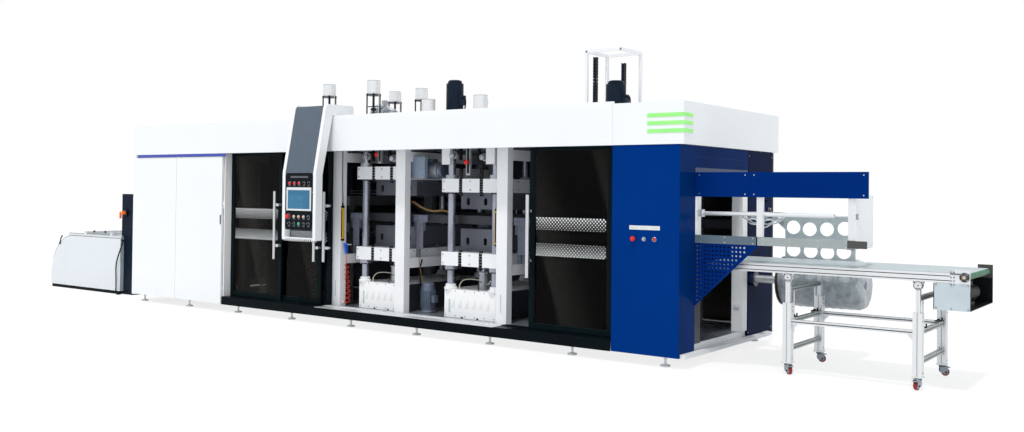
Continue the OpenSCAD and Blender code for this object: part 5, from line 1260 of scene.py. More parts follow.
        # lower cross members of the legs in the darker rail metal: painted shade
        dress("leg_frame", "aluminium upright", [(((0, 531, 210), (BIG, 1319, 525)), "grey alloy and painted shade")])
        for k in range(1, 5):
            dress(f"caster_fork_{k}", "fork grey and painted end shade")
            dress(f"caster_wheel_{k}", "wheel red")
        dress("unwinder_panels", "soft white", [
            # the panel's white end face in grey: painted shade
            (((-853, 0, 0), (-849.9, BIG, 880)), "fork grey and painted end shade"),
            (((-BIG, -BIG, 880.2), (BIG, BIG, 914.2)), "aluminium"),
            (((-BIG, 410, 914), (BIG, 2000, 1000)), "chrome"),
            (((-849.8, 0, 700), (0, 450, 879)), "moulded black")])
        dress("unwinder_base", "black", [(((-931, 400, 12.2), (BIG, 600, 2000)), "navy")])
        dress("brake_lever", "moulded black")
        dress("isolator_handle", "orange")
        dress("air_gun", "gun blue", [
            (((4262.5, 0, 0), (5000, BIG, 2000)), "chrome"),
            (((4000, 0, 800), (5000, BIG, 878)), "brass"),
            (((4000, 0, 1006), (4200, BIG, 1100)), "zinc sheet")])
        dress("pendant_estop", "red")
        dress("corner_estop", "red")
        dress("key_switch", "chrome")
        dress("stop_button", "red")
        self.paint_strips(context)
        self.paint_rolls()
        return {"FINISHED"}

    def paint_strips(self, context):
        finishes = context.scene.line_finishes
        made = Coat("lit_strips")
        left = made.zone((-BIG, -BIG, 0), (4000, BIG, ABOVE))
        # lighter green patches along the strips, from a noise: painted highlight
        run = made.between(made.noise(2.2, 3, (1, 1, 7)), 0.45, 0.62)
        green = made.mix(run, (*finishes.green, 1), (0.36, 0.86, 0.28, 1))
        tone = made.mix(left, green, (*finishes.violet, 1))
        made.feed(tone, made.shader.inputs["Base Color"])
        made.feed(tone, made.shader.inputs["Emission Color"])
        made.shader.inputs["Emission Strength"].default_value = 0.25
        made.shader.inputs["Roughness"].default_value = 0.25
        dress("light_strips", made.material)

    def paint_rolls(self):
        low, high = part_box("film_roll")
        middle = drawn((low + high) / 2)
        LOOKS["film layers"] = dict(kind="layers", colour=(0.70, 0.76, 0.79), rough=0.30,
            shade=0.16,
                                    centre=middle, along="Y", relief=1.0, bump=0.4)
        made = Coat("film_roll_layers")
        far = made.spoke(middle, "Y")
        core = made.sum("LESS_THAN", far, 0.0758)
        dress("film_roll", made.finish(LOOKS["film layers"], [(core, LOOKS["handle steel"])],
                                       Coat_Weight=0.3))


# ------------------------------------------------------------- glass leaves

LEAF_FRAME = 60.0
LEAF_T = 30.0
HANDLE_Z = (767.0, 1667.0)
DOT_BANDS = ((1357.0, True), (1080.0, False))


def leaf_bars(shape, x, y, z0, z1, wide, pull):
    """Frame bars of a leaf, with the channels for its wheels and guide rib."""
    for front in (y, y + 20):
        shape.box((x, front, z0), (x + wide, front + 10, z0 + 14))
        shape.box((x, front, z1 - 13), (x + wide, front + 10, z1))
    right = x + wide - LEAF_FRAME
    shape.box((right, y, z0 + 14), (x + wide, y + LEAF_T, z1 - 13))
    if pull:
        shape.box((x, y, z0 + 14), (x + 18, y + LEAF_T, z1 - 13))
        shape.box((x + 42, y, z0 + 14), (x + LEAF_FRAME, y + LEAF_T, z1 - 13))
        shape.box((x + 18, y, z0 + 14), (x + 42, y + LEAF_T, 1137))
        shape.box((x + 18, y, 1297), (x + 42, y + LEAF_T, z1 - 13))
        shape.box((x + 18, y + 12, 1137), (x + 42, y + LEAF_T, 1297))
    else:
        shape.box((x, y, z0 + 14), (x + LEAF_FRAME, y + LEAF_T, z1 - 13))
    shape.box((x + LEAF_FRAME, y, z0 + 14), (right, y + LEAF_T, z0 + LEAF_FRAME))
    shape.box((x + LEAF_FRAME, y, z1 - 90), (right, y + LEAF_T, z1 - 13))


def leaf_seal(shape, x0, x1, y, z0, z1):
    """Rubber lip round a pane, on one face of it."""
    for low, high in (((x0, z0), (x0 + 7, z1)), ((x1 - 7, z0), (x1, z1)),
                      ((x0 + 7, z0), (x1 - 7, z0 + 7)), ((x0 + 7, z1 - 7), (x1 - 7, z1))):
        shape.box((low[0], y, low[1]), (high[0], y + 5, high[1]))


def bar_handle(shape, x, y):
    """Flat bar on two round standoffs with their collars."""
    shape.box((x - 20, y - 70, HANDLE_Z[0]), (x + 20, y - 56, HANDLE_Z[1]))
    for share in (0.2, 0.8):
        z = HANDLE_Z[0] + share * (HANDLE_Z[1] - HANDLE_Z[0])
        shape.lathe((x, y - 56.5, z), BACK, [(0, 0), (15, 0), (15, 5), (11.5, 7), (11.5, 52),
            (15, 56),
                                                 (15, 67), (0, 67)])
    return shape


class LINE_OT_leaves(Operator):
    """Builds the six glazed sliding leaves with their seals, handles, wheels and dots"""

    bl_idname = "line.leaves"
    bl_label = "Glass leaves"

    def execute(self, context):
        sizes = context.scene.line_sizes
        glass = smoked_glass()
        for k in range(1, 7):
            low, high = extent(f"glass_door_{k}")
            x, y, z0, z1 = low.x, high.y - LEAF_T, low.z, high.z
            wide, body = high.x - low.x, f"leaf_{k}"
            x0, x1 = x + LEAF_FRAME, x + wide - LEAF_FRAME
            bars = Shape()
            leaf_bars(bars, x, y, z0, z1, wide, k in (4, 5))
            frame_piece = bars.piece(f"leaf_frame_{k}", "leaf frame", body, edge=1.2)
            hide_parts(f"glass_door_{k}")
            pane = Shape().box((x0 + 0.4, y + 11, z0 + LEAF_FRAME + 0.4),
                (x1 - 0.4, y + 19, z1 - 90.4))
            pane.piece(f"leaf_pane_{k}", glass, body, "dark_paint", edge=0.6)
            lips = Shape()
            leaf_seal(lips, x0, x1, y + 6, z0 + LEAF_FRAME, z1 - 90)
            leaf_seal(lips, x0, x1, y + 19, z0 + LEAF_FRAME, z1 - 90)
            lips.piece(f"leaf_seal_{k}", "rubber", body, edge=1.0)
            wheels = Shape()
            for share in (0.12, 0.88):
                mid = Vector((x + share * wide, y + 15, 226.3))
                wheels.lathe(mid - Vector((0, 3, 0)), (0, 1, 0),
                             [(0, 0), (5, 0), (8, 1), (7.4, 3), (8, 5), (5, 6), (0, 6)], 20)
                wheels.rod(mid - Vector((0, 5.6, 0)), mid + Vector((0, 5.6, 0)), 3, 12)
            wheels.piece(f"leaf_wheels_{k}", "chrome", body)
            if k in (1, 2, 3, 6):
                grip = bar_handle(Shape(), x + 16 if k == 6 else x + wide - 70, y)
                grip.piece(f"leaf_handle_{k}", "handle steel", body, "brushed", edge=2.0)
            if k < 4:
                clips = Shape()
                for z in (947, 1487):
                    clips.box((x + wide - 55, y - 55.4, z - 18), (x + wide - 4, y - 46, z + 18))
                    clips.box((x + wide - 30, y - 46, z - 14), (x + wide - 8, y - 0.4, z + 14))
                clips.piece(f"leaf_clips_{k}", "aluminium", body, edge=1.5)
            self.dots(k, sizes, x0, x1, y + 11, body)
        return {"FINISHED"}

    def dots(self, k, sizes, x0, x1, face, body):
        pitch = sizes.dot_pitch
        columns = int(((x1 - x0) / 1000 - 0.02) / pitch)
        for band, (z, rising) in enumerate(DOT_BANDS):
            ends = (sizes.dot_small, sizes.dot_large) if rising else (sizes.dot_large,
                sizes.dot_small)
            place = Matrix.Translation(at((x0 + x1) / 2 - pitch * 250, face,
                z)) @ Matrix.Rotation(math.pi / 2, 4, "X")
            made = grown(f"dots_{k}_{band}", bpy.data.meshes.new("dots"), dot_pattern, {
                "Columns": columns, "Rows": sizes.dot_rows, "Pitch": pitch, "First size": ends[0],
                "Last size": ends[1], "Thickness": 0.0006, "Finish": coat("white vinyl")}, place)
            finished(f"leaf_dots_{k}_{band + 1}", made, "white vinyl", body)


# ------------------------------------------------------------ control pendant

PENDANT = (3690.0, 4300.0)
FACE_Y = -276.0
PITCH = 88.0
ROWS = (1770.0, 1355.0, 1265.0)


def spot_x(k):
    return (PENDANT[0] + PENDANT[1]) / 2 + (k - 2) * PITCH


def ring_outline(inner, outer, depth, lip=1.0):
    """Half section of a turned ring that stands on a face."""
    return [(inner, 0), (outer, 0), (outer, depth - lip), (outer - lip, depth),
        (inner + lip, depth), (inner, depth - lip)]


class LINE_OT_pendant(Operator):
    """Builds the pendant's panel, screen, lamps, switches, cover and grille"""

    bl_idname = "line.pendant"
    bl_label = "Control pendant"

    def execute(self, context):
        x0, x1 = PENDANT[0] + 51, PENDANT[1] - 51
        y = FACE_Y
        plate = Shape().box((x0, y, 1191), (x1, y + 5.7, 1899))
        panel = plate.piece("pendant_panel", "panel black", "pendant", edge=1.5)
        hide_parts("pendant_face")
        knee, top = (-277, 1900), (-117, 2708.3)
        outline = [knee, (-270.5, 1901), top, (-101, 2737.3), (-70, 2737.3), (-70, 2743.3),
                   (-104, 2743.3), (-123, 2710.3)]
        cover = Shape().prism(outline, "x", x0, x1)
        cover.piece("pendant_cover", "cover grey", "pendant", edge=1.2, angle=50)
        self.screen(y)
        self.controls(y)
        self.details(x0, x1, y)
        return {"FINISHED"}

    def screen(self, y):
        middle = (PENDANT[0] + PENDANT[1]) / 2
        x0, x1, z0, z1 = middle - 225, middle + 225, SCREEN_Z, SCREEN_Z + 290
        bezel = Shape()
        for low, high in (((x0, z0), (x1, z0 + 22)), ((x0, z1 - 34), (x1, z1)),
                          ((x0, z0 + 22), (x0 + 24, z1 - 34)), ((x1 - 24, z0 + 22), (x1, z1 - 34))):
            bezel.box((low[0], y - 8, low[1]), (high[0], y - 0.3, high[1]))
        bezel.piece("screen_bezel", "bezel silver", "pendant", edge=1.8)
        glass = Shape().box((x0 + 24.4, y - 5, z0 + 22.4), (x1 - 24.4, y - 0.4, z1 - 34.4))
        glass.piece("screen_glass", screen_glass(), "pendant", "black_plastic", edge=0.6)

    def controls(self, y):
        rings, reds, warm, green, caps, grips, marks = (Shape() for _ in range(7))
        towards_user = FRONT
        spots = [(0, k) for k in range(5)] + [(1, k) for k in range(1, 5)] + [(2,
            k) for k in range(5)]
        lamps = {(0, 0): reds, (0, 1): reds, (0, 2): reds, (1, 1): warm, (1, 2): warm, (1, 3): warm,
            (2, 2): green}
        for row, k in spots:
            x, z = spot_x(k), ROWS[row]
            rings.lathe((x, y - 0.3, z), towards_user, ring_outline(16.5, 22, 5, 1.2), 40)
            if (row, k) in lamps:
                lens = lamps[(row, k)]
                lens.lathe((x, y - 0.3, z), towards_user,
                    [(0, 0), (16.4, 0), (16.4, 8), (15, 12), (10, 14.5), (0, 15.5)], 40)
                if row == 1 and k > 1:
                    reds.box((x + 1, y - 16.6, z - 11), (x + 11, y - 13, z + 11))
                if row == 1 and k == 1:
                    reds.box((x - 13, y - 16.4, z - 9), (x - 5, y - 13, z + 9))
                    green.box((x + 4, y - 16.4, z - 9), (x + 12, y - 13, z + 9))
                continue
            caps.lathe((x, y - 0.3, z), towards_user,
                [(0, 0), (16.4, 0), (16.4, 10), (15.2, 12), (0, 12)], 40)
            turn = math.radians(35 if (row + k) % 2 else -35)
            grip = Shape().box((-5, -13, -15), (5, 0, 15))
            grip.bm.transform(Matrix.Translation((x, y - 12, z)) @ Matrix.Rotation(turn, 4, "Y"))
            mark = Shape().box((-1.6, -13.6, 2), (1.6, -12.9, 14))
            mark.bm.transform(Matrix.Translation((x, y - 12, z)) @ Matrix.Rotation(turn, 4, "Y"))
            for source, goal in ((grip, grips), (mark, marks)):
                part = bpy.data.meshes.new("part")
                source.bm.to_mesh(part)
                source.bm.free()
                goal.bm.from_mesh(part)
                bpy.data.meshes.remove(part)
        ring_piece = rings.piece("control_rings", "tool steel", "pendant")
        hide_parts("pendant_buttons")
        reds.piece("lamp_reds", "lamp red", "pendant", edge=0.5)
        warm.piece("lamp_pales", "warm lamp", "pendant", edge=0.4)
        green.piece("lamp_greens", "green lamp", "pendant", edge=0.4)
        caps.piece("switch_caps", "moulded black", "pendant", edge=0.5)
        grips.piece("switch_grips", "moulded black", "pendant", edge=2.0)
        marks.piece("switch_marks", "white vinyl", "pendant")

    def details(self, x0, x1, y):
        disc = Shape().lathe((spot_x(0) - 12, y - 0.3, ROWS[1]), FRONT,
            ring_outline(20.5, 38, 2, 0.6), 48)
        disc.piece("stop_surround", "plate grey", "pendant")
        plates = Shape()
        for row in range(3):
            for k in range(5):
                if (row, k) != (1, 0):
                    plates.box((spot_x(k) - 21, y - 0.6, ROWS[row] - 36),
                        (spot_x(k) + 21, y + 0.2, ROWS[row] - 26))
        plates.box((x0 + 94, y - 0.6, 1838), (x1 - 94, y + 0.2, 1862))
        plates.piece("blank_plates", "plate grey", "pendant")
        screw = Shape().lathe((0, 0, 0), UP, [(0, 0), (5.2, 0), (5.2, 1.2), (3.4, 2.6), (0, 2.8)],
            14).part("screw")
        spots = [(x, y, z, FRONT) for x in (x0 + 12, x1 - 12) for z in (1204, 1420, 1660, 1886)]
        fittings("pendant_screws", screw, spots, "handle steel", "pendant")
        band = Shape()
        low, high = PENDANT[0] + 50, PENDANT[1] - 50
        band.box((low, -281.5, 1065), (high, -279, 1098))
        band.piece("shelf_lip", "white", "pendant", edge=0.8)
        pitch = 0.018
        base = Shape().box((low, -190.6, 1092), (high, -189, 1186))
        base.piece("shelf_grille", "panel black", "pendant")
        for k, (z, y, rows) in enumerate(((1136, -190.8, 9), (1074, -281.8, 2))):
            place = Matrix.Translation(at((low + high) / 2 - 4, y,
                z)) @ Matrix.Rotation(math.pi / 2, 4, "X")
            made = grown(f"grille_{k}", bpy.data.meshes.new("grille"), dot_pattern, {
                "Columns": int((high - low) / pitch / 1000) - 1, "Rows": rows, "Pitch": pitch,
                "First size": 0.0085,
                "Last size": 0.0085, "Thickness": 0.0006,
                "Finish": coat("white vinyl" if k == 0 else "plate grey")}, place)
            finished(f"shelf_dots_{k + 1}", made, "white vinyl" if k == 0 else "plate grey",
                "pendant", "white_paint")


# ------------------------------------------------------------ corner controls


class LINE_OT_corner(Operator):
    """Adds the rings, the plate and the label fields of the blue corner"""

    bl_idname = "line.corner"
    bl_label = "Corner controls"

    def execute(self, context):
        z, face = 1245.0, 8.0
        rings = Shape()
        for x, inner in ((8699, 15.5), (8814, 17.5)):
            rings.lathe((x, face, z), FRONT, ring_outline(inner, inner + 7, 6, 1.4), 40)
        rings.piece("corner_rings", "column steel")
        plate = Shape().box((8534, face - 1.6, 1336), (8874, face + 0.4, 1377))
        plate.piece("corner_plate", "bezel silver", edge=0.6)
        fields = Shape()
        for k in range(3):
            fields.box((8546 + k * 112, face - 2.0, 1343), (8638 + k * 112, face - 1.4, 1370))
        fields.piece("corner_fields", "label", edge=0.2)
        return {"FINISHED"}


# ------------------------------------------------------- inside of the cabinet


def column_spots(i):
    return [(x, y) for x in (PRESS_X[i] + 52, PRESS_X[i] + PRESS_W - 52) for y in (452, 1958)]


def bolt(width, height):
    """A hexagon head with its washer, for patterns."""
    shape = Shape()
    shape.lathe((0, 0, -1), UP, [(0, 0), (width * 0.78, 0), (width * 0.78, 1 + height * 0.2),
        (0, 1 + height * 0.2)], 16)
    shape.rod((0, 0, height * 0.1), (0, 0, height), width * 0.58, 6)
    return shape.part("bolt")


class LINE_OT_floor(Operator):
    """Lays the raised lozenges of the floor plates and their screws"""

    bl_idname = "line.floor"
    bl_label = "Floor plates"

    def execute(self, context):
        pitch = context.scene.line_sizes.tread_pitch
        look = coat("tread")
        fields = [(2270, 9000, 285, 395), (5165, 5800, 400, 2000), (6585, 9000, 400, 2000),
            (2270, 4380, 400, 540)]
        for k, (x0, x1, y0, y1) in enumerate(fields):
            place = Matrix.Translation(at((x0 + x1) / 2, (y0 + y1) / 2, 206.6))
            made = grown(f"tread_{k}", bpy.data.meshes.new("tread"), tread_pattern, {
                "Length": (x1 - x0) / 1000, "Width": (y1 - y0) / 1000, "Pitch": pitch,
                "Height": 0.0022,
                "Finish": look}, place)
            finished(f"floor_tread_{k + 1}", made, look, "cabinet", "aluminium", angle=20)
        spots = [(x, 142, 208.2, UP) for x in range(2260, 8300, 420)]
        fittings("sill_screws", bolt(7, 3), spots, "handle steel")
        return {"FINISHED"}


class LINE_OT_presses(Operator):
    """Adds the presses' brackets, collars, pipes, knobs, covers and curtains of light"""

    bl_idname = "line.presses"
    bl_label = "Press fittings"

    def execute(self, context):
        for i, x in enumerate(PRESS_X):
            name = ("forming", "cutting")[i]
            for level, end, up in ((LOWER_Z, "lower", False), (UPPER_Z[i], "upper", True)):
                self.platen(i, x, level, f"{name}_{end}", up)
            self.base(i, x)
        self.crowns()
        self.columns()
        self.curtains()
        self.pipes()
        return {"FINISHED"}

    def platen(self, i, x, level, body, up):
        wide, front = PRESS_W + 90, 385.0
        spots = [(x - 45 + wide * share + 26, front + 12) for share in (0.3, 0.66)]
        link = Shape()
        for u in (-19, 13):
            link.box((u, -13, -12), (u + 6, 13, 12))
        link.box((-13, -10, -9), (13, -4, 9))
        link.box((-13, 4, -3), (13, 10, 3))
        holder = bpy.data.objects.new("chain_link", link.part("chain_link"))
        for k, (cx, cy) in enumerate(spots):
            low, high = (level - 20, level + 190) if not up else (level - 30, level + (190, 300)[i])
            run = [at(cx, cy, low + s * 14) for s in range(int((high - low) / 14))]
            made = grown("chain", line_curve("chain", run), chain_pattern,
                         {"Link": holder, "Pitch": 0.028, "Finish": coat("moulded black")})
            finished(f"{body}_cable_chain_{k + 1}", made, "moulded black", body)
        bpy.data.objects.remove(holder)
        heads = []
        for cx, cy in column_spots(i):
            for t in range(8):
                a = math.tau * (t + 0.5) / 8
                reach = 70 if up else 64
                heads.append((cx + reach * math.cos(a), cy + reach * math.sin(a),
                    level - (0 if up else 44), DOWN))
        for cx in (x - 20, x + wide * 0.5 - 45, x + wide - 70):
            for z in (level + 30, level + PLATEN_T - 30):
                heads.append((cx, front + 0.5, z, FRONT))
        for cy in range(520, 1900, 230):
            for z in (level + 30, level + PLATEN_T - 30):
                heads.append((x + PRESS_W + 44.5, cy, z, RIGHT))
        fittings(f"{body}_bolts", bolt(11, 9), heads, "column steel", body)
        ring = Shape()
        for cx, cy in column_spots(i):
            ring.lathe((cx, cy, level - (0.3 if up else 44)), DOWN,
                       [(46.2, 0), (58, 0), (58, 4), (54, 9), (54, 14), (50, 17), (46.2, 17)], 40)
        ring.piece(f"{body}_wipers", "rubber", body, angle=40)
        lugs = Shape()
        tool = (level + PLATEN_T + 0.4, level + PLATEN_T + 34) if not up else (level - 34,
            level - 0.4)
        for cy in (700, 1000, 1300, 1600):
            for x0, x1 in ((x - 6, x + 30), (x + PRESS_W - 30, x + PRESS_W + 6)):
                lugs.box((x0, cy, tool[0]), (x1, cy + 60, tool[1]))
        lugs.piece(f"{body}_clamps", "column steel", body, "brushed", edge=2.5)

    def base(self, i, x):
        top = 533.0
        # slanted triangles of a slightly darker white on each base's front: painted shadow streaks
        shadow_streaks = Shape()
        for k in range(6):
            x0 = x + 96 + k * 104
            shadow_streaks.prism([(x0, 318), (x0 + 66, 318), (x0 + 60, 430)], "y", 399.4, 400.3)
        shadow_streaks.piece(f"base_dents_{i + 1}", "soft shade")
        heads = [(x + 24 + k * (PRESS_W - 48) / 5, 399.6, z, FRONT) for k in range(6) for z in (228,
            519)]
        heads += [(x + 20 + k * (PRESS_W - 40) / 3, y, top - 0.5,
            UP) for k in range(4) for y in (420, 1000, 1500, 1990)]
        fittings(f"base_bolts_{i + 1}", bolt(8, 6), heads, "column steel")
        glands = Shape()
        for y in (660, 1750):
            glands.lathe((x + PRESS_W / 2, y, 723), UP,
                         [(30.2, -1), (60, -1), (60, 0), (74, 0), (74, 14), (66, 18), (40, 18),
                         (37, 24), (30.2, 24)], 40)
        glands.piece(f"barrel_glands_{i + 1}", "column steel", angle=40)
        label = Shape().box((x + 64, 398.2, 260), (x + 92, 400.4, 420))
        label.piece(f"base_plate_{i + 1}", "zinc sheet", edge=0.4)

    def crowns(self):
        dark, red, pale = Shape(), Shape(), Shape()
        for i, x in enumerate(PRESS_X):
            cx = x + PRESS_W / 2
            low = UPPER_Z[i] + PLATEN_T + 60
            dark.box((cx - 14, 342, low + 6), (cx + 14, 352, 2238))
            for k in range(int((2230 - low) / 22)):
                dark.box((cx - 17, 337, low + 10 + k * 22), (cx + 17, 343, low + 22 + k * 22))
            for u in (-150, 130):
                dark.box((cx + u, 352, 2060), (cx + u + 34, 379.6, 2235))
                for k in range(5):
                    dark.rod((cx + u + 17, 360, 2075 + k * 30), (cx + u + 17, 340, 2075 + k * 30),
                        11, 20, 9)
            for u, z in ((-236, 2120), (214, 2090)):
                pale.lathe((cx + u, 379.6, z), FRONT,
                    [(0, 0), (44, 0), (44, 6), (34, 8), (34, 60), (26, 66), (0, 66)], 32)
            z = (2140, 2035)[i]
            red.lathe((cx - (60, 0)[i], (378, 337)[i], z), FRONT,
                      [(0, 0), (9, 0), (9, 18), (27, 20), (30, 26), (30, 38), (22, 46), (0, 48)],
                      36)
        dark.piece("crown_valves", "moulded black", edge=1.5, angle=40)
        pale.piece("crown_sensors", "silver", angle=40)
        red.piece("crown_knobs", "red", angle=40)

    def columns(self):
        nuts = Shape()
        for i in (0, 1):
            for cx, cy in column_spots(i):
                nuts.lathe((cx, cy, 533.4), UP,
                    [(46.2, 0), (78, 0), (78, 22), (70, 28), (62, 28), (62, 58), (56, 62),
                    (46.2, 62)], 44)
        nuts.piece("column_nuts", "machine white", slot="aluminium", angle=40)

    def curtains(self):
        housing, ends, lens, plugs = Shape(), Shape(), Shape(), Shape()
        for x, z0, z1 in ((4170.6, 1045, 1490), (6639.4, 1075, 1500)):
            housing.box((x, 274, z0 + 26), (x + 30, 308, z1 - 26))
            lens.box((x + 6, 272.6, z0 + 40), (x + 24, 274.4, z1 - 40))
            for z in (z0, z1 - 26):
                ends.box((x - 0.4, 273.2, z), (x + 30.4, 308.8, z + 26))
            plugs.rod((x + 15, 291, z1 - 0.5), (x + 15, 291, z1 + 42), 11, 20, 8)
        housing.piece("curtain_housings", "yellow", edge=2.0)
        ends.piece("curtain_ends", "moulded black", edge=2.0)
        lens.piece("curtain_lenses", "panel black", edge=0.5)
        plugs.piece("curtain_plugs", "rubber")
        for k, (x, z) in enumerate(((4185.6, 1531), (6654.4, 1541))):
            hose(f"curtain_cable_{k + 1}", [(x, 291, z), (x, 291, z + 60),
                (x - 6 + 12 * k, 289, z + 200), (x - 8 + 16 * k, 288, z + 380),
                (x - 8 + 16 * k, 288, 2238)], 4.5, "rubber")

    def pipes(self):
        pale, black, amber = coat("tube pale"), coat("rubber"), coat("tube amber")
        for i, x in enumerate(PRESS_X):
            cx = x + PRESS_W / 2
            hose(f"lift_pipe_{i + 1}a", [(cx + 60, 640, 600), (cx + 120, 600, 604),
                (cx + 190, 540, 650), (cx + 236, 500, 640),
                 (cx + 262, 480, 585), (cx + 268, 474, 534)], 6, pale, "cabinet", "white_paint")
            hose(f"lift_pipe_{i + 1}b", [(cx - 60, 640, 640), (cx - 130, 590, 650),
                (cx - 190, 520, 640), (cx - 215, 480, 590),
                 (cx - 216, 474, 534)], 6, pale, "cabinet", "white_paint")
            hose(f"lift_pipe_{i + 1}c", [(cx + 20, 602, 620), (cx + 26, 540, 632),
                (cx + 70, 470, 620), (cx + 96, 440, 590),
                 (cx + 98, 436, 534)], 5, black, "cabinet", "black_rubber")
            hose(f"crown_pipe_{i + 1}", [(cx + 147, 350, 2228), (cx + 150, 322, 2234),
                (cx + 210, 312, 2226),
                 (cx + 250, 330, 2214), (cx + 262, 379, 2210)], 7, black, "cabinet", "black_rubber")
        hose("rail_hose_1", [(5262, 420, 1560), (5300, 424, 1545), (5390, 430, 1500),
            (5500, 440, 1462), (5610, 450, 1452),
             (5700, 470, 1462), (5762, 520, 1440), (5780, 556, 1404)], 13, amber, "cabinet",
             "black_rubber", sides=12)
        hose("rail_hose_2", [(5262, 450, 1520), (5300, 452, 1500), (5400, 460, 1450),
            (5500, 470, 1424), (5600, 480, 1420),
             (5680, 510, 1424), (5720, 556, 1404)], 11, black, "cabinet", "black_rubber", sides=12)
        hose("floor_hose_1", [(5410, 470, 560), (5400, 455, 640), (5380, 440, 760),
            (5362, 430, 900), (5350, 428, 1040),
             (5345, 440, 1160), (5345, 480, 1250), (5346, 540, 1302)], 4, amber, "cabinet",
             "black_rubber")
        hose("floor_hose_2", [(5300, 640, 300), (5285, 600, 420), (5280, 560, 560),
            (5285, 540, 720), (5290, 560, 800),
             (5268, 600, 840)], 9, black, "cabinet", "black_rubber")


class LINE_OT_drives(Operator):
    """Adds the motors' fins, fan covers, boxes and pipes, and the rear services"""

    bl_idname = "line.drives"
    bl_label = "Motors and services"

    def execute(self, context):
        along_x = Matrix.Rotation(math.pi / 2, 4, "Y")
        rings = (("gear_motor", (5436, 600, 1945), 0.095, 0.19, "gear grey", "grey_paint", along_x,
            30, 0.016),
                 ("unit_motor", (7106, 800, 396), 0.125, 0.26, "motor blue", "grey_paint", along_x,
                 34, 0.018),
                 ("floor_motor", (5410, 560, 372), 0.085, 0.22, "gear grey", "grey_paint", Matrix(),
                 28, 0.014))
        for name, centre, radius, height, look, slot, turn, count, depth in rings:
            place = Matrix.Translation(at(*centre)) @ turn
            made = grown(name, bpy.data.meshes.new(name), fin_pattern, {
                "Fins": count, "Radius": radius, "Depth": depth, "Thickness": 0.003,
                "Height": height,
                "Finish": coat(look)}, place)
            finished(name + "_fins", made, look, slot=slot)
        parts = Shape()
        parts.lathe((5580, 600, 1945), RIGHT, [(0, 0), (88, 0), (88, 8), (84, 38), (70, 44),
            (0, 44)], 40)
        parts.box((5360, 545, 2040), (5460, 655, 2088))
        parts.lathe((5410, 560, 522), UP, [(0, 0), (80, 0), (80, 34), (60, 44), (0, 46)], 40)
        parts.box((5455, 525, 330), (5540, 595, 420))
        parts.piece("motor_covers", "gear grey", edge=3, angle=40)
        guard = Shape().box((5218, 424, 1850), (5448, 484, 2110))
        guard.box((5236, 421.6, 1868), (5430, 424.4, 2092))
        guard.piece("gear_guard", "guard grey", edge=6)
        tees, heads = Shape(), []
        for x in (p + POST_W - 52 for p in POSTS):
            tees.prism([(x - 50, 1309), (x + 4, 1309), (x + 4, 975), (x + 112, 975),
                (x + 112, 1309), (x + 180, 1309),
                        (x + 180, 1398), (x - 50, 1398)], "y", 541, 549.5)
            heads += [(x + u, 541, z, FRONT) for u in (-30, 20, 110, 160) for z in (1328, 1380)]
            heads += [(x + 58, 541, z, FRONT) for z in (1000, 1060, 1260)]
        tees.piece("rail_tees", "tee grey", edge=1.5)
        heads += [(x, 421.6, z, FRONT) for x in (5250, 5416) for z in (1882, 2078)]
        fittings("tee_bolts", bolt(9, 7), heads, "column steel")
        blue = Shape()
        blue.lathe((7249, 800, 396), RIGHT, [(0, 0), (122, 0), (122, 30), (96, 46), (0, 46)], 40)
        blue.box((7050, 750, 518), (7170, 850, 566))
        blue.box((6900, 930, 267), (7180, 1150, 470))
        blue.piece("unit_covers", "motor blue", edge=3, angle=40)
        flanges = Shape()
        flanges.lathe((5410, 560, 222), UP, [(0, 0), (100, 0), (100, 14), (92, 18), (0, 18)], 36)
        flanges.lathe((6924, 800, 396), RIGHT,
            [(0, 0), (100, 0), (108, -16), (84, -40), (40, -44), (0, -44)], 36)
        flanges.piece("motor_flanges", "column steel", slot="brushed", angle=40)
        self.tank()
        self.services()
        return {"FINISHED"}

    def tank(self):
        bands = Shape()
        for y in (760, 1560):
            bands.lathe((2650, y, 536.4), BACK, [(300.4, -20), (304, -20), (304, 20), (300.4, 20)],
                64)
        bands.lathe((2650, 1160, 836), UP, [(0, -3), (52, -3), (52, 16), (30, 20), (30, 60),
            (44, 62), (44, 76), (0, 76)], 32)
        bands.piece("tank_bands", "silver", angle=40)
        hose("tank_pipe", [(2650, 1160, 905), (2650, 1160, 960), (2680, 1140, 1030),
            (2760, 1080, 1060), (2900, 1000, 1062), (3100, 980, 1062), (3300, 978, 1062)], 22,
            "rubber", sides=14)

    def services(self):
        """Valve banks, ducts and pipes on the rear posts."""
        duct, valves, pipes, boxes = Shape(), Shape(), Shape(), Shape()
        duct.box((2300, 2236, 1480), (8120, 2300, 1540))
        duct.box((2300, 2236, 640), (8120, 2300, 700))
        for x in (2560, 3560, 4720, 5700, 7350):
            boxes.box((x, 2250, 980), (x + 360, 2336, 1380))
            boxes.box((x + 12, 2246, 992), (x + 348, 2250.4, 1368))
        for x in (3000, 5200, 6300, 7800):
            for k in range(8):
                valves.box((x + k * 34, 2214, 1780), (x + k * 34 + 28, 2290, 1850))
                valves.rod((x + k * 34 + 14, 2232, 1849), (x + k * 34 + 14, 2232, 1866), 7, 12)
            valves.box((x - 14, 2224, 1748), (x + 290, 2300, 1779.6))
        for k, z in enumerate((1600, 1640, 1680)):
            pipes.rod((2320, 2262, z), (8100, 2262, z), 11 - 2 * k, 14)
        for x in (2420, 4300, 5500, 6900, 8000):
            pipes.rod((x, 2262, 706), (x, 2262, 1474), 16, 14)
        duct.piece("rear_ducts", "plate grey", edge=2)
        boxes.piece("rear_boxes", "grey", edge=2)
        valves.piece("rear_valves", "silver", edge=1)
        pipes.piece("rear_pipes", "column steel", angle=40)


# ----------------------------------------------------------------------- roof


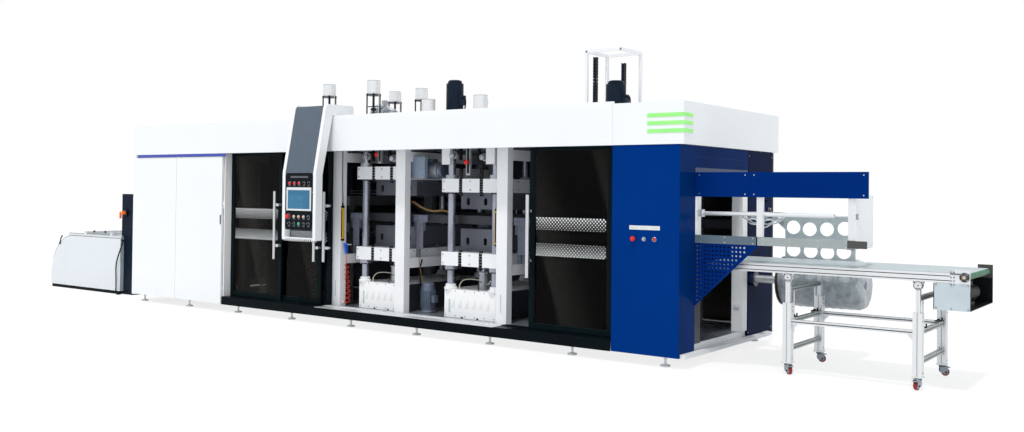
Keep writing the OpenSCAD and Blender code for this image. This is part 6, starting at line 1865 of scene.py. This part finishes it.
class LINE_OT_roof(Operator):
    """Finishes the roof's cans, stands, pump, servo motors, mast and chains"""

    bl_idname = "line.roof"
    bl_label = "Roof fittings"

    def execute(self, context):
        trim, rings, caps, lines = Shape(), Shape(), Shape(), []
        for x, y, stand, high in CANS:
            z = ROOF_Z + stand
            rings.lathe((x, y, z + 12), UP, [(75.2, 0), (84, 0), (85, 1), (85, high - 9),
                (84, high - 8), (75.2, high - 8)], 44)
            if stand:
                hose(f"can_line_{len(lines)}",
                    [(x + 83, y - 20, z + high - 30), (x + 112, y - 26, z + high - 20),
                    (x + 132, y - 30, z + high - 60), (x + 124, y - 30, z + 30),
                    (x + 112, y - 24, ROOF_Z + 60), (x + 110, y - 20, ROOF_Z + 3)], 4, "tube pale",
                    sides=8)
                lines.append(x)
            caps.lathe((x, y, z + high + 5.8), UP, [(0, 0), (85, 0), (85, 4), (84, 5), (0, 5)], 44)
            if stand:
                for a in range(4):
                    t = math.pi / 4 + a * math.pi / 2
                    cx, cy = x + 82 * math.cos(t), y + 82 * math.sin(t)
                    trim.rod((cx, cy, z - 1), (cx, cy, z + 10), 13, 6)
                    trim.lathe((cx, cy, ROOF_Z + 8), UP, [(9.2, 0), (15, 0), (15, 14), (9.2, 16)],
                        16)
                trim.lathe((x, y, ROOF_Z + stand * 0.42), UP,
                    [(15.2, 0), (34, 0), (36, 6), (36, 24), (34, 30), (15.2, 30)], 28)
                trim.box((x - 92, y - 8, ROOF_Z + stand * 0.55),
                    (x + 92, y + 8, ROOF_Z + stand * 0.55 + 12))
        trim.piece("stand_trim", "moulded black", edge=1, angle=40)
        rings.piece("can_jackets", "aluminium upright", angle=40)
        caps.piece("can_caps", "zinc sheet", slot="aluminium", angle=40)
        self.pump()
        self.servos()
        self.mast()
        self.deck()
        return {"FINISHED"}

    def pump(self):
        ribs, pipes = Shape(), Shape()
        for k in range(11):
            x = 4138 + k * 19
            ribs.lathe((x, 910, 2696.6), RIGHT, [(90.2, 0), (99, 2), (99, 7), (90.2, 9)], 40)
        for k in range(7):
            x = 4360 + k * 13
            ribs.lathe((x, 910, 2686.6), RIGHT, [(60.2, 0), (67, 1), (67, 5), (60.2, 6)], 32)
        ribs.lathe((4458.6, 910, 2686.6), RIGHT,
            [(0, 0), (58, 0), (66, 6), (66, 30), (54, 38), (0, 38)], 36)
        ribs.lathe((4130.5, 910, 2696.6), LEFT,
            [(0, 0), (84, 0), (80, 14), (52, 22), (30, 22), (30, 40), (0, 40)], 36)
        ribs.box((4200, 880, 2780), (4290, 940, 2830))
        ribs.lathe((4310, 910, 2784), UP, [(0, 0), (34, 0), (34, 40), (44, 42), (44, 92), (36, 98),
            (0, 98)], 28)
        pipes.rod((4380, 860, 2606), (4380, 860, 2566.4), 9, 14)
        ribs.piece("pump_ribs", "silver", angle=40)
        for name, points, radius, look in (
                ("pump_pipe_1", [(4310, 870, 2810), (4310, 800, 2812), (4330, 700, 2790),
                (4380, 620, 2740), (4440, 560, 2690),
                                 (4470, 540, 2640), (4472, 536, 2576)], 16, "aluminium"),
                ("pump_pipe_2", [(4090, 910, 2696), (4040, 905, 2690), (3980, 860, 2660),
                (3930, 800, 2640), (3900, 760, 2600),
                                 (3896, 752, 2567)], 12, "rubber"),
                ("pump_pipe_3", [(4250, 940, 2805), (4250, 1010, 2808), (4270, 1120, 2780),
                (4330, 1260, 2700), (4360, 1380, 2640),
                                 (4372, 1410, 2567)], 12, "aluminium")):
            hose(name, points, radius, look,
                slot="aluminium" if look == "aluminium" else "black_rubber", sides=16)
        fan = Shape()
        for k in range(16):
            t = math.tau * k / 16
            fan.rod((4497.2, 910 + 14 * math.cos(t), 2686.6 + 14 * math.sin(t)),
                    (4497.2, 910 + 50 * math.cos(t), 2686.6 + 50 * math.sin(t)), 1.6, 6)
        fan.piece("pump_guard", "moulded black")

    def servos(self):
        tops, plates = Shape(), Shape()
        for x, y, d, h in ((5600, 800, 215, 440), (7700, 1140, 230, 350)):
            z = ROOF_Z + 16 + h
            tops.lathe((x, y, z + 19.6), UP, [(0, 0), (d * 0.40, 0), (d * 0.38, 16), (d * 0.30, 24),
                (0, 26)], 40)
            tops.box((x + d / 2 - 6, y - 46, ROOF_Z + h * 0.42),
                (x + d / 2 + 34, y + 46, ROOF_Z + h * 0.70))
            tops.lathe((x, y, ROOF_Z + 15.6), UP,
                [(d * 0.5, 0), (d * 0.54, 0), (d * 0.54, h * 0.07), (d * 0.5, h * 0.08)], 44)
            plates.rod((x + d / 2 + 34.6, y - 20, ROOF_Z + h * 0.62),
                (x + d / 2 + 58, y - 20, ROOF_Z + h * 0.62), 13, 20, 11)
        tops.piece("servo_tops", "navy", edge=3, angle=40)
        plates.piece("servo_plugs", "moulded black")
        for k, (x, y, z) in enumerate(((5765, 780, ROOF_Z + 273), (7873, 1120, ROOF_Z + 217))):
            hose(f"servo_cable_{k + 1}", [(x, y, z), (x + 16, y, z - 6), (x + 26, y - 4, z - 60),
                (x + 20, y - 8, z - 140), (x + 22, y - 8, ROOF_Z + 4)], 9, "rubber", sides=12)

    def mast(self):
        plates, heads = Shape(), []
        for x, y in ((7430, 900), (7430, 1346), (7876, 1346)):
            plates.box((x - 26, y - 26, ROOF_Z), (x + 58, y + 58, ROOF_Z + 8))
            for u in (-14, 46):
                for v in (-14, 46):
                    heads.append((x + u, y + v, ROOF_Z + 8, UP))
        plates.piece("mast_feet", "machine white", edge=1)
        fittings("mast_bolts", bolt(8, 7), heads, "handle steel")
        caps = Shape()
        for x, y in ((7430, 900), (7876, 900), (7430, 1346), (7876, 1346)):
            caps.box((x + 2, y + 2, 3314.6), (x + 30, y + 30, 3314.9))
        caps.piece("mast_caps", "moulded black")
        link = Shape()
        for u in (-19, 13):
            link.box((u, -27, -15), (u + 6, 27, 15))
        link.box((-14, -24, -4), (14, -18, 4))
        link.box((-14, 18, -4), (14, 24, 4))
        holder = bpy.data.objects.new("tray_link", link.part("tray_link"))
        for k, (x, y, reach) in enumerate(((7450, 1100, 620), (7690, 1330, 560))):
            run = [at(x, y, ROOF_Z + 66 + s * 10) for s in range(int(reach / 10))]
            made = grown("tray", line_curve("tray", run), chain_pattern,
                         {"Link": holder, "Pitch": 0.034, "Finish": coat("moulded black")})
            finished(f"mast_chain_{k + 1}", made, "moulded black")
        bpy.data.objects.remove(holder)

    def deck(self):
        """Folded joints, lifting eyes and cable ducts on the roof."""
        seams, eyes, duct = Shape(), Shape(), Shape()
        for x in range(1100, 9000, 1130):
            seams.box((x, 70, ROOF_Z - 0.6), (x + 36, 2330, ROOF_Z + 5))
        for x in (400, 2300, 6900, 8700):
            for y in (1900, 2290):
                eyes.lathe((x, y, ROOF_Z), UP,
                    [(0, 0), (30, 0), (30, 8), (18, 12), (16, 22), (0, 22)], 24)
                ring = [(22 * math.cos(math.tau * k / 20),
                    22 * math.sin(math.tau * k / 20)) for k in range(21)]
                for (a, b), (c, d) in zip(ring, ring[1:]):
                    eyes.rod((x + a, y, ROOF_Z + 42 + b), (x + c, y, ROOF_Z + 42 + d), 6.5, 10)
        duct.box((2400, 1640, ROOF_Z), (8200, 1760, ROOF_Z + 60))
        duct.box((2396, 1634, ROOF_Z + 60), (8204, 1766, ROOF_Z + 66))
        seams.piece("roof_joints", "white", edge=1)
        flash, near, far, side = Shape(), 60.6, 2349.4, 9069.4
        for low, high in (((near, near), (side, near + 2.4)), ((near, far - 2.4), (side, far)),
                          ((near, near + 2.6), (near + 2.4, far - 2.6)),
                          ((side - 2.4, near + 2.6), (side, far - 2.6))):
            flash.box((*low, ROOF_Z), (*high, 2596))
        flash.piece("roof_flashing", "white")
        eyes.piece("lifting_eyes", "column steel", angle=40)
        duct.piece("roof_duct", "zinc sheet", edge=1.5)


# -------------------------------------------------------------------- outfeed

GUARD_Y = 350.0
WEB_Y = 1476.7
ROLL = (9470.0, 1750.0, 770.0)
LEGS_X = (9990.0, 11170.0)
LEGS_Y = (490.0, 1360.0)
BED_Z = 955.0


def sheet_with_holes(name, outline, holes, thickness):
    """A flat sheet in the drawing's X and Z, with round or oval holes, as metres."""
    curve = bpy.data.curves.new(name, "CURVE")
    curve.dimensions = "2D"
    curve.fill_mode = "BOTH"
    curve.extrude = thickness / 2000
    runs = [outline] + [[(x + a * math.cos(math.tau * k / 28),
        z + b * math.sin(math.tau * k / 28)) for k in range(28)]
                        for x, z, a, b in holes]
    for run in runs:
        spline = curve.splines.new("POLY")
        spline.points.add(len(run) - 1)
        for point, (x, z) in zip(spline.points, run):
            point.co = (x / 1000, z / 1000, 0, 1)
        spline.use_cyclic_u = True
    holder = bpy.data.objects.new(name, curve)
    mesh = bpy.data.meshes.new_from_object(holder)
    bpy.data.objects.remove(holder)
    return mesh


class LINE_OT_outfeed(Operator):
    """Builds the scrap web and roll, and the guard's screws, brackets and seams"""

    bl_idname = "line.outfeed"
    bl_label = "Scrap and guard"

    def execute(self, context):
        self.web()
        self.roll()
        self.guard()
        return {"FINISHED"}

    def web(self):
        outline = [(9108, 1440), (9300, 1432), (9470, 1424), (9575, 1330), (9582, 1180),
            (9578, 1000), (9590, 795),
                   (9900, 800), (10200, 794), (10318, 800), (10312, 1100), (10322, 1300),
                   (10318, 1478), (10100, 1486),
                   (9900, 1492), (9700, 1500), (9520, 1512), (9300, 1516), (9108, 1508)]
        holes = [(9668 + c * 177 + 6 * math.sin(c * 5 + r * 3),
            879 + r * 235 + 9 * math.sin(c * 2 + r), 73 + 4 * math.sin(c * 3), 71)
                 for r in range(3) for c in range(4)]
        holes += [(9160 + k * 124, 1472, 52, 23) for k in range(4)]
        mesh = sheet_with_holes("web", outline, holes, 2.2)
        for vertex in mesh.vertices:
            x, z, side = vertex.co
            wave = 0.0011 * math.sin(x * 31) * math.cos(z * 23) + 0.0006 * math.sin(z * 57)
            place = at(x * 1000, WEB_Y + 1.5, z * 1000)
            vertex.co = place + Vector((0, -side * 0.6 + wave, 0))
        web = finished("scrap_skeleton", mesh, clear_film("scrap_film", (0.52, 0.60, 0.62), 0.95),
            "cabinet", "film_clear")
        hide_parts("scrap_web")
        for k, (sag, phase, wide) in enumerate(((64, 0.0, 9), (96, 1.4, 7), (34, 2.6, 8))):
            run = [(9108 + 23 * i, 1450 - sag * math.sin(math.pi * i / 20)
                 + 9 * math.sin(i * 0.9 + phase)) for i in range(21)]
            edge = [(x, z + wide) for x, z in run] + [(x, z - wide) for x, z in reversed(run)]
            mesh = sheet_with_holes("strand", edge, [], 2)
            for vertex in mesh.vertices:
                x, z, side = vertex.co
                vertex.co = at(x * 1000, WEB_Y - 12 * k - 8 + 6 * math.sin(x * 40 + phase),
                    z * 1000) + Vector((0, -side * 0.6, 0))
            finished(f"scrap_strand_{k + 1}", mesh, "soft white")

    def roll(self):
        x, y, z = ROLL
        long, wide = 866, 270
        rings, sides = 60, 72
        bm = bmesh.new()
        grid = []
        for r in range(rings + 1):
            run = r / rings
            row = []
            for k in range(sides):
                turn = math.tau * k / sides
                round_off = min(1, run * 14) ** 0.5 * min(1, (1 - run) * 10) ** 0.5
                lump = (4.0 * math.sin(turn * 5 + run * 9) + 3.0 * math.sin(turn * 11 - run * 23)
                        + 2.4 * math.sin(run * 61 + turn * 3))
                radius = wide - 9 - 34 * (1 - round_off) + lump * 0.8
                row.append(bm.verts.new((x + run * long, y + radius * math.cos(turn),
                    z + radius * math.sin(turn))))
            grid.append(row)
        for a, b in zip(grid, grid[1:]):
            for k in range(sides):
                bm.faces.new((a[k], a[(k + 1) % sides], b[(k + 1) % sides], b[k]))
        for row in (grid[0], grid[-1]):
            inner = [bm.verts.new((v.co.x + (2 if row is grid[0] else -2),
                y + (v.co.y - y) * 41.6 / math.hypot(v.co.y - y, v.co.z - z),
                                   z + (v.co.z - z) * 41.6 / math.hypot(v.co.y - y,
                                   v.co.z - z))) for v in row]
            for k in range(sides):
                bm.faces.new((row[k], row[(k + 1) % sides], inner[(k + 1) % sides], inner[k]))
            if row is grid[0]:
                first = inner
        for k in range(sides):
            bm.faces.new((first[k], first[(k + 1) % sides], inner[(k + 1) % sides], inner[k]))
        shape = Shape()
        shape.bm.free()
        shape.bm = bm
        body = shape.piece("scrap_coil", "scrap mist", "scrap", angle=50)
        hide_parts("scrap_roll")
        core = Shape()
        core.rod((END_X + 4, y, z), (x + long - 2, y, z), 41, 40)
        core.piece("scrap_spindle", "aluminium", "scrap", edge=1, angle=40)
        disc = Shape().rod((x - 13, y, z), (x - 1, y, z), 260, 64)
        disc.piece("scrap_disc", "dark metal and painted shade", "scrap", edge=1, angle=40)
        clamp = Shape()
        clamp.lathe((x + long - 1, y, z), RIGHT,
            [(0, 0), (40, 0), (40, 10), (30, 16), (14, 16), (14, 19), (0, 19)], 32)
        for a in range(3):
            t = math.tau * a / 3
            clamp.rod((x - 14, y + 200 * math.cos(t), z + 200 * math.sin(t)),
                (x - 19, y + 200 * math.cos(t), z + 200 * math.sin(t)), 14, 6)
        clamp.piece("scrap_clamps", "column steel", "scrap", angle=40)

    def guard(self):
        heads = [(x, GUARD_Y - 4, z, FRONT) for x in (9150, 9400, 9690, 9790, 10050, 10320,
            10580) for z in (1226, 1278)]
        heads += [(x, GUARD_Y - 8, z, FRONT) for x in (9130, 9610, 9700, 10735) for z in (1700,
            1884)]
        heads += [(10654, y, z, RIGHT) for y in (390, 870) for z in (1240, 1440, 1680)]
        heads += [(END_X, y, z, RIGHT) for y in (1675, 2330) for z in (180, 900, 1500, 2120)]
        fittings("guard_screws", bolt(8, 4), heads, "handle steel")
        joints = Shape()
        joints.box((9724, 344.6, 1211.6), (9736, 347, 1293))
        joints.box((10588, 343.5, 1208), (10652, 346, 1212))
        for y0, y1, z0, z1 in ((358, 1640, 2065, 2067), (358, 360, 2067, 2176),
                (1640, 1642, 1212, 2176)):
            joints.box((END_X - 0.6, y0, z0), (END_X + 0.7, y1, z1))
        joints.piece("guard_joints", "moulded black")
        # the rail's end piece in near-black metal: painted shade
        tail = Shape().box((10592, 337, 1222), (10768, 345.4, 1290))
        tail.piece("guard_tail", "dark metal and painted shade", slot="grey_paint", edge=1)
        # strip on the end wall in the darker end blue: painted shade
        valance = Shape().box((END_X - 5, 356, 1904), (END_X - 0.6, 1644, 1959.6))
        valance.piece("portal_valance", "end wall painted shade blue", edge=0.8)
        knob = Shape()
        knob.lathe((END_X, 2240, 1530), RIGHT,
            [(0, 0), (17, 0), (17, 4), (12, 6), (12, 14), (16, 16), (16, 24), (0, 26)], 28)
        knob.lathe((10650.4, 412, 1507), RIGHT, [(0, 4.2), (20, 4.2), (20, 10), (9, 14), (0, 14)],
            24)
        for y in (388, 436):
            knob.rod((10654, y, 1526), (10661, y, 1526), 8, 6)
            knob.rod((10654, y, 1488), (10661, y, 1488), 8, 6)
        knob.piece("guard_knobs", "tool steel", angle=40)


class LINE_OT_conveyor(Operator):
    """Adds the conveyor's slot covers, bearings, screws, motor fins, hand wheels and casters' parts"""

    bl_idname = "line.conveyor"
    bl_label = "Conveyor fittings"

    def execute(self, context):
        self.covers()
        self.bearings()
        self.screws()
        self.drive()
        self.casters()
        return {"FINISHED"}

    def covers(self):
        strips, posts = Shape(), Shape()
        for z in (BED_Z + 16, BED_Z + 56):
            strips.box((9182, 452.4, z + 0.4), (11438, 455.6, z + 7.6))
            strips.box((9182, 1394.4, z + 0.4), (11468, 1397.6, z + 7.6))
        for x in LEGS_X:
            for y in LEGS_Y:
                for s in (-1, 1):
                    a, b = sorted((s * 36.4, s * 38.6))
                    posts.box((x + a, y - 3.6, 120), (x + b, y + 3.6, 674))
                    posts.box((x - 3.6, y + a, 120), (x + 3.6, y + b, 674))
        strips.piece("bed_slot_covers", "dark metal and painted shade", "conveyor")
        posts.piece("leg_slot_covers", "grey alloy and painted shade")
        rails = Shape()
        for y in LEGS_Y:
            for z in (480, 520):
                rails.box((10031, y - 6, z - 0.5 if z < 500 else z - 0.4),
                    (11129, y + 6, z + 0.4 if z < 500 else z + 0.5))
            rails.box((10031, y - 20.6, 495), (11129, y - 19.6, 505))
        for x in LEGS_X:
            for z in (220, 480):
                rails.box((x + 19.6, 531, z + 15), (x + 20.6, 1319, z + 25))
        rails.piece("rail_slots", "dark metal and painted shade")
        high = Shape()
        for x in LEGS_X:
            high.box((x + 19.6, 512, 795), (x + 20.6, 1338, 805))
        high.piece("cross_slots", "dark metal and painted shade", "conveyor")

    def bearings(self):
        dark, gold, nuts = Shape(), Shape(), []
        x, z = 11555, 1010
        for y, way in ((432, -1), (1418, 1)):
            dark.lathe((x, y, z), (0, way, 0),
                [(12.6, -17.6), (39, -17.6), (41, -12), (38, -4), (30, 0), (26, 4), (18, 6),
                (12.6, 6)], 44)
            gold.lathe((x, y + way * 6.2, z), (0, way, 0), [(12.4, 0), (17, 0), (17, 3), (12.4, 3)],
                32)
            for a in range(4):
                t = math.tau * (a + 0.5) / 4
                nuts.append((x + 32 * math.cos(t), y + way * -2, z + 32 * math.sin(t), (0, way, 0)))
        dark.piece("roller_bearings", "dark metal and painted shade", "conveyor", angle=40)
        gold.piece("bearing_rings", "brass", "conveyor")
        for px in (11446, 11470):
            for pz in (945, 975, 1005, 1050):
                nuts.append((px, 450, pz, FRONT))
        for px in LEGS_X:
            for py in (470, 1380):
                way = -1 if py < 900 else 1
                nuts.append((px, py, 915, (0, way, 0)))
                nuts += [(px + u, py, 945, (0, way, 0)) for u in (-34, 34)]
        nuts += [(px, 450, pz, FRONT) for px in (11325, 11450, 11585) for pz in (735, 940)]
        fittings("conveyor_nuts", bolt(10, 8), nuts, "column steel", "conveyor")
        plates = Shape()
        for px in LEGS_X:
            for py, way in ((470, -1), (1380, 1)):
                plates.lathe((px, py, 915), (0, way, 0),
                    [(34, 0), (39, 0), (39, 2), (37, 3.5), (34, 3.5)], 36)
                plates.prism([(px - 22, 897), (px - 14, 888), (px + 14, 888), (px + 22, 897),
                    (px + 12, 894), (px - 12, 894)], "y", *sorted((py, py + way * 1.5)))
        plates.box((11438, 443.6, 1031), (11594, 449.8, 1040))
        plates.piece("pivot_rings", "dark metal and painted shade", "conveyor", "grey_paint", angle=40)
        guide = Shape().box((11563, 492, 981.5), (11566, 1358, 987))
        guide.piece("belt_scraper", "yellow", "conveyor")

    def screws(self):
        heads = []
        for x in LEGS_X:
            for y in LEGS_Y:
                heads += [(x + 20 * s, y + 40 if y < 900 else y - 40, z,
                    (0, 1 if y < 900 else -1, 0)) for s in (-1, 1) for z in (470, 530, 210, 270)]
                heads += [(x + s * 40, y, z, (s, 0, 0)) for s in (-1, 1) for z in (640, 600, 150)]
                heads += [(x + u, y + v, 107.9, DOWN) for u in (-38, 38) for v in (-38, 38)]
        fittings("leg_screws", bolt(8, 6), heads, "column steel")
        wheels = Shape()
        for x in LEGS_X:
            for y in (640, 1210):
                wheels.lathe((x, y, 528.4), UP, [(30, 0), (36, 0), (37, 5), (34, 10), (30, 10)], 32)
                wheels.rod((x + 30, y, 533), (x + 30, y, 566), 6, 16, 8)
                wheels.lathe((x, y, 538.4), UP, [(7.4, 0), (14, 0), (14, 12), (12, 14), (7.4, 14)],
                    24)
        wheels.piece("hand_wheels", "moulded black", angle=40)

    def drive(self):
        place = Matrix.Translation(at(11470, 925, 835)) @ Matrix.Rotation(math.pi / 2, 4, "X")
        made = grown("belt_motor", bpy.data.meshes.new("belt_motor"), fin_pattern, {
            "Fins": 30, "Radius": 0.075, "Depth": 0.014, "Thickness": 0.0025, "Height": 0.24,
            "Finish": coat("black")}, place)
        finished("belt_motor_fins", made, "black", "conveyor")
        parts = Shape()
        parts.lathe((11470, 1109, 835), BACK, [(0, 0), (66, 0), (70, 8), (70, 40), (58, 50),
            (0, 50)], 40)
        parts.box((11430, 860, 905), (11510, 980, 947))
        parts.piece("belt_motor_cover", "moulded black", "conveyor", edge=3, angle=40)
        # black sheets on the motor box's far wall, side and floor, where the inside is in shade:
        # painted shade
        plate = Shape()
        plate.box((11302, 453, 721.4), (11306, 1397, 950))
        plate.box((11310, 1393, 724.4), (11597, 1397, 950))
        plate.box((11306.4, 453, 721.4), (11597, 1392, 723.8))
        plate.piece("motor_box_lining", "moulded black", "conveyor")
        chain = []
        for k in range(41):
            t = math.tau * k / 40
            up = math.sin(t)
            chain.append((11470 + 42 * math.cos(t) + (85 if up > 0 else 0) * max(0, up), 490,
                835 + 42 * up + (133 if up > 0 else 0) * max(0, up)))
        hose("drive_belt", chain, 4, "rubber", "conveyor", steps=1)

    def casters(self):
        for k in range(1, 5):
            low, high = extent(f"caster_wheel_{k}")
            mid = (low + high) / 2
            turn = Matrix.Rotation(math.radians((-40, -100, 20, 30)[k - 1]), 4, "Z")
            axle = (turn @ Vector((0, 1, 0))).normalized()
            hubs = Shape()
            for way in (-1, 1):
                hubs.lathe(mid + axle * way * 12.2, axle * way,
                    [(15, 0), (24, 0), (24, 2.2), (15, 1.6)], 28)
            hubs.piece(f"caster_hub_{k}", "fork grey and painted end shade", f"wheel_{k}", angle=40)
            bolts = Shape()
            for way in (-1, 1):
                bolts.rod(mid + axle * way * 23.5, mid + axle * way * 30, 9, 6)
            ahead = turn @ Vector((1, 0, 0))
            pad = mid + ahead * 26 + Vector((0, 0, 47))
            bolts.rod(pad - axle * 22, pad + axle * 22, 4, 12)
            bolts.rod(mid - ahead * 28 + Vector((0, 0, 52)), mid - ahead * 28 + Vector((0, 0, 58)),
                33, 32)
            bolts.piece(f"caster_bolts_{k}", "moulded black", f"fork_{k}", angle=40)


# ----------------------------------------------------- unwinder and panel trim

UNWIND = (-2890.0, -850.0)


class LINE_OT_unwinder(Operator):
    """Adds the unwinder's edge trim, rails, knobs, flanges, screws and post parts"""

    bl_idname = "line.unwinder"
    bl_label = "Unwinder fittings"

    def execute(self, context):
        x0, x1 = UNWIND
        low, high = extent("unwinder_panels")
        y0, y1 = low.y, high.y
        arc = [(x0 + 630 + 630.6 * math.cos(t), 190 + 690.6 * math.sin(t))
               for t in [math.pi / 2 + k * math.pi / 28 for k in range(11)]]
        top = [(x1 - 2, 880.6), (x0 + 630, 880.6)] + arc[1:]
        trim = Shape()
        for (xa, za), (xb, zb) in zip(top, top[1:]):
            for face in (y0, y1):
                trim.rod((xa, face + (1.5 if face == y0 else -1.5), za),
                    (xb, face + (1.5 if face == y0 else -1.5), zb), 3.4, 8)
        trim.piece("panel_trim", "moulded black", angle=50)
        rails, knobs, heads = Shape(), Shape(), []
        for y in (y0 + 8, y1 - 52):
            rails.box((x0 + 520, y + 4, 914.4), (x0 + 985, y + 40, 924))
            rails.box((x0 + 1060, y + 4, 914.4), (x0 + 1730, y + 40, 932))
            rails.box((x0 + 1810, y + 4, 914.4), (x1, y + 40, 924))
            rails.box((x0 + 1080, y + 10, 932.4), (x0 + 1700, y + 34, 950))
            for x in (x0 + 1240, x0 + 1560):
                knobs.lathe((x, y + 22, 950.4), UP,
                    [(0, 0), (8, 0), (8, 12), (17, 14), (18, 26), (14, 32), (0, 33)], 24)
            heads += [(x, y + 22, 924, UP) for x in (x0 + 560, x0 + 900, x0 + 1850, x1 - 40)]
            heads += [(x, y - 6.4, 950, FRONT) for x in (x0 + 1006, x0 + 1034, x0 + 1756,
                x0 + 1784)]
        rails.piece("guide_rails", "grey alloy and painted shade", slot="aluminium", edge=1)
        knobs.piece("guide_knobs", "navy", slot="black_plastic", angle=40)
        for x in (x0 + 90, x0 + 420, x0 + 900, x0 + 1400, x1 - 60):
            heads += [(x, y0, 86, FRONT), (x, y1, 86, BACK)]
        heads += [(x1, y, z, RIGHT) for y in (y0 + 18, y1 - 18) for z in (120, 500, 850)]
        fittings("unwinder_screws", bolt(7, 3.5), heads, "tool steel")
        flanges = Shape()
        for y, way in ((y0 + 128, 1), (y1 - 128, -1)):
            flanges.lathe((x0 + 960, y + way * 40, 505), (0, way, 0),
                          [(31, 0), (110, 0), (110, 6), (88, 12), (74, 14), (60, 40), (40, 44),
                          (31, 44)], 44)
        flanges.piece("spool_flanges", "column steel", "film", angle=40)
        self.post()
        return {"FINISHED"}

    def post(self):
        x = -930.0
        ring, hinge = Shape(), Shape()
        ring.lathe((x + 120, 394, 1290), FRONT,
            [(34, 0), (56, 0), (56, 2), (52, 4), (38, 5), (34, 5)], 44)
        for k in range(4):
            t = math.tau * (k + 0.5) / 4
            hinge.rod((x + 120 + 48 * math.cos(t), 394.5, 1290 + 48 * math.sin(t)),
                (x + 120 + 48 * math.cos(t), 388.6, 1290 + 48 * math.sin(t)), 4, 12)
        for z in (300, 1400):
            hinge.lathe((x + 283, 508, z), UP, [(0, 0), (7, 0), (7, 60), (0, 60)], 16)
        hinge.box((x + 8, 506.4, 760), (x + 30, 512, 860))
        for a, b in ((-10, 14), (300, 40)):
            hinge.rod((x + a + 4, 440, 11.8), (x + a + 4, 440, 24), 9, 6)
        ring.piece("isolator_ring", "panel black", angle=40)
        hinge.piece("post_fittings", "tool steel", angle=40)


class LINE_OT_trim(Operator):
    """Adds hinges, locks, panel screws, rear handles, louvres, post plates and the infeed slot's frame
    and rollers
    """

    bl_idname = "line.trim"
    bl_label = "Cabinet trim"

    def execute(self, context):
        self.rear()
        self.front()
        self.infeed()
        return {"FINISHED"}

    def rear(self):
        grips, locks, slats, seals = Shape(), Shape(), Shape(), Shape()
        step = (END_X - 60) / 8
        for k in range(8):
            x0 = 30 + k * step
            y = 2386.0
            x = x0 + (110 if k % 2 else step - 110)
            grips.box((x - 9, y - 1, 1120), (x + 9, y + 13, 1138))
            grips.box((x - 9, y - 1, 1342), (x + 9, y + 13, 1360))
            grips.box((x - 9, y + 12, 1120), (x + 9, y + 22, 1360))
            locks.lathe((x, y - 1, 1060), BACK, [(0, 0), (15, 0), (15, 5), (11, 8), (0, 8)], 28)
            locks.lathe((x, y - 1, 1420), BACK, [(0, 0), (15, 0), (15, 5), (11, 8), (0, 8)], 28)
            for level in range(14):
                for z0 in (330, 1760):
                    z = z0 + level * 19
                    slats.prism([(y - 1, z), (y + 9, z - 5), (y + 9, z - 3), (y - 1, z + 9)], "x",
                        x0 + step / 2 - 190, x0 + step / 2 + 190)
            for z in (300, 1140, 1980):
                hx = x0 + (step - 24 if k % 2 else 24)
                seals.rod((hx, y + 6, z), (hx, y + 6, z + 90), 7, 14)
        grips.piece("rear_grips", "moulded black", edge=3)
        locks.piece("rear_locks", "handle steel")
        slats.piece("rear_louvres", "white")
        seals.piece("rear_hinges", "handle steel")

    def front(self):
        heads = [(x, 0, 2592, FRONT) for x in range(60, 9060, 600)]
        heads += [(x, 10, 120, FRONT) for x in range(2400, 8300, 840)]
        plates = Shape()
        for x, z in ((4092, 330), (6742, 330)):
            plates.box((x - 9, 268.4, z), (x + 9, 270.2, z + 210))
        plates.box((3905, -1.6, 2184), (3908, 0.4, 2596))
        plates.piece("post_plates", "zinc sheet", edge=0.4)
        fittings("panel_screws", bolt(4, 1.6), heads, "white")

    def infeed(self):
        guide, rolls = Shape(), Shape()
        guide.box((-26, 430, 1250), (0.5, 450, 1500))
        guide.box((-26, 1960, 1250), (0.5, 1980, 1500))
        guide.box((-26, 450.4, 1488), (0.5, 1959.6, 1500))
        guide.box((-26, 450.4, 1250), (0.5, 1959.6, 1262))
        for z in (1345, 1400):
            rolls.rod((-14, 450.6, z), (-14, 1959.4, z), 11, 28)
        guide.piece("slot_frame", "machine white", edge=1.5)
        rolls.piece("slot_rollers", "chrome")


# --------------------------------------------------------------------- panel

STEPS = (LINE_OT_stage, LINE_OT_cords, LINE_OT_paint, LINE_OT_leaves, LINE_OT_pendant,
    LINE_OT_corner,
         LINE_OT_floor, LINE_OT_presses, LINE_OT_drives, LINE_OT_roof, LINE_OT_outfeed,
         LINE_OT_conveyor,
         LINE_OT_unwinder, LINE_OT_trim)


class LINE_PT_fittings(Panel):
    """Makes the line's stage, finishes and fittings, one group at a time"""

    bl_idname = "LINE_PT_fittings"
    bl_label = "Forming Line"
    bl_space_type = "VIEW_3D"
    bl_region_type = "UI"
    bl_category = "Forming Line"

    def draw(self, context):
        for settings in (context.scene.line_stage, context.scene.line_finishes,
                context.scene.line_sizes):
            box = self.layout.box()
            for key in settings.__annotations__:
                box.prop(settings, key)
        column = self.layout.column(align=True)
        for step in STEPS:
            column.operator(step.bl_idname)


SETTINGS = {"line_stage": LineStage, "line_finishes": LineFinishes, "line_sizes": LineSizes}


def register():
    for made in (*SETTINGS.values(), *STEPS, LINE_PT_fittings):
        bpy.utils.register_class(made)
    for name, made in SETTINGS.items():
        setattr(bpy.types.Scene, name, PointerProperty(type=made))


def unregister():
    for name in SETTINGS:
        delattr(bpy.types.Scene, name)
    for made in reversed((*SETTINGS.values(), *STEPS, LINE_PT_fittings)):
        bpy.utils.unregister_class(made)


def main():
    register()
    for step in STEPS:
        group, name = step.bl_idname.split(".")
        getattr(getattr(bpy.ops, group), name)()


if __name__ == "__main__":
    main()
